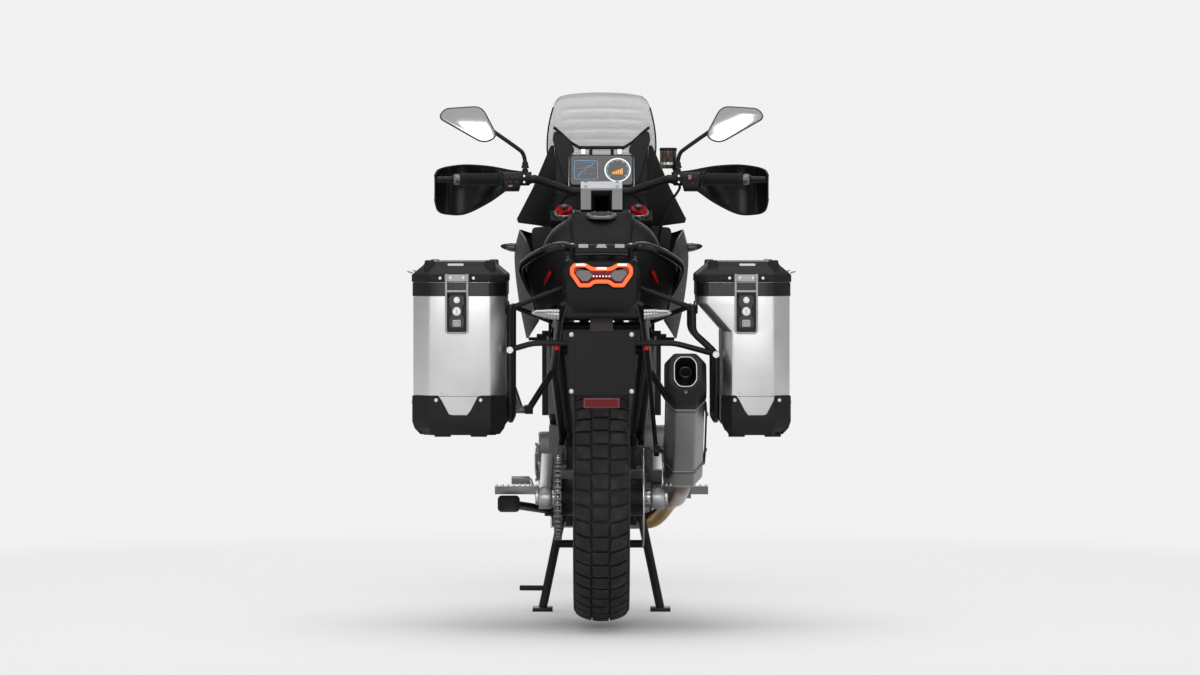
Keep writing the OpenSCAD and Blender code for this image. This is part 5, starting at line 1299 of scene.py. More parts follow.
@dataclass
class Pannier(Assembly):
    """An aluminium pannier with its lid, caps, band and lock.

    Attributes:
        left: Whether it is the left one.
        x0: Inner face.
        width: Width across the machine.
        back: Y of its rear face.
        length: Length along the machine.
        low: Height of the bottom.
        split: Height where the lid starts.
        top: Height of the lid's top.
        cut: How far the lower inner wall stands out, past the silencer.
        corner: Size of the chamfered upright corners.
        wall: Thickness of the sheet.
    """

    left: bool = True
    x0: float = 256.0
    width: float = 244.0
    back: float = -960.0
    length: float = 480.0
    low: float = 524.0
    split: float = 928.0
    top: float = 984.0
    cut: float = 0.0
    corner: float = 43.0
    wall: float = 2.5

    def side(self, shape: Shape) -> Shape:
        """The shape as it is for the right pannier, mirrored for the left one."""
        return shape.mirrored() if self.left else shape

    def title(self, part: str) -> str:
        """Name of a piece of this pannier."""
        return ("left_" if self.left else "right_") + part

    def inner_x(self, z: Array | float) -> Array:
        """The inner wall's X at a height: straight, then slanting between two heights, then straight."""
        return self.x0 + self.cut * np.clip((872 - np.asarray(z, float)) / 75, 0, 1)

    def ring(self, z: float, inset_by: float = 0.0, corner: float | None = None) -> Array:
        """The outline at a height: a rectangle with four chamfered corners, slightly rounded.

        Args:
            z: The height.
            inset_by: How far inside the outer face.
            corner: Size of the chamfers, if not the usual one.

        Returns:
            Points of the outline, as X, Y and Z.
        """
        c = self.corner if corner is None else corner
        xi, xo = float(self.inner_x(z)), self.x0 + self.width
        ci = c * (0.9 if not self.cut else 0.55)
        y0, y1 = self.back, self.back + self.length
        p = np.array(
            [
                [xi, y0 + ci], [xi + ci, y0], [xo - c, y0], [xo, y0 + c], [xo, y1 - c], [xo - c, y1],
                [xi + ci, y1], [xi, y1 - ci]
            ]
        )
        p = rounded(inset(p, inset_by), 5, 3)
        return np.column_stack([p, np.full(len(p), z)])

    def shell(self) -> None:
        """The open box of brushed sheet with its folded rim and a bottom drawn in outside."""
        w = self.wall
        zs = [self.low + 12, self.low + 40]
        if self.cut:
            zs += [797.0, 799, 870, 872]
        zs += [self.split - 0.4]
        outer = [
            self.ring(self.low + 0.5, 22), self.ring(self.low + 1.5, 20), self.ring(self.low + 16, 6),
            self.ring(self.low + 34, 0)
        ]
        outer += [self.ring(z) for z in zs[2:]]
        inner = [self.ring(z, w) for z in reversed(zs[2:])] + [
            self.ring(self.low + 34, w), self.ring(self.low + 18, 6 + w), self.ring(self.low + 5, 20)
        ]
        node = "pannier_left" if self.left else "pannier_right"
        self.put(
            self.title("pannier_shell"), self.side(rings(np.stack(outer + inner))), BRUSHED,
            "bare_aluminium", (node,), 20
        )

    def belt(self, lo: float, hi: float, out: float, name: str, finish: Finish, slot: str) -> None:
        """A band that runs round the box between two heights, standing out from it."""
        loop = np.stack(
            [
                self.ring(lo, 0.5), self.ring(lo, -out + 0.8), self.ring(lo + 0.8, -out),
                self.ring(hi - 0.8, -out), self.ring(hi, -out + 0.8), self.ring(hi, 0.5)
            ]
        )
        self.put(self.title(name), self.side(rings(loop, loop=True)), finish, slot, angle=25)

    def corner_caps(self) -> None:
        """Four moulded caps round the lower corners, joined under the bottom.

        Each height's outline is the box's own, moved out. The caps' upper edge runs from high at
        the corners down to a low tongue in the middle of each face.
        """
        out = 3.0
        n = 40
        shapes = []
        for y_face, sgn in ((self.back, -1), (self.back + self.length, 1)):
            xi, xo = float(self.inner_x(self.low)), self.x0 + self.width
            ci = self.corner * (0.9 if not self.cut else 0.55)
            mid = (xi + xo) / 2
            prof = np.array(
                [
                    [xi - 0.2, y_face - sgn * 85], [xi - 0.2, y_face - sgn * ci], [xi + ci, y_face],
                    [xo - self.corner, y_face], [xo + 0.2, y_face - sgn * self.corner],
                    [xo + 0.2, y_face - sgn * 92]
                ]
            )
            s = np.linspace(0, 1, n)
            step = np.concatenate([[0], np.cumsum(np.linalg.norm(np.diff(prof, axis=0), axis=1))])
            step /= step[-1]
            s = np.unique(np.concatenate([s, step, [0.999, 0.001]]))
            x, y = np.interp(s, step, prof[:, 0]), np.interp(s, step, prof[:, 1])
            onface = np.abs(y - y_face) < 0.5
            dist = np.where(onface, np.abs(x - mid), 1e3)
            tip = np.interp(
                dist, [0, 24, 26, 50, 52],
                [self.low + 52, self.low + 52, self.low + 54, self.low + 100, self.low + 104]
            )
            far = np.abs(y - y_face)
            tip = np.where(onface, tip, self.low + 104 - np.clip(far - 40, 0, 60) * 0.35)
            nx = np.gradient(y, s)
            ny = -np.gradient(x, s)
            nrm = unit(np.stack([nx, ny], -1)) * (1 if sgn < 0 else -1)
            nrm = np.where(
                (
                    np.sum(
                        nrm * np.stack([x - (xi + xo) / 2, y - (self.back + self.length / 2)], -1), -1
                    ) < 0
                )[:, None],
                -nrm, nrm
            )
            fixed = self.low + np.array([-0.5, 1.5, 9.0, 16.0, 34.0])
            share = np.array([0.25, 0.5, 0.75, 0.96, 1.0])
            z = np.concatenate(
                [np.broadcast_to(fixed, (len(x), 5)), fixed[-1] + (tip[:, None] - fixed[-1]) * share], 1
            )
            drawn = np.interp(z, self.low + np.array([0.5, 1.5, 16, 34]), [22.0, 20.0, 6.0, 0.0])
            d = np.where(z > tip[:, None] - 0.5, out * 0.4, out) - drawn
            inner = -drawn - 1.2
            shapes.append(
                between(
                    np.stack([x[:, None] + nrm[:, :1] * d, y[:, None] + nrm[:, 1:] * d, z], -1),
                    np.stack([x[:, None] + nrm[:, :1] * inner, y[:, None] + nrm[:, 1:] * inner, z], -1)
                )
            )
        xi, xo = float(self.inner_x(self.low)), self.x0 + self.width
        y0, y1 = self.back, self.back + self.length
        underside = prism(
            rounded(
                np.array(
                    [
                        [xi + 24, y0 + 30], [xi + 40, y0 + 22], [xo - 50, y0 + 22], [xo - 26, y0 + 46],
                        [xo - 26, y1 - 46], [xo - 50, y1 - 22], [xi + 40, y1 - 22], [xi + 24, y1 - 30]
                    ]
                ),
                4, 3
            ),
            self.low - 2, self.low + 2, 0.8
        )
        feet = [
            block((x - 22, y - 8, self.low - 7), (x + 22, y + 8, self.low), 4, 1.5)
            for x in ((xi + xo) / 2 - 52, (xi + xo) / 2 + 44)
            for y in (y0 + 40, y1 - 40)
        ]
        self.put(
            self.title("pannier_caps"), self.side(joined([*shapes, underside, *feet])), MOULDED,
            "body_black", angle=24
        )
        bolts, faint = [], []
        for sx in (-58, 60):
            for y in (y0 - out, y1 + out):
                bolts.append([(xi + xo) / 2 + sx, y, self.low + 92])
        for sx in (-44, 44):
            faint.append([(xi + xo) / 2 + sx, y0 - 0.2, self.low + 112])
        ways = [[0, math.copysign(1, p[1] - (y0 + y1) / 2), 0] for p in bolts]
        head = screws(
            np.array(bolts), np.array(ways), 5.0, 2.6
        ) + screws(np.array(faint), (0, -1, 0), 4.0, 1.2)
        side_p = np.array([[xo + out, y, self.low + 84] for y in (y0 + 70, y1 - 70)])
        self.put(
            self.title("pannier_bolts"), self.side(head + screws(side_p, (1, 0, 0), 5.0, 2.6)), STEEL,
            "steel"
        )

    def lock(self) -> None:
        """The catch: a grey frame, a dark waisted plate, a disc, a lock, a window and two straps."""
        cx = self.x0 + 127
        y = self.back
        zc = self.split - 77
        frame_o = rounded(
            np.array(
                [
                    [cx - 31, zc - 54], [cx - 25, zc - 60], [cx + 25, zc - 60], [cx + 31, zc - 54],
                    [cx + 31, zc + 56], [cx - 31, zc + 56]
                ],
                float
            ),
            4, 4
        )
        rim = upright(frame_prism(frame_o, 5.5, -y + 0.5, -y + 12.5, 1.2))
        pad = upright(prism(inset(frame_o, 5.0), -y + 0.5, -y + 6.0, 1.0))
        straps = joined(
            [
                block(
                    (cx + s * 28 - 3.2, y - 12, zc + 44), (cx + s * 28 + 3.2, y - 8.5, self.split + 22),
                    1.5, 0.8
                )
                for s in (-1, 1)
            ]
        )
        self.put(self.title("catch_frame"), self.side(rim + straps), PALE, "bare_aluminium", angle=30)
        self.put(self.title("catch_pad"), self.side(pad), GREY_MOULDED, "body_black", angle=30)
        waist = rounded(
            np.array(
                [
                    [cx - 21, zc + 38], [cx - 15, zc + 44], [cx + 15, zc + 44], [cx + 21, zc + 38],
                    [cx + 21, zc + 18], [cx + 15, zc + 10], [cx + 15, zc - 10], [cx + 21, zc - 18],
                    [cx + 21, zc - 40], [cx + 15, zc - 46], [cx - 15, zc - 46], [cx - 21, zc - 40],
                    [cx - 21, zc - 18], [cx - 15, zc - 10], [cx - 15, zc + 10], [cx - 21, zc + 18]
                ],
                float
            ),
            3, 3
        )
        plate = upright(prism(waist, -y + 5.5, -y + 11.0, 1.2))
        window = upright(
            frame_prism(rectangle(21, 17, 3, 4) + [cx, zc - 31], 2.2, -y + 10.0, -y + 12.4, 0.5)
        )
        self.put(self.title("catch_plate"), self.side(plate), GLOSS, "body_black", angle=30)
        disc = lathe(
            [(2, 0), (8.6, 0), (8.6, 1.2), (7.6, 2.0), (4.4, 2.0), (3.8, 0.8), (1, 0.8)],
            (cx, y - 10.5, zc + 30), (0, -1, 0), 24
        )
        key = lathe(
            [(2, 0), (11.6, 0), (11.6, 2.4), (10.4, 3.4), (9.0, 3.4), (8.4, 2.4), (2, 2.4)],
            (cx, y - 10.5, zc), (0, -1, 0), 32
        )
        keyway = block((cx - 1.4, y - 14.2, zc - 5), (cx + 1.4, y - 12.5, zc + 5), 0.6, 0.3)
        inside = upright(prism(rectangle(15, 11, 2, 4) + [cx, zc - 31], -y + 9, -y + 11.4, 0.4))
        self.put(self.title("catch_metal"), self.side(joined([disc, key, window])), STEEL, "steel")
        self.put(
            self.title("catch_window"), self.side(joined([inside, keyway])), PALE, "bare_aluminium"
        )

    def lid(self) -> None:
        """The lid: a skirt, a chamfered crown with four corner posts, a pale rim and a blank label."""
        body = "left_lid" if self.left else "right_lid"
        z0, z1 = self.split + 0.3, self.top - 1
        prof = [
            (z0, 1.5), (z0, -3.6), (z0 + 2, -4.4), (z0 + 17, -4.4), (z0 + 20, -3.0), (z0 + 23, 0.0),
            (z1 - 14, 21), (z1 - 11, 25), (z1 - 2, 31), (z1, 34)
        ]
        inner = [(z1 - 4, 36), (z1 - 18, 26), (z0 + 20, 6), (z0 + 3, 3.2)]

        def row(z: float, i: float) -> Array:
            p = self.ring(self.split, i, 43)
            return np.column_stack([p[:, :2], np.full(len(p), z)])

        shell = rings(np.stack([row(z, i) for z, i in prof + inner]))
        xi, xo = self.x0, self.x0 + self.width
        y0, y1 = self.back, self.back + self.length
        posts = []
        for cx, cy, sx, sy in (
            (xi + 40, y0 + 34, 1, 1), (xo - 44, y0 + 38, -1, 1), (xi + 40, y1 - 34, 1, -1),
            (xo - 44, y1 - 38, -1, -1)
        ):
            o = rounded(
                np.array(
                    [
                        [cx - 17, cy - 17], [cx + 15, cy - 17], [cx + 17, cy - 4], [cx + 4, cy + 17],
                        [cx - 17, cy + 15]
                    ],
                    float
                ),
                5, 3
            )
            o = (o - [cx, cy]) * [sx, sy] + [cx, cy]
            posts.append(
                prism(o, z0 + 16, z1 + 3.5, 2.5, 4.0) if sx * sy > 0
                else prism(o[::-1], z0 + 16, z1 + 3.5, 2.5, 4.0)
            )
        ribs = [
            block((xi + 62, y, z1 - 3), (xo - 62, y + 5, z1 + 0.8), 2, 0.8)
            for y in np.linspace(y0 + 90, y1 - 95, 7)
        ]
        hinge = [
            lathe(
                [(4.6, 0), (5.4, 1), (5.4, 99), (4.6, 100)],
                (xi + 70, self.back + self.length + 8, 936), (1, 0, 0), 16
            ),
            block((xi + 72, y1 - 1, 931), (xi + 168, y1 + 9, 941), 2, 1)
        ]
        node = "pannier_left_lid" if self.left else "pannier_right_lid"
        self.put(
            self.title("lid_shell"), self.side(joined([shell, *posts, *ribs, *hinge])), MOULDED,
            "body_black", (node,), 26, body
        )
        rim_o = rectangle(xo - xi - 92, self.length - 92, 16, 5) + [(xi + xo) / 2, (y0 + y1) / 2]
        self.put(
            self.title("lid_rail"), self.side(frame_prism(rim_o, 4.0, z1 - 1.5, z1 + 1.2, 0.8)), PALE,
            "bare_aluminium", body=body
        )
        cx = xi + 127
        label = prism(rectangle(42, 6.5, 1.5, 3), -0.4, 1.6, 0.4).placed(
            (cx + 4, self.back + 25.5, z1 - 9), (1, 0, 0), (0, 0.3, 0.954), (0, -0.954, 0.3)
        )
        self.put(
            self.title("lid_label"), self.side(label),
            replace(PALE, name="label_white", colour=(0.75, 0.75, 0.75), metal=0), "bare_aluminium",
            body=body
        )
        plate = upright(
            prism(
                rectangle(64, 19, 3, 4) + [cx, self.split + 11], -self.back + 4.2, -self.back + 7.4, 0.8
            )
        )
        self.put(self.title("lid_catch"), self.side(plate), PALE, "bare_aluminium", body=body)
        spots = np.array(
            [[cx + s, self.back - 7.2, self.split + 12] for s in (-17, 17)]
            + [[cx + s, self.back - 4.4, self.split + 11] for s in (-44, 44)]
        )
        hooks = []
        for sx, x in ((1, xo + 4), (-1, xi - 2)):
            for y in (y0 + 60, y1 - 60):
                if sx > 0:
                    path = np.array(
                        [
                            [x, y - 13, z0 + 24], [x + 9, y - 12, z0 + 27], [x + 11, y, z0 + 28],
                            [x + 9, y + 12, z0 + 27], [x, y + 13, z0 + 24]
                        ]
                    )
                    hooks.append(tube(spline(path, 5), 2.2, 8))
        self.put(
            self.title("lid_metal"), self.side(joined([screws(spots, (0, -1, 0), 4.2, 2.2), *hooks])),
            STEEL, "steel", body=body
        )

    def pucks(self) -> None:
        """Round pads that rest on the rack."""
        parts = []
        for y in (self.back + 110, self.back + self.length - 80):
            parts.append(
                lathe(
                    [(2, -4), (14.5, -4), (15, -3), (15, 1), (2, 1)], (self.x0, y, 858), (1, 0, 0), 24
                )
            )
        self.put(self.title("pannier_pucks"), self.side(joined(parts)), MOULDED, "body_black")

    def build(self) -> None:
        """Makes the shell, its band, caps, lock and lid."""
        self.shell()
        self.belt(self.split - 37, self.split - 0.8, 2.2, "pannier_band", GLOSS, "body_black")
        self.belt(self.low + 101, self.low + 103, 0.6, "pannier_seam", DARK_STEEL, "dark_steel")
        self.corner_caps()
        self.lock()
        self.lid()
        self.pucks()


# ---------------------------------------------------------------- exhaust


@dataclass
class Silencer(Assembly):
    """The silencer: an eight-sided can, its end cap, guard strip and a short pipe in the cap.

    Attributes:
        low: Middle of its front end.
        high: Middle of its rear end.
        half: Half width and half height of the can.
        cut: Size of its chamfered corners, as a share.
    """

    low: Point = (222.0, -588.0, 394.0)
    high: Point = (222.0, -986.0, 690.0)
    half: tuple[float, float] = (52.0, 72.0)
    cut: float = 0.42

    def axes(self) -> tuple[Array, Array, Array]:
        """Across, up square to the can, and rearwards along it."""
        w = unit(np.subtract(self.high, self.low))
        u = np.array([1.0, 0, 0])
        return u, np.cross(w, u), w

    def octagon(self, a: float, b: float, r: float = 6.0) -> Array:
        """An eight-sided outline with rounded corners, of half width a and half height b."""
        c = self.cut * min(a, b) * 1.1
        d = self.cut * max(a, b)
        p = np.array(
            [
                [-a, -b + d], [-a + c, -b], [a - c, -b], [a, -b + d], [a, b - d], [a - c, b],
                [-a + c, b], [-a, b - d]
            ]
        )
        return rounded(p, r, 4)

    def ring(self, a: float, b: float, s: float, r: float = 6.0) -> Array:
        """The outline as points, s along the can."""
        u, v, w = self.axes()
        o = self.octagon(a, b, r)
        return np.array(self.low) + o[:, :1] * u + o[:, 1:] * v + s * w

    def build(self) -> None:
        """Makes the can, the cap with its opening, the bands, the strip and the bolts."""
        a, b = self.half
        length = float(np.linalg.norm(np.subtract(self.high, self.low)))
        u, v, w = self.axes()
        can = rings(
            np.stack(
                [
                    self.ring(30, 30, 0, 8), self.ring(34, 36, 1, 8), self.ring(a - 6, b - 8, 44),
                    self.ring(a, b, 62), self.ring(a, b, length - 62),
                    self.ring(a - 1, b - 1, length - 58)
                ]
            )
        )
        self.put("silencer_can", can, CAN, "steel", ("silencer",), 18)
        e = length
        cap = [
            self.ring(a + 2.5, b + 2.5, e - 64), self.ring(a + 4, b + 4, e - 60),
            self.ring(a + 4, b + 4, e - 24), self.ring(a + 2, b + 2, e - 18),
            self.ring(a - 9, b - 12, e + 2), self.ring(a - 12, b - 15, e + 3),
            self.ring(29, 47, e + 3, 9), self.ring(27, 45, e + 1, 9), self.ring(25, 42, e - 12, 9),
            self.ring(22, 38, e - 50, 9)
        ]
        self.put("silencer_cap", rings(np.stack(cap)), POWDER, "body_black", angle=26)
        line = [
            self.ring(30.5, 48.5, e + 2.4, 9), self.ring(30.5, 48.5, e + 4.0, 9),
            self.ring(28.6, 46.6, e + 4.0, 9), self.ring(28.6, 46.6, e + 2.4, 9)
        ]
        self.put("silencer_line", rings(np.stack(line), loop=True), STEEL, "steel")
        pipe = lathe(
            [(15, 0), (17, 0), (17, 30), (16, 31), (15, 30)],
            np.array(self.low) + v * 14 + w * (e - 48), w, 28, loop=True
        )
        self.put("silencer_core", pipe, DARK_STEEL, "dark_steel")
        bands = [
            rings(
                np.stack(
                    [
                        self.ring(a + 0.2, b + 0.2, s), self.ring(a + 1.8, b + 1.8, s + 0.8),
                        self.ring(a + 1.8, b + 1.8, s + 13), self.ring(a + 0.2, b + 0.2, s + 14)
                    ]
                )
            )
            for s in (120.0, e - 84)
        ]
        self.put("silencer_bands", joined(bands), DARK_STEEL, "dark_steel", angle=26)
        strip = []
        s = np.array([70.0, 90, 130, 200, 260, 300, 330, 350])
        out = np.array([a + 3.0, a + 8, a + 9, a + 9, a + 9, a + 9, a + 8, a + 3.5])
        wid = np.array([10.0, 20, 24, 26, 26, 25, 22, 12])
        q = np.linspace(-1, 1, 7)
        grid = np.array(self.low) + out[:, None, None] * u - (1.6 * q**2)[None, :, None] * u + (
            wid[:, None] * q[None]
        )[..., None] * v + s[:, None, None] * w
        strip.append(between(grid, grid - 2.6 * u))
        studs = np.array([np.array(self.low) + (a + 8.6) * u + z * w for z in (130.0, 300.0)])
        self.put("silencer_guard", joined(strip), MOULDED, "body_black", angle=40)
        under = np.array(self.low) - v * (b - 4) + w * (e - 2)
        heads = screws(studs, u, 5.5, 3) + screws(under[None] + v * 6, w - v * 0.35, 5.0, 3.5)
        stays = [
            rod(
                np.array(self.low) + w * z - u * (a - 2),
                np.array(self.low) + w * z - u * (a + 14) + v * 10, 9.0
            )
            for z in (127.0,)
        ]
        self.put("silencer_fasteners", joined([heads, *stays]), DARK_STEEL, "dark_steel")


# ---------------------------------------------------------------- saddle, tank and bodywork


@dataclass
class Saddle(Assembly):
    """The two cushions, their seams and piping.

    Attributes:
        rider: Sections of the front cushion as (Y, half width, low, high, squareness).
        pillion: Sections of the rear one.
    """

    rider: tuple[tuple[float, ...], ...] = (
        (-5.0, 96, 820, 904, 3.2), (-64, 108, 818, 876, 3.4), (-150, 146, 815, 866, 3.6),
        (-250, 168, 814, 869, 3.6), (-303, 161, 814, 887, 3.6)
    )
    pillion: tuple[tuple[float, ...], ...] = (
        (-308, 130, 861, 932, 3.4), (-340, 148, 878, 974, 3.4), (-450, 142, 909, 990, 3.6),
        (-628, 124, 930, 1000, 3.6), (-756, 104, 960, 1007, 3.2)
    )

    def along(
        self, sections: tuple[tuple[float, ...], ...], angle: float, out: float, lo: float = 0.03,
        hi: float = 0.97
    ) -> Array:
        """A line that runs along a cushion's surface at one angle of its section, just outside it."""
        s = spline(np.array(sections, float), 12)
        n = len(s)
        s = s[int(n * lo) : int(n * hi)]
        c, z, e = math.cos(angle), math.sin(angle), 2 / s[:, 4]
        x = (s[:, 1] + out) * np.sign(c) * abs(c) ** e
        h = (s[:, 2] + s[:, 3]) / 2 + ((s[:, 3] - s[:, 2]) / 2 + out) * np.sign(z) * abs(z) ** e
        return np.stack([x, s[:, 0], h], -1)

    def across(self, sections: tuple[tuple[float, ...], ...], y: float, out: float) -> Array:
        """A line over a cushion from side to side at one Y, just outside it."""
        s = spline(np.array(sections, float), 12)
        a = np.linspace(0.5, math.pi - 0.5, 40)
        w, lo, hi, e = (np.interp(-y, -s[:, 0], s[:, k]) for k in (1, 2, 3, 4))
        c, z = np.cos(a), np.sin(a)
        return np.stack(
            [
                (w + out) * np.sign(c) * np.abs(c) ** (2 / e), np.full_like(a, y),
                (lo + hi) / 2 + ((hi - lo) / 2 + out) * np.abs(z) ** (2 / e)
            ],
            -1
        )

    def stitches(self, path: Array, length: float = 4.2, gap: float = 2.4) -> Shape:
        """Short threads laid end to end along a line.

        Args:
            path: The line.
            length: Length of a stitch.
            gap: Space between two.

        Returns:
            A thread for each step along the line's length.
        """
        step = np.linalg.norm(np.diff(path, axis=0), axis=1)
        along = np.concatenate([[0], np.cumsum(step)])
        at = np.arange(gap, along[-1] - length, length + gap)
        p, q = (
            np.stack([np.interp(at + d, along, path[:, k]) for k in range(3)], -1)
            for d in (0.0, length)
        )
        way = unit(q - p)
        side = unit(np.cross(way, [0.0, 0.0, 1.0]) + 1e-6)
        axes = np.stack([side, np.cross(way, side), way], 1)
        one = lathe(
            [(0.3, 0), (0.75, 0.6), (0.75, length - 0.6), (0.3, length)], (0, 0, 0), (0, 0, 1), 6
        )
        return array_of(one, p, axes)

    def build(self) -> None:
        """Makes the cushions, their piping and the sewn lines."""
        parts = []
        for name, sections, hi in (
            ("rider_cushion", self.rider, 10.0), ("pillion_cushion", self.pillion, 14.0)
        ):
            stands = ("saddle",) if name == "rider_cushion" else ()
            pad = self.put(
                name, loft([list(s) for s in sections], 12, 88, hi), COVER, "saddle_cover", stands, 60
            )
            for s in (-1, 1):
                a = math.pi / 2 - s * (math.pi / 2 - 0.62)
                parts.append(tube(self.along(sections, a, 0.2), 2.0, 8))
        self.put("saddle_piping", joined(parts), COVER_SMOOTH, "saddle_cover", angle=60)
        lines = [
            self.stitches(self.along(sec, math.pi / 2 - s * (math.pi / 2 - 0.72), 0.5))
            for sec in (self.rider, self.pillion)
            for s in (-1, 1)
        ]
        lines += [self.stitches(self.across(self.rider, y, 0.5)) for y in (-118, -236)] + [
            self.stitches(self.across(self.pillion, y, 0.5))
            for y in (-390, -680)
        ]
        self.put("saddle_stitching", joined(lines), THREAD, "saddle_cover", angle=60)


@dataclass
class Tank(Assembly):
    """The fuel tank, its filler cap, a raised spine and a pad on its top.

    Attributes:
        sections: Sections as (Y, half width, low, high, squareness).
    """

    sections: tuple[tuple[float, ...], ...] = (
        (338.6, 42, 922, 1092, 2.8), (306.7, 94, 902, 1110, 2.7), (278.7, 136, 886, 1117.4, 2.6),
        (208.7, 171, 866, 1105, 2.6), (128.7, 171, 864, 1052, 2.6), (68.7, 140, 864, 984, 2.6),
        (-3.5, 112, 864, 910, 3.0)
    )

    def high(self, y: float) -> float:
        """The height of the tank's top at one Y."""
        s = spline(np.array(self.sections), 12)
        return float(np.interp(-y, -s[:, 0], s[:, 3]))

    def build(self) -> None:
        """Makes the tank, a raised spine, the pad on top and the cap."""
        self.put(
            "tank_skin", loft([list(s) for s in self.sections], 12, 96, 9.0), PAINT, "tank_paint",
            ("fuel_tank",), 60
        )
        y = np.linspace(306, 40, 30)
        x = np.linspace(-1, 1, 9)
        w = np.interp(y, [40, 120, 220, 306], [22, 34, 46, 30])
        z = np.array([self.high(v) for v in y])
        top = np.stack(
            [
                w[:, None] * x[None], np.broadcast_to(y[:, None], (30, 9)),
                z[:, None] + 3.2 * (1 - x[None] ** 4) - 1.4
            ],
            -1
        )
        self.put("tank_spine", between(top, top - [0, 0, 6]), GLOSS, "body_gloss", angle=50)
        yy = np.linspace(306, 14, 40)
        xx = np.sin(np.linspace(-1, 1, 33) * math.pi / 2)
        ww = np.interp(yy, [14, 306], [82, 101])
        zz = np.array([self.high(v) for v in yy])
        ends = np.clip(np.minimum(306 - yy, yy - 14) / 14, 0, 1) ** 0.5
        deck = np.stack(
            [
                ww[:, None] * xx[None], np.broadcast_to(yy[:, None], (40, 33)),
                zz[:, None] - 8 + (10.5 * ends[:, None]) * (1 - xx[None] ** 10)
            ],
            -1
        )
        self.put("tank_deck", between(deck, deck - [0, 0, 12]), PAINT, "tank_paint", angle=35)
        c = np.array([0, 214.0, self.high(214) + 1])
        slope = np.array([0, -0.16, 0.987])
        ring = lathe(
            [(30, -2), (46, -2), (46, 4), (43, 6.5), (34, 6.5), (31, 4)], c, slope, 48, loop=True
        )
        cap = lathe([(1, -2), (31, -2), (31, 6), (29, 8), (20, 9), (1, 9.5)], c, slope, 48)
        u, v = cross_axes(slope)
        a = np.arange(6) * math.pi / 3
        spots = c + 6.0 * slope + 38.5 * (np.cos(a)[:, None] * u + np.sin(a)[:, None] * v)
        self.put("filler_cap", cap, POWDER, "body_black")
        self.put("filler_ring", ring, DARK_STEEL, "dark_steel")
        self.put("filler_screws", screws(spots, slope, 3.2, 2.2), STEEL, "steel")


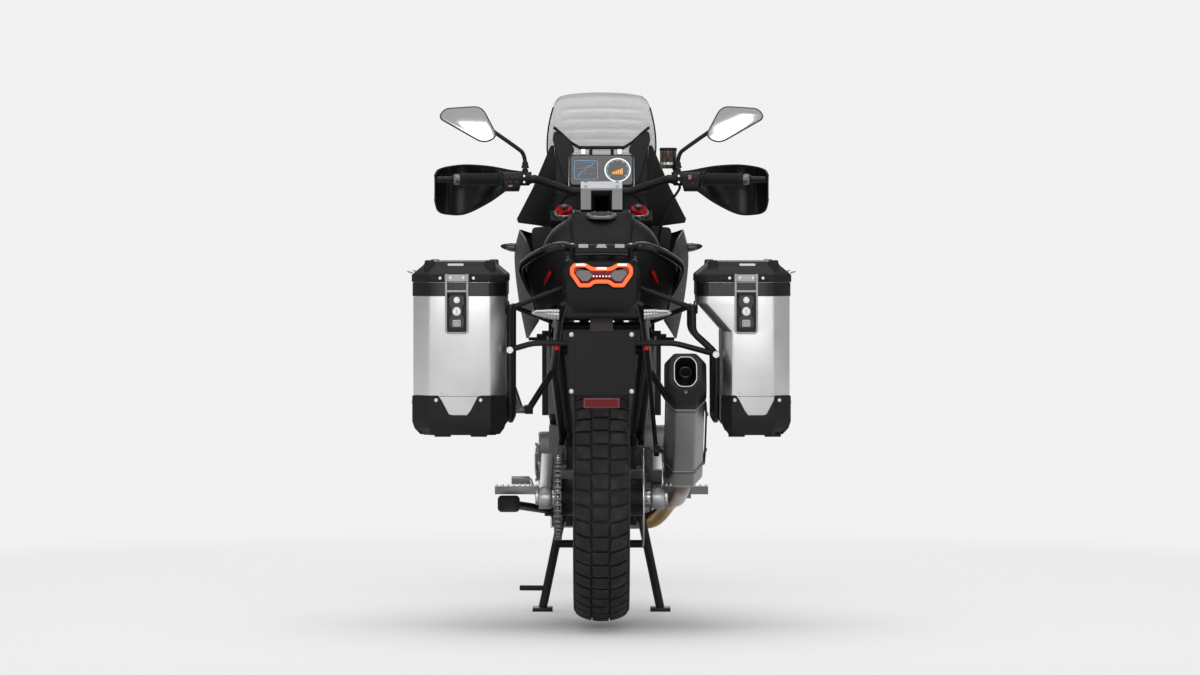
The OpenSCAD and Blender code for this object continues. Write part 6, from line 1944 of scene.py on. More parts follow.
@dataclass
class Bodywork(Assembly):
    """Screen, its support, shrouds, tail panels and fender.

    Attributes:
        cowl_y: Y of the cowl's rear edge.
        head_z: Height of the steering head.
        head_y: Y of the steering head.
        tank_front: Y of the tank's front.
    """

    cowl_y: float = 600.67
    head_z: float = 980.0
    head_y: float = 450.67
    tank_front: float = 338.67

    def screen_point(self, u: Array, t: Array) -> Array:
        """Points of the screen.

        Across, u runs from -1 to 1 along an arc; up, t runs from 0 to 1. The half width swells below
        0.45 and narrows above it, the sides sag back by a cosine of u, and the edges drop with its
        square.
        """
        half = np.where(
            t < 0.45, 0.80 + 0.20 * np.sin(np.radians(200 * t)), 1 - 0.17 * ((t - 0.45) / 0.55) ** 2
        ) * 163
        sag = 78 * (1 - np.cos(np.radians(64 * u))) * (1.15 - 0.35 * t)
        return np.stack(
            [
                half * np.sin(np.radians(82 * u)) / math.sin(math.radians(82)),
                self.cowl_y + 96 - 150 * t - sag,
                self.head_z + 226 + 272 * t - 26 * u * u * (0.2 + t * 0.6)
            ],
            -1
        )

    def screen(self) -> None:
        """The smoked screen with a rolled rim and faint moulded ribs, and its screws."""
        u, t = np.meshgrid(np.linspace(-1, 1, 61), np.linspace(0, 1, 61), indexing="ij")
        # corners rounded: near the top corners the height is pulled down
        t2 = t - 0.05 * np.clip(np.abs(u) - 0.7, 0, 1) ** 2 / 0.09 * np.clip(t - 0.8, 0, 1) / 0.2
        front = self.screen_point(u, t2)
        edge = np.minimum(1.0, np.minimum(1 - np.abs(u), np.minimum(t, 1 - t)) * 26)
        thick = 3.4 * (0.45 + 0.55 * edge)
        rib = 0.7 * np.exp(
            -(((t2 % 0.11) - 0.055) / 0.012) ** 2
        ) * (np.abs(u) < 0.62) * (t2 > 0.15) * (t2 < 0.88)
        y_only = np.array([0, 1.0, 0])
        back = front - y_only * thick[..., None] - y_only * rib[..., None]
        self.put("screen_panel", between(front, back), SCREEN, "screen", ("windscreen",), 50)
        rim = []
        for edge_u in (-1.0, 1.0):
            tt = np.linspace(0.02, 0.9, 30)
            p = self.screen_point(np.full_like(tt, edge_u * 0.985), tt)
            rim.append(tube(p - [0, 1.7, 0], 2.3, 8))
        self.put("screen_trim", joined(rim), GLOSS, "body_gloss")
        spots = self.screen_point(
            np.array([-0.62, 0.62, -0.62, 0.62]), np.array([0.13, 0.13, 0.34, 0.34])
        )
        wash = joined(
            [
                lathe(
                    [(1, 0), (8, 0), (8, 2.0), (6.6, 3.0), (1, 3.0)], p - [0, 3.6, 0], (0, -1, 0.1), 20
                )
                for p in spots
            ]
        )
        self.put("screen_washers", wash, RUBBER, "rubber")
        self.put("screen_screws", screws(spots - [0, 6.4, 0], (0, -1, 0.1), 4.5, 2.5), STEEL, "steel")

    def supports(self) -> None:
        """The screen's brackets and silver bar, the wings' corners and the panel behind the forks."""
        arm = np.array(
            [
                [142, 1362], [118, 1362], [82, 1314], [82, 1298], [97, 1290], [99, 1206], [108, 1206],
                [132, 1290], [146, 1336]
            ],
            float
        )
        corner = np.array([[140, 1316], [136, 1200], [136, 1176], [98, 1176], [98, 1206]], float)
        panel = np.array(
            [
                [64, 1178], [136, 1178], [136, 1082], [206, 1076], [212, 1050], [204, 1000], [150, 962],
                [64, 962]
            ],
            float
        )
        parts = [
            back_prism(rounded(arm, 5, 3), 576, 567, 1.5), back_prism(corner, 604, 599, 0.8),
            back_prism(rounded(panel, 8, 3), 620, 614, 1.5)
        ]
        self.put("cowl_supports", joined(parts).both(), POWDER, "body_black", angle=40)
        bar = back_prism(rectangle(120, 11, 3, 3), 580, 566, 1.5, (0, 0, 1312))
        feet = joined(
            [back_prism(rectangle(16, 20, 3, 3), 584, 564, 1.5, (x, 0, 1303)) for x in (-54, 54)]
        )
        self.put("screen_cross_bar", bar + feet, MACHINED, "bare_aluminium")

    def side_panels(self) -> None:
        """Curved panels from under the saddle out to the grab rails, and the rails themselves."""
        rows = np.array(
            [
                [
                    [116, -420, 960], [166, -540, 984], [206, -690, 974], [160, -850, 1002],
                    [96, -905, 1018]
                ],
                [
                    [116, -420, 905], [162, -540, 920], [196, -680, 918], [158, -815, 944],
                    [100, -890, 968]
                ],
                [
                    [116, -420, 838], [146, -540, 838], [172, -680, 842], [136, -800, 862],
                    [98, -860, 880]
                ]
            ],
            float
        )
        outer = fine_sheet(rows, 12)
        self.put(
            "tail_side_panels", between(outer, outer - [4, 0, 0]).both(), MOULDED, "body_black",
            angle=50
        )
        path = spline(
            np.array(
                [
                    [78, -900, 1017], [110, -906, 1024], [160, -874, 1008], [200, -800, 985],
                    [214, -730, 968], [208, -680, 938], [186, -650, 896], [150, -640, 868]
                ],
                float
            ),
            10
        )
        self.put(
            "grab_rails", tube(path, 11.5, 16, (0, 0, 1), 0.8).both(), GLOSS, "body_black", angle=60
        )

    def shrouds(self) -> None:
        """The two side shrouds, as smooth sheets through their rows of points, with their screws."""
        tf, hy, hz, cy = self.tank_front, self.head_y, self.head_z, self.cowl_y
        rows = np.array(
            [
                [
                    [204, tf - 170, hz + 10], [226, tf - 40, hz + 62], [244, hy + 30, hz + 88],
                    [228, hy + 128, hz + 84], [154, cy + 150, hz + 60]
                ],
                [
                    [206, tf - 176, hz - 60], [236, tf - 60, hz - 20], [258, hy + 20, hz + 10],
                    [240, hy + 124, hz + 30], [158, cy + 160, hz + 10]
                ],
                [
                    [198, tf - 150, hz - 130], [226, tf - 50, hz - 110], [246, hy - 10, hz - 110],
                    [226, hy + 70, hz - 70], [162, cy + 120, hz - 30]
                ],
                [
                    [186, tf - 110, hz - 176], [208, tf - 40, hz - 210], [222, hy - 50, hz - 230],
                    [212, hy + 20, hz - 180], [168, hy + 96, hz - 90]
                ]
            ],
            float
        )
        outer = fine_sheet(rows, 10)
        inner = outer - [5, 0, 0]
        pins = []
        for y, z, x0, x1 in ((tf - 110, hz - 40, 140, 232), (self.head_y + 6, 746, 164, 222)):
            pins.append(rod((x0, y, z), (x1 - 6, y, z), 5.0))
        self.put(
            "side_shrouds", (between(outer, inner) + joined(pins)).both(), PAINT, "body_gloss",
            ("shrouds",), 40
        )
        pick = np.array([[8, 6], [18, 12], [24, 30]])
        spots = outer[pick[:, 0], pick[:, 1]]
        self.put("shroud_screws", screws(spots, (1, 0, 0), 5, 2.4).both(), DARK_STEEL, "dark_steel")

    def fender_point(self, k: Array, u: Array, o: float) -> Array:
        """Points over the front tyre: k steps round it, u goes across, o is the distance above it."""
        a = np.radians(12.5 * k - 42)
        half = 62 - 10 * ((k - 5) / 6) ** 2
        r = 347 + o + 8 - 26 * u * u
        return np.stack([half * u, 832 - r * np.sin(a), 347 + r * np.cos(a)], -1)

    def fender(self) -> None:
        """A smooth skin over the CAD fender's own shape, with a raised middle."""
        k, u = np.meshgrid(np.linspace(-0.05, 11.05, 70), np.linspace(-1, 1, 25), indexing="ij")
        lift = 2.0 * np.exp(-((u / 0.32) ** 4))
        outer = self.fender_point(k, u, 24.4)
        a = np.radians(12.5 * k - 42)
        outer = outer + lift[..., None] * np.stack([0 * a, -np.sin(a), np.cos(a)], -1)
        inner = self.fender_point(k, u, 21.5)
        self.put("fender_skin", between(outer, inner), PAINT, "body_gloss", angle=50, body="steering")

    def build(self) -> None:
        """Makes screen, shrouds and fender."""
        self.screen()
        self.supports()
        self.side_panels()
        self.shrouds()
        self.fender()


# ---------------------------------------------------------------- cockpit


@dataclass
class Cockpit(Assembly):
    """Grips, switches, guards, mirrors, display and the clamps.

    Attributes:
        body: The body that all but the display rides on.
        inner: Where the bar's outer part starts.
        outer: Where it ends.
        grip: How far out the grip starts, and its length.
    """

    body: str = "steering"
    inner: Point = (208.0, 314.0, 1217.0)
    outer: Point = (436.0, 268.0, 1215.0)
    grip: tuple[float, float] = (296.0, 116.0)

    def on_bar(self, x: float) -> Array:
        """A point of the bar's outer part at one X."""
        p, q = np.array(self.inner), np.array(self.outer)
        return p + (q - p) * (x - p[0]) / (q[0] - p[0])

    def grips(self) -> None:
        """Rubber grips with rows of blocks between two collars, and the bar-end weights."""
        g0, length = self.grip
        way = unit(np.subtract(self.outer, self.inner))
        prof = [(13, 0), (22, 0), (23, 1.5), (23, 4.5), (21.5, 6), (17.2, 7)]
        z = 9.0
        while z < length - 12:
            prof += [(17.0, z), (18.3, z + 0.7), (18.3, z + 3.6), (17.0, z + 4.3)]
            z += 5.6
        prof += [(17.4, length - 7), (19, length - 5.5), (19, length - 1), (18, length), (13, length)]
        grip = lathe(prof, self.on_bar(g0), way, 40)
        self.put("bar_grips", grip.both(), RUBBER, "rubber", angle=28)
        end = lathe(
            [(3, 0), (15, 0), (16, 2), (16, 14), (13, 18), (6, 19), (6, 15), (3, 15)],
            self.on_bar(g0 + length + 3), way, 32
        )
        self.put("bar_weights", end.both(), DARK_STEEL, "dark_steel")

    def switches(self) -> None:
        """Buttons on both housings, the fluid reservoir and perch screws."""
        c = self.on_bar(self.grip[0] - 32)
        keys, red = [], []
        for dx, dz, w, h in (
            (-16, 4, 11, 7), (-3, 4, 9, 7), (10, 4, 9, 7), (-14, -8, 13, 8), (2, -8, 12, 8),
            (14, -10, 8, 6)
        ):
            p = c * [-1, 1, 1] + [-dx, -21.5, dz]
            keys.append(
                prism(rectangle(w, h, 1.8, 3), 0, 4.0, 0.9).placed(
                    tuple(p), (1, 0, 0), (0, 0, 1), (0, -1, 0)
                )
            )
        p = c * [-1, 1, 1] + [-2, -21.5, -20]
        red.append(
            prism(rectangle(13, 7, 2, 3), 0, 4.6, 0.9).placed(
                tuple(p), (1, 0, 0), (0, 0, 1), (0, -1, 0)
            )
        )
        p = c + [-6, -21.5, 6]
        red.append(
            prism(rectangle(11, 14, 2, 3), 0, 5.0, 1.0).placed(
                tuple(p), (1, 0, 0), (0, 0, 1), (0, -1, 0)
            )
        )
        for dx, dz in ((9, 5), (2, -13)):
            keys.append(
                prism(rectangle(10, 8, 2, 3), 0, 4.0, 0.9).placed(
                    tuple(c + [dx, -21.5, dz]), (1, 0, 0), (0, 0, 1), (0, -1, 0)
                )
            )
        self.put("switch_buttons", joined(keys), GREY_MOULDED, "body_black", angle=30)
        self.put("switch_red_keys", joined(red), RED_LENS, "body_black", angle=30)
        r = self.on_bar(196) + [0, 40, 32]
        cap = lathe(
            [(2, 51), (24.6, 51), (25.6, 52), (25.6, 59), (24, 60.5), (2, 60.5)], r, (0, 0, 1), 40
        )
        pot = lathe([(2, -0.5), (23.5, -0.5), (24.4, 1), (24.4, 51), (2, 51)], r, (0, 0, 1), 40)
        self.put("reservoir_pot", pot, AMBER, "body_black")
        self.put("reservoir_cap", cap, MOULDED, "body_black", angle=28)
        band = lathe([(24.3, 10), (25.0, 10.4), (25.0, 17.6), (24.3, 18)], r, (0, 0, 1), 40)
        spots = [self.on_bar(self.grip[0] - 70) + [0, -20.5, dz] for dz in (-9, 9)]
        heads = screws(np.array(spots), (0, -1, 0), 3.6, 2.6).both()
        self.put("cockpit_metal", joined([band, heads]), STEEL, "steel")

    def guards(self) -> None:
        """Hand guards as smooth bowed sheets with a rolled rim."""
        q = np.array(
            [
                [206, 80, 20, -12], [262, 104, 26, -22], [330, 118, 38, -66], [400, 106, 42, -100],
                [452, 76, 36, -102], [480, 28, 26, -92], [488, -20, 10, -60]
            ],
            float
        )
        q = spline(q, 8)
        s = np.linspace(0, 1, 21)[None]
        x = np.broadcast_to(q[:, :1], (len(q), 21))
        y = 292 + q[:, 1:2] - 10 * (2 * s - 1) ** 2
        z = 1217 + q[:, 2:3] + (q[:, 3:4] - q[:, 2:3]) * s
        outer = np.stack([x, y, z], -1)
        du, dv = np.gradient(outer, axis=0), np.gradient(outer, axis=1)
        n = unit(np.cross(du, dv))
        n = np.where((n @ np.array([0.4, 1, 0]))[..., None] < 0, -n, n)
        skin = between(outer, outer - 4.0 * n)
        top = tube(outer[:, 0] - 2.0 * n[:, 0], 3.0, 8)
        low = tube(outer[:, -1] - 2.0 * n[:, -1], 3.0, 8)
        self.put("guard_skins", skin.both(), GLOSS, "body_gloss", angle=50)
        self.put("guard_rims", (top + low).both(), MOULDED, "body_black")

    def mirrors(self) -> None:
        """Angular mirrors: a dished back, a thin rim and the glass, on a curved stalk with its nut."""
        foot = self.on_bar(224) + [0, 26, 30.3]
        o = np.array(
            [[87, 97], [107, 83], [130, 83], [248, 151], [232, 172], [140, 178], [124, 168]], float
        )
        tilt = math.radians(-10)
        v, w = np.array(
            [0, math.sin(tilt) * -1, math.cos(tilt)]
        ), np.array([0, -math.cos(tilt), -math.sin(tilt)])
        c = o.mean(0)
        flat = inset(rounded(o, 12, 6), -6)
        base = foot + [c[0], -20, c[1]]

        def ring(by: float, depth: float) -> Array:
            p = inset(flat, by) - c
            return base + p[:, :1] * np.array([1.0, 0, 0]) + p[:, 1:] * v + depth * w

        shell = rings(
            np.stack(
                [ring(0.8, 6.0), ring(0, 5.0), ring(0, -2), ring(3, -7), ring(12, -13), ring(22, -15.5)]
            )
        )
        rim = rings(
            np.stack([ring(0.9, 5.0), ring(1.2, 7.4), ring(3.4, 7.4), ring(3.7, 5.0)]), loop=True
        )
        glass = rings(np.stack([ring(3.6, 4.6), ring(3.6, 6.4), ring(4.2, 6.6)]))
        stalk = spline(
            np.array(
                [
                    foot, foot + [0, 0, 20], foot + [6, -2, 44], foot + [22, -6, 60],
                    foot + [96, -12, 112]
                ]
            ),
            8
        )
        arm = tube(stalk, 6.0, 16)
        nut = lathe(
            [(6, 0), (11, 0), (11, 7), (9.5, 8), (6, 8)], foot + [0, 0, 2], (0, 0, 1), 6
        ) + lathe([(5, 8), (9.4, 8.4), (8.6, 18), (6, 19)], foot + [0, 0, 2], (0, 0, 1), 24)
        self.put(
            "mirror_shells", (shell + rim).both(), replace(GLOSS, name="mirror_black"), "mirror_black",
            ("mirrors",), 30
        )
        self.put("mirror_glass", glass.both(), MIRROR, "mirror_black", angle=30)
        self.put("mirror_stalks", (arm + nut).both(), POWDER, "frame")

    def forks(self) -> None:
        """Red caps and their adjusters on pale tube tops, pinch bolts and clamp bolts."""
        caps, tops, adj = [], [], []
        axis = unit(steer([0, 0, 1]) - steer([0, 0, 0]))
        for s in (-1, 1):
            c = steer([s * 110, 30, 107 + 26])
            tops.append(
                lathe(
                    [(20, 0.4), (29.5, 0.4), (29.5, 11), (28.2, 12.6), (20, 12.6)], c, axis, 48,
                    loop=True
                )
            )
            caps.append(
                lathe(
                    [(2, 12), (26, 12), (26, 17), (23.4, 23.4), (13, 23.4), (12, 21.5), (2, 21.5)], c,
                    axis, 48
                )
            )
            adj.append(lathe([(1, 21), (10.8, 21), (10.8, 31), (9.6, 32.6), (1, 32.6)], c, axis, 6))
        self.put("fork_caps", joined(caps), RED, "dark_steel")
        self.put("fork_tops", joined(tops), STEEL, "steel")
        self.put("fork_adjusters", joined(adj), DARK_STEEL, "dark_steel")
        spots = np.array(
            [
                steer([sx * 46 + dx, 20 + dv, 216 + 20.6])
                for sx in (-1, 1)
                for dx in (0,)
                for dv in (-15, 15)
            ]
        )
        more = np.array([steer([0, -7, 107 + 26 + 8])])
        self.put(
            "clamp_bolts",
            screws(spots, axis, 5.2, 4.0) + lathe(
                [(4, 0), (19, 0), (19, 5), (17, 7), (9, 7), (8, 4), (4, 4)], more[0] - axis * 1.5, axis,
                6
            ),
            STEEL, "steel"
        )

    def display(self) -> None:
        """The instrument: a dial with a ring, ticks and a plain field, and a route box beside it."""
        c = np.array([0, 532.7, 1242.0])
        t = math.radians(24)
        v, w = np.array([0, math.sin(t), math.cos(t)]), np.array([0, -math.cos(t), math.sin(t)])
        face = c + w * 10.2
        u = np.array([1.0, 0, 0])

        def upright(shape: Shape) -> Shape:
            return shape.placed(tuple(face), u, v, w)

        glass = upright(prism(rectangle(184, 96, 12, 6), 0.0, 1.6, 0.6))
        self.put(
            "display_glass", glass,
            Finish("display_black", (0.004, 0.005, 0.007), 0.08, coat=1.0, vary=0.02), "body_black",
            angle=40, body="chassis"
        )
        ring = lathe(
            [(35, 1.2), (36, 2.4), (38.5, 2.4), (39.5, 1.2)], (48, 0, 0), (0, 0, 1), 64, loop=True
        )
        ticks = []
        for k in range(25):
            a = math.radians(-130 + 260 * k / 24)
            r0, r1 = (28 if k % 3 == 0 else 31), 34
            p0, p1 = (np.array([48 + r * math.sin(a), r * math.cos(a), 1.9]) for r in (r0, r1))
            ticks.append(rod(p0, p1, 0.55, n=6, edge=0.2))
        bars = [
            prism(
                rectangle(3.6, 8 + 2.2 * k, 0.6, 2) + [34 + 5.4 * k, -14 + (8 + 2.2 * k) / 2], 1.4, 2.2,
                0.2
            )
            for k in range(6)
        ]
        self.put("display_dial", upright(joined([ring, *ticks])), DIAL_WHITE, "lamp", body="chassis")
        self.put("display_bars", upright(joined(bars)), DIAL_AMBER, "lamp", body="chassis")
        box = frame_prism(rectangle(70, 62, 5, 4) + [-46, 0], 1.4, 1.2, 2.4, 0.2)
        route = tube(
            spline(
                np.array(
                    [
                        [-70, -24, 2.0], [-62, -8, 2.0], [-50, -4, 2.0], [-44, 10, 2.0], [-30, 14, 2.0],
                        [-22, 24, 2.0]
                    ],
                    float
                ),
                6
            ),
            0.9, 6
        )
        lines = [rod((-76, y, 1.9), (-18, y + 6, 1.9), 0.35, n=6, edge=0.1) for y in (-16, 4, 20)]
        self.put(
            "display_map", upright(joined([box, route, *lines])), DIAL_BLUE, "lamp", body="chassis"
        )

    def build(self) -> None:
        """Makes all pieces of the cockpit."""
        self.grips()
        self.switches()
        self.guards()
        self.mirrors()
        self.forks()
        self.display()


# ---------------------------------------------------------------- running gear and engine


@dataclass
class FrontLights(Assembly):
    """Headlight and front indicators.

    Attributes:
        face: Y of the headlight's rear face.
        height: Height of its middle.
        indicator_root: Where the right indicator starts.
        indicator_tip: A point further out on its axis.
    """

    face: float = 829.0
    height: float = 1000.0
    indicator_root: Point = (257.0, 542.7, 1016.0)
    indicator_tip: Point = (296.0, 538.7, 1020.0)

    def build(self) -> None:
        """Makes the bowl, its projector and lens, and the indicators with their lenses."""
        at, way = (0.0, self.face, self.height), (0, 1, 0)
        bowl = lathe(
            [(8, 0), (47, 0), (48, 1.5), (46, 7), (42, 12), (34, 12), (20, 5), (8, 4)], at, way, 48
        )
        self.put("headlight_bowl", bowl, REFLECTOR, "lamp", ("lights",), 30)
        self.put(
            "headlight_projector",
            lathe([(2, 4), (19, 4), (19, 13), (16, 16), (8, 18), (2, 18.6)], at, way, 40), LENS, "lamp"
        )
        ring = lathe(
            [(42, 11), (47.6, 8), (47.6, 12), (40, 18), (33, 19.8), (31, 18)], at, way, 48, loop=True
        )
        self.put("headlight_ring", ring, GLOSS, "body_gloss")
        root = np.array(self.indicator_root)
        out = unit(np.array(self.indicator_tip) - root)
        body = lathe(
            [(4, -8), (11, -6), (13, 0), (12.4, 14), (9, 30), (6, 39), (2.5, 44)], root, out, 28
        )
        lens = lathe(
            [(11.6, 2), (13.4, 3), (12.9, 14), (9.6, 29), (9.0, 29)], root, out, 28, loop=True
        )
        self.put("front_indicators", body.both(), POWDER, "lamp")
        self.put("front_indicator_lenses", lens.both(), DARK_LENS, "lamp")


@dataclass
class Suspension(Assembly):
    """The rear shock with its coil and preload ring.

    Attributes:
        low: Lower eye.
        high: Upper eye.
    """

    low: Point = (0.0, -386.0, 422.0)
    high: Point = (0.0, -224.0, 720.0)

    def build(self) -> None:
        """Makes damper, coil, spring seats, rings and eyes."""
        p, q = np.array(self.low), np.array(self.high)
        way = unit(q - p)
        n = float(np.linalg.norm(q - p))
        body = lathe([(6, 0), (8, 2), (8, n * 0.5), (18, n * 0.52), (18, n * 0.95), (6, n)], p, way, 28)
        seats = [
            lathe([(9, a), (r, a), (r, a + 5), (r - 2, a + 7), (9, a + 7)], p, way, 32)
            for a, r in ((n * 0.13, 30), (n * 0.70, 30), (n * 0.74, 27), (n * 0.80, 25))
        ]
        self.put("shock_body", body + joined(seats), STEEL, "steel", ("rear_shock",))
        self.put(
            "shock_coil",
            coil(tuple(p + way * (n * 0.13 + 11)), tuple(p + way * (n * 0.70 - 4)), 24.5, 5.4, 6.5, 10),
            RED_COIL, "dark_steel", angle=80
        )
        eyes = joined(
            [
                lathe(
                    [(8, -12), (14, -12), (14, 12), (8, 12)], e, (1, 0, 0), 28, loop=True
                ) + lathe([(2, -13), (8.5, -13), (8.5, 13), (2, 13)], e, (1, 0, 0), 20)
                for e in (p, q)
            ]
        )
        self.put("shock_eyes", eyes, DARK_STEEL, "dark_steel")


@dataclass
class Exhaust(Assembly):
    """Header pipes, collector and link pipe as smooth tubes.

    Attributes:
        cylinder: Y and Z of the cylinders' foot.
        lean: Their forward lean in degrees.
        collector: Where the pipes meet.
    """

    cylinder: tuple[float, float] = (128.0, 518.0)
    lean: float = 14.0
    collector: Point = (48.0, -90.0, 243.5)

    def beside(self, x: float, v: float, w: float) -> Array:
        """A point v ahead of the cylinders' middle and w up along them."""
        a = math.radians(self.lean)
        return np.array(
            [
                x, self.cylinder[0] + v * math.cos(a) + w * math.sin(a),
                self.cylinder[1] - v * math.sin(a) + w * math.cos(a)
            ]
        )

    def build(self) -> None:
        """Makes three headers, the link pipe, the flanges and the weld beads."""
        cy, cz = self.cylinder
        col = np.array(self.collector)
        pipes, flanges, beads = [], [], []
        for x in (-100.0, 0.0, 100.0):
            pts = np.array(
                [
                    self.beside(x, 97, 178), self.beside(x, 108, 178), self.beside(x, 128, 178),
                    [x * 0.92, cy + 192, cz + 90], [x * 0.74, cy + 190, cz - 20],
                    [x * 0.6, cy + 170, cz - 150], [x * 0.5, cy + 160, 268 + 62],
                    [x * 0.4 + 10, cy + 120, 272], [x * 0.36 + 20, cy + 60, col[2] + 1],
                    [x * 0.3 + 30, cy - 60, col[2]], col
                ]
            )
            pipes.append(tube(spline(pts, 8), 20.6, 24))
            d = unit(pts[1] - pts[0])
            flanges.append(lathe([(18, 0), (30, 0), (31, 1), (31, 8), (30, 9), (18, 9)], pts[0], d, 32))
            beads.append(lathe([(20.4, 0), (22.4, 1), (22.4, 3), (20.4, 4)], pts[0] + d * 11, d, 32))
        low, way = np.array([222.0, -588, 394]), unit(np.array([0.0, -398, 296]))
        link = np.array(
            [
                col + [0, 24, 0], col + [10, -12, 0], [96, -132, col[2]], [150, -154, col[2] + 8],
                [194, -234, 280], [212, -360, 324], low - way * 40, low + way * 4
            ]
        )
        link[4, 2] = link_bend_height()
        pipes.append(tube(spline(link, 8), 22.8, 28))
        beads.append(
            lathe([(22.6, 0), (25.5, 1.5), (25.5, 30), (24.5, 32), (22.6, 32)], low - way * 33, way, 36)
        )
        self.put("exhaust_pipes", joined(pipes + beads), HEATED, "steel", ("exhaust_headers",), 60)
        self.put("exhaust_flanges", joined(flanges), DARK_STEEL, "dark_steel")


def link_bend_height() -> float:
    """Height of the link pipe's middle bend, from the lowest point of the CAD pipes."""
    lo, _ = low_high("exhaust_headers")
    return float(lo[2]) + 23 + 63


@dataclass
class EngineTrims(Assembly):
    """Covers, fasteners and ribs on the engine, radiator and frame.

    Attributes:
        rear: Y of the crankcase's rear.
        pivot: Y and Z of the swingarm pivot.
        lean: How far the cylinders lean forward, in degrees.
        core_y: Y of the radiator's rear face.
        slats: Lowest slat, end of the slats, and their pitch.
    """

    rear: float = -134.0
    pivot: tuple[float, float] = (-190.0, 398.0)
    lean: float = 14.0
    core_y: float = 471.7
    slats: tuple[float, float, float] = (532.0, 760.0, 4.4)

    def ring_of(
        self, x: float, y: float, z: float, r: float, n: int, way: float
    ) -> tuple[Array, Array]:
        """Places of n screws on a circle round an axis along X, and their way."""
        a = (np.arange(n) + 0.5) * 2 * math.pi / n
        p = np.stack([np.full(n, x), y + r * np.cos(a), z + r * np.sin(a)], -1)
        return p, np.array([way, 0.0, 0.0])

    def build(self) -> None:
        """Makes cover rims, screws, oil plug, ribs, radiator slats and frame, and pivot caps."""
        y0, pz = self.rear, self.pivot[1]
        rims, heads = [], []
        for x, y, z, r, s, n in (
            (-188.0, y0 + 252, pz, 52, -1, 6), (-178.0, y0 + 252, pz, 83, -1, 9),
            (194.0, y0 + 130, pz + 4, 102, 1, 10), (176.0, y0 + 286, pz - 20, 60, 1, 7)
        ):
            p, way = self.ring_of(x, y, z, r, n, s)
            heads.append(screws(p, way, 5.2, 4))
            rims.append(
                lathe(
                    [(r - 12, 0), (r - 9, 2.2), (r - 11, 2.4), (r - 14, 0.4)][::-1], (x, y, z),
                    (s, 0, 0), 56, loop=True
                )
            )
        left = lathe(
            [(2, 0), (30, 0), (30, 3), (27, 5), (12, 5), (10, 3), (2, 3)], (-188, y0 + 252, pz),
            (-1, 0, 0), 40
        )
        right = lathe(
            [(2, 0), (34, 0), (34, 3.5), (30, 6), (14, 6), (12, 4), (2, 4)], (194, y0 + 130, pz + 4),
            (1, 0, 0), 40
        )
        oil = lathe(
            [(2, 0), (15, 0), (15, 9), (13, 11), (2, 11)], (194, y0 + 176, pz + 60), (1, 0, 0), 8
        )
        self.put("engine_cover_rims", joined([*rims, left, right]), MACHINED, "engine_case", angle=40)
        self.put("engine_oil_plug", oil, DARK_STEEL, "dark_steel")
        self.put("engine_screws", joined(heads), STEEL, "steel")
        a = math.radians(self.lean)
        fins = []
        for k in range(9):
            w = 20 + k * 11.0
            for s in (-1, 1):
                c = np.array(
                    [
                        s * 151.5, 128 + (-4) * math.cos(a) + w * math.sin(a),
                        518 + 4 * math.sin(a) + w * math.cos(a)
                    ]
                )
                fins.append(
                    prism(rectangle(3, 150, 1, 2), 0, 2.4, 0.5).placed(
                        tuple(c), (s, 0, 0), (0, math.cos(a), -math.sin(a)),
                        (0, math.sin(a), math.cos(a))
                    )
                )
        self.put("cylinder_ribs", joined(fins), CASTING, "engine_case")
        yr = self.core_y
        slat = [
            block((-150, yr - 4.0, zz), (150, yr - 1.2, zz + 1.0), 0.3, 0.2)
            for zz in np.arange(*self.slats)
        ]
        frame_r = frame_prism(
            rectangle(312, 244, 6, 4), 9, -yr - 0.6, -yr + 3, 0.8
        ).placed((0, 0, 645), (1, 0, 0), (0, 0, 1), (0, -1, 0))
        self.put("radiator_slats", joined(slat), DARK_STEEL, "dark_steel")
        self.put("radiator_frame", frame_r, MOULDED, "body_black")
        y, z0 = self.pivot
        _, hi = low_high("swingarm")
        caps = [
            lathe(
                [(4, 0), (16, 0), (17, 1.5), (17, 6), (15, 8), (9, 8), (8, 5), (4, 5)],
                (s * (hi[0] + 0.2), y, z0), (s, 0, 0), 6
            )
            for s in (-1, 1)
        ]
        self.put("pivot_caps", joined(caps), STEEL, "steel")


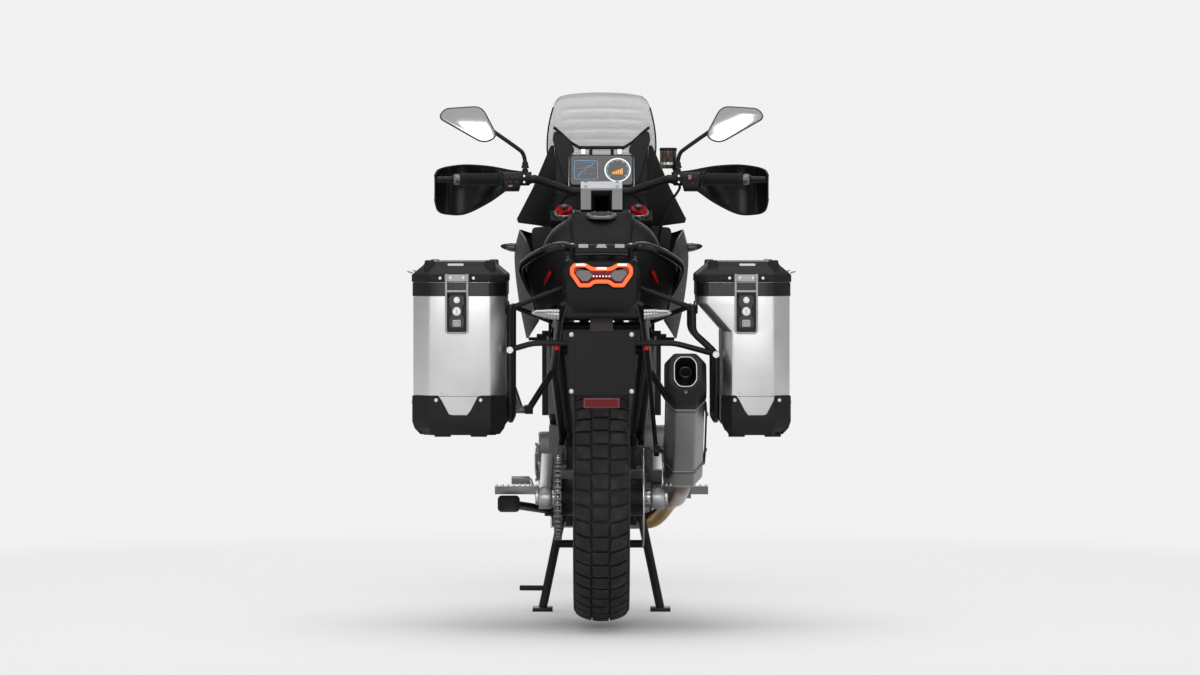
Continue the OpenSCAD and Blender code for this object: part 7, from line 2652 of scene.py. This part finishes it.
@dataclass
class Fittings(Assembly):
    """Small parts: peg teeth, carrier marks, screws, bolts, red strips, stand spring and guard stays.

    Attributes:
        carrier_back: Y of the carrier's rear face.
        mark_z: Height of the marks on that face.
        carrier_top: Z of the carrier's top face.
        brace_y: Y of the rear face of the pannier brace.
    """

    carrier_back: float = -968.6
    mark_z: float = 1024.0
    carrier_top: float = 1028.0
    brace_y: float = -931.0

    def build(self) -> None:
        """Makes the small parts, each from blocks, rods, coils and screws."""
        teeth = []
        for x in np.linspace(148, 292, 10):
            for y in (-222.0, -184.0):
                teeth.append(block((x, y - 3, 345.5), (x + 6, y + 3, 351), 0.8, 1.0))
        self.put("peg_teeth", joined(teeth).both(), STEEL, "steel")
        marks = [
            back_prism(
                rectangle(26, 10, 2, 3), self.carrier_back, self.carrier_back - 1.8, 0.4,
                (x, 0, self.mark_z)
            )
            for x in (-48, 48)
        ]
        marks.append(
            back_prism(
                np.array([[-15, -5], [15, -5], [10, 5], [-10, 5]], float), self.carrier_back,
                self.carrier_back - 1.8, 0.4, (0, 0, self.mark_z)
            )
        )
        self.put("carrier_marks", joined(marks), PALE, "bare_aluminium")
        c = np.array([[x, y, self.carrier_top] for x in (-78, 78) for y in (-812, -906)])
        self.put("carrier_screws", screws(c, (0, 0, 1), 5.5, 3.2), STEEL, "steel")
        brace = [
            lathe(
                [(3, 0), (10, 0), (10, 3), (8.6, 5), (5, 5), (4.4, 3), (3, 3)], (x, self.brace_y, z),
                (0, -1, 0), 20
            )
            for x, z in ((-243, 748), (304, 736))
        ]
        self.put("brace_bolts", joined(brace), STEEL, "steel")
        strips = [rod((s * 135, -868, 957), (s * 151, -846, 924), 6.5, 5.0) for s in (-1, 1)]
        spots = [block((s * 119 - 7, -880, 746), (s * 119 + 7, -874, 760), 2, 1) for s in (-1, 1)]
        self.put("red_accents", joined(strips + spots), RED, "dark_steel")
        hooks = coil((-118, -320, 262), (-120, -196, 300), 6.5, 1.6, 12, 6, 14)
        self.put("stand_spring", hooks, STEEL, "steel", angle=80)
        anchor = rod((436, 268, 1215), (479.5, 258.9, 1214.6), 9.0)
        stay = rod((196, 316.4, 1217.1), (206, 366, 1219), 5.5)
        self.put(
            "guard_stays", (anchor + stay).both(), POWDER, "frame", ("hand_guards",), body="steering"
        )


def machine_groups() -> list[Assembly]:
    """The machine's groups in the order in which they are built."""
    finishes = {
        "main_frame": POWDER, "engine": CASTING, "radiator": MOULDED, "tail_unit": MOULDED,
        "front_cowl": MOULDED, "display": MOULDED, "skid_plate": BRUSHED, "subframe": POWDER,
        "plate_holder": MOULDED, "rear_carrier": POWDER, "pannier_rack": POWDER, "swingarm": ARM,
        "rear_axle": STEEL, "rear_caliper": DARK_CASTING, "foot_controls": DARK_STEEL,
        "steering_yokes": YOKES, "fork_tubes": POWDER, "fork_legs": STEEL, "handlebar": POWDER,
        "bar_controls": MOULDED, "front_fender": MOULDED, "front_calipers": DARK_CASTING,
        "front_brake_hose": RUBBER, "front_wheel": POWDER, "front_discs": STEEL, "rear_wheel": POWDER,
        "rear_sprocket": STEEL, "rear_disc": STEEL, "centre_stand": POWDER, "side_stand": POWDER,
    }
    return [
        CarriedNodes(finishes=finishes), Tyre(body="rear_wheel"),
        Tyre(
            body="front_wheel", name="front_tyre", centre=(832.0, 347.0), outer=347.0, bead=267.0,
            width=90.0, rows=52, depth=6.0, splits=(-0.2, 0.2), bow=-3.0
        ),
        ChainLoop(), Tail(), Pannier(left=True), Pannier(left=False, cut=66.0), Silencer(), Saddle(),
        Tank(), Bodywork(), Cockpit(), FrontLights(), Suspension(), Exhaust(), EngineTrims(),
        Fittings(),
    ]


# ---------------------------------------------------------------- studio


@dataclass(frozen=True)
class Lamp:
    """A soft rectangular lamp.

    Attributes:
        name: Its name.
        at: Where it stands, in metres.
        aim: What it points at.
        size: Width and height.
        power: Power in watts.
    """

    name: str
    at: Point
    aim: Point
    size: tuple[float, float]
    power: float

    def place(self) -> None:
        """Makes the lamp and turns it to its aim."""
        data = bpy.data.lights.new(self.name, "AREA")
        data.shape = "RECTANGLE"
        data.size, data.size_y = self.size
        data.energy = self.power
        obj = bpy.data.objects.new(self.name, data)
        bpy.context.scene.collection.objects.link(obj)
        obj.location = self.at
        way = Vector(self.aim) - Vector(self.at)
        obj.rotation_euler = way.to_track_quat("-Z", "Y").to_euler()


@dataclass
class Studio:
    """Camera, world, floor and lamps.

    Attributes:
        distance: How far behind the origin the camera stands, in metres.
        height: Height of the lens.
        pitch: How far it looks down, in degrees.
        focal: Focal length in millimetres.
        shift: Sideways shift of the lens.
        pale: Brightness of floor and backdrop as the camera sees them.
        sky: Brightness of the world on the object.
        lift: Steady brightness under the floor's own shading, so that it meets the backdrop.
        albedo: The floor's own colour.
        fades: Where the floor turns into the backdrop: a centre, the distances at which that
            starts and ends, in metres, and how far it goes.
    """

    distance: float = 12.87
    height: float = 1.05
    pitch: float = 1.29
    focal: float = 135.0
    shift: float = -0.00125
    pale: float = 0.885
    sky: float = 0.4
    lift: float = 0.05
    albedo: float = 0.88
    fades: tuple[tuple[Point, float, float, float], ...] = (
        ((0, 0, 0), 1.5, 3.2, 1.0),
        ((0, -0.78, 0), 0.15, 1.0, 0.6),
    )

    def camera(self) -> None:
        """Sets up the camera."""
        data = bpy.data.cameras.new("camera")
        data.lens = self.focal
        data.sensor_width = 36
        data.shift_x = self.shift
        data.clip_end = 100
        obj = bpy.data.objects.new("camera", data)
        bpy.context.scene.collection.objects.link(obj)
        obj.location = (0, -self.distance, self.height)
        obj.rotation_euler = (math.radians(90 - self.pitch), 0, 0)
        bpy.context.scene.camera = obj

    def world(self) -> None:
        """A pale world to the camera, and a dimmer one that lights the object."""
        world = bpy.data.worlds.new("world")
        bpy.context.scene.world = world
        world.use_nodes = True
        nt = world.node_tree
        nt.nodes.clear()
        out = nt.nodes.new("ShaderNodeOutputWorld")
        seen, lit = nt.nodes.new("ShaderNodeBackground"), nt.nodes.new("ShaderNodeBackground")
        seen.inputs["Color"].default_value = (1, 1, 1, 1)
        seen.inputs["Strength"].default_value = self.pale
        lit.inputs["Color"].default_value = (1, 1, 1, 1)
        lit.inputs["Strength"].default_value = self.sky
        path, mix = nt.nodes.new("ShaderNodeLightPath"), nt.nodes.new("ShaderNodeMixShader")
        nt.links.new(path.outputs["Is Camera Ray"], mix.inputs[0])
        nt.links.new(lit.outputs[0], mix.inputs[1])
        nt.links.new(seen.outputs[0], mix.inputs[2])
        nt.links.new(mix.outputs[0], out.inputs["Surface"])

    def floor(self) -> None:
        """A floor that keeps the object's shadow and fades into the pale world."""
        r = np.array([0.0, 2.0, 4.0, 9.0, 30.0]) * 1000
        a = np.linspace(0, 2 * math.pi, 65)[:-1]
        pts = np.stack([r[:, None] * np.cos(a), r[:, None] * np.sin(a), np.full((5, 64), -0.6)], -1)
        shape = Shape(pts.reshape(-1, 3), [cells(5, 64, False, True)])
        mesh = bpy.data.meshes.new("floor")
        mesh.from_pydata((shape.verts * 0.001).tolist(), [], shape.faces[0].tolist())
        obj = bpy.data.objects.new("floor", mesh)
        bpy.context.scene.collection.objects.link(obj)
        mat = bpy.data.materials.new("studio_floor")
        mat.use_nodes = True
        nt = mat.node_tree
        b = nt.nodes["Principled BSDF"]
        b.inputs["Base Color"].default_value = (self.albedo, self.albedo, self.albedo, 1)
        b.inputs["Roughness"].default_value = 0.9
        b.inputs["Specular IOR Level"].default_value = 0.1
        glow, steady = nt.nodes.new("ShaderNodeEmission"), nt.nodes.new("ShaderNodeEmission")
        glow.inputs["Strength"].default_value = self.pale
        steady.inputs["Strength"].default_value = self.lift
        coord, widest = nt.nodes.new("ShaderNodeTexCoord"), nt.nodes.new("ShaderNodeMath")
        widest.operation = "MAXIMUM"
        for k, (centre, start, end, most) in enumerate(self.fades):
            away, fade = nt.nodes.new("ShaderNodeVectorMath"), nt.nodes.new("ShaderNodeMapRange")
            away.operation = "DISTANCE"
            away.inputs[1].default_value = centre
            fade.inputs["From Min"].default_value = start
            fade.inputs["From Max"].default_value = end
            fade.inputs["To Max"].default_value = most
            nt.links.new(coord.outputs["Object"], away.inputs[0])
            nt.links.new(away.outputs["Value"], fade.inputs["Value"])
            nt.links.new(fade.outputs["Result"], widest.inputs[k])
        lit, mix = nt.nodes.new("ShaderNodeAddShader"), nt.nodes.new("ShaderNodeMixShader")
        path, both = nt.nodes.new("ShaderNodeLightPath"), nt.nodes.new("ShaderNodeMath")
        seen = nt.nodes.new("ShaderNodeMixShader")
        both.operation = "MULTIPLY"
        nt.links.new(widest.outputs[0], both.inputs[0])
        nt.links.new(path.outputs["Is Camera Ray"], both.inputs[1])
        nt.links.new(b.outputs[0], lit.inputs[0])
        nt.links.new(steady.outputs[0], lit.inputs[1])
        nt.links.new(path.outputs["Is Camera Ray"], seen.inputs[0])
        nt.links.new(b.outputs[0], seen.inputs[1])
        nt.links.new(lit.outputs[0], seen.inputs[2])
        nt.links.new(both.outputs[0], mix.inputs[0])
        nt.links.new(seen.outputs[0], mix.inputs[1])
        nt.links.new(glow.outputs[0], mix.inputs[2])
        nt.links.new(mix.outputs[0], nt.nodes["Material Output"].inputs["Surface"])
        mesh.materials.append(mat)

    def build(self) -> None:
        """Sets the stage: camera first, then world, floor and lamps."""
        self.camera()
        self.world()
        self.floor()
        for lamp in (
            Lamp("lamp_top", (0, -0.6, 5.0), (0, -0.2, 0.7), (5.0, 4.5), 110),
            Lamp("lamp_left", (-5.2, -4.4, 2.8), (0, -0.6, 0.7), (2.6, 3.4), 40),
            Lamp("lamp_right", (5.2, -4.4, 2.8), (0, -0.6, 0.7), (2.6, 3.4), 40),
            Lamp("lamp_behind_camera", (0, -14.0, 3.6), (0, 0, 0.7), (6.0, 6.5), 330),
            Lamp("lamp_front", (0, 6.5, 3.4), (0, 0, 0.8), (4.5, 3.0), 90),
        ):
            lamp.place()
        bpy.context.scene.view_settings.view_transform = "Standard"


def main() -> None:
    """Builds the stage and then the machine, group by group."""
    Studio().build()
    for group in machine_groups():
        log.info("building %s", type(group).__name__)
        group.build()


if __name__ == "__main__":
    main()
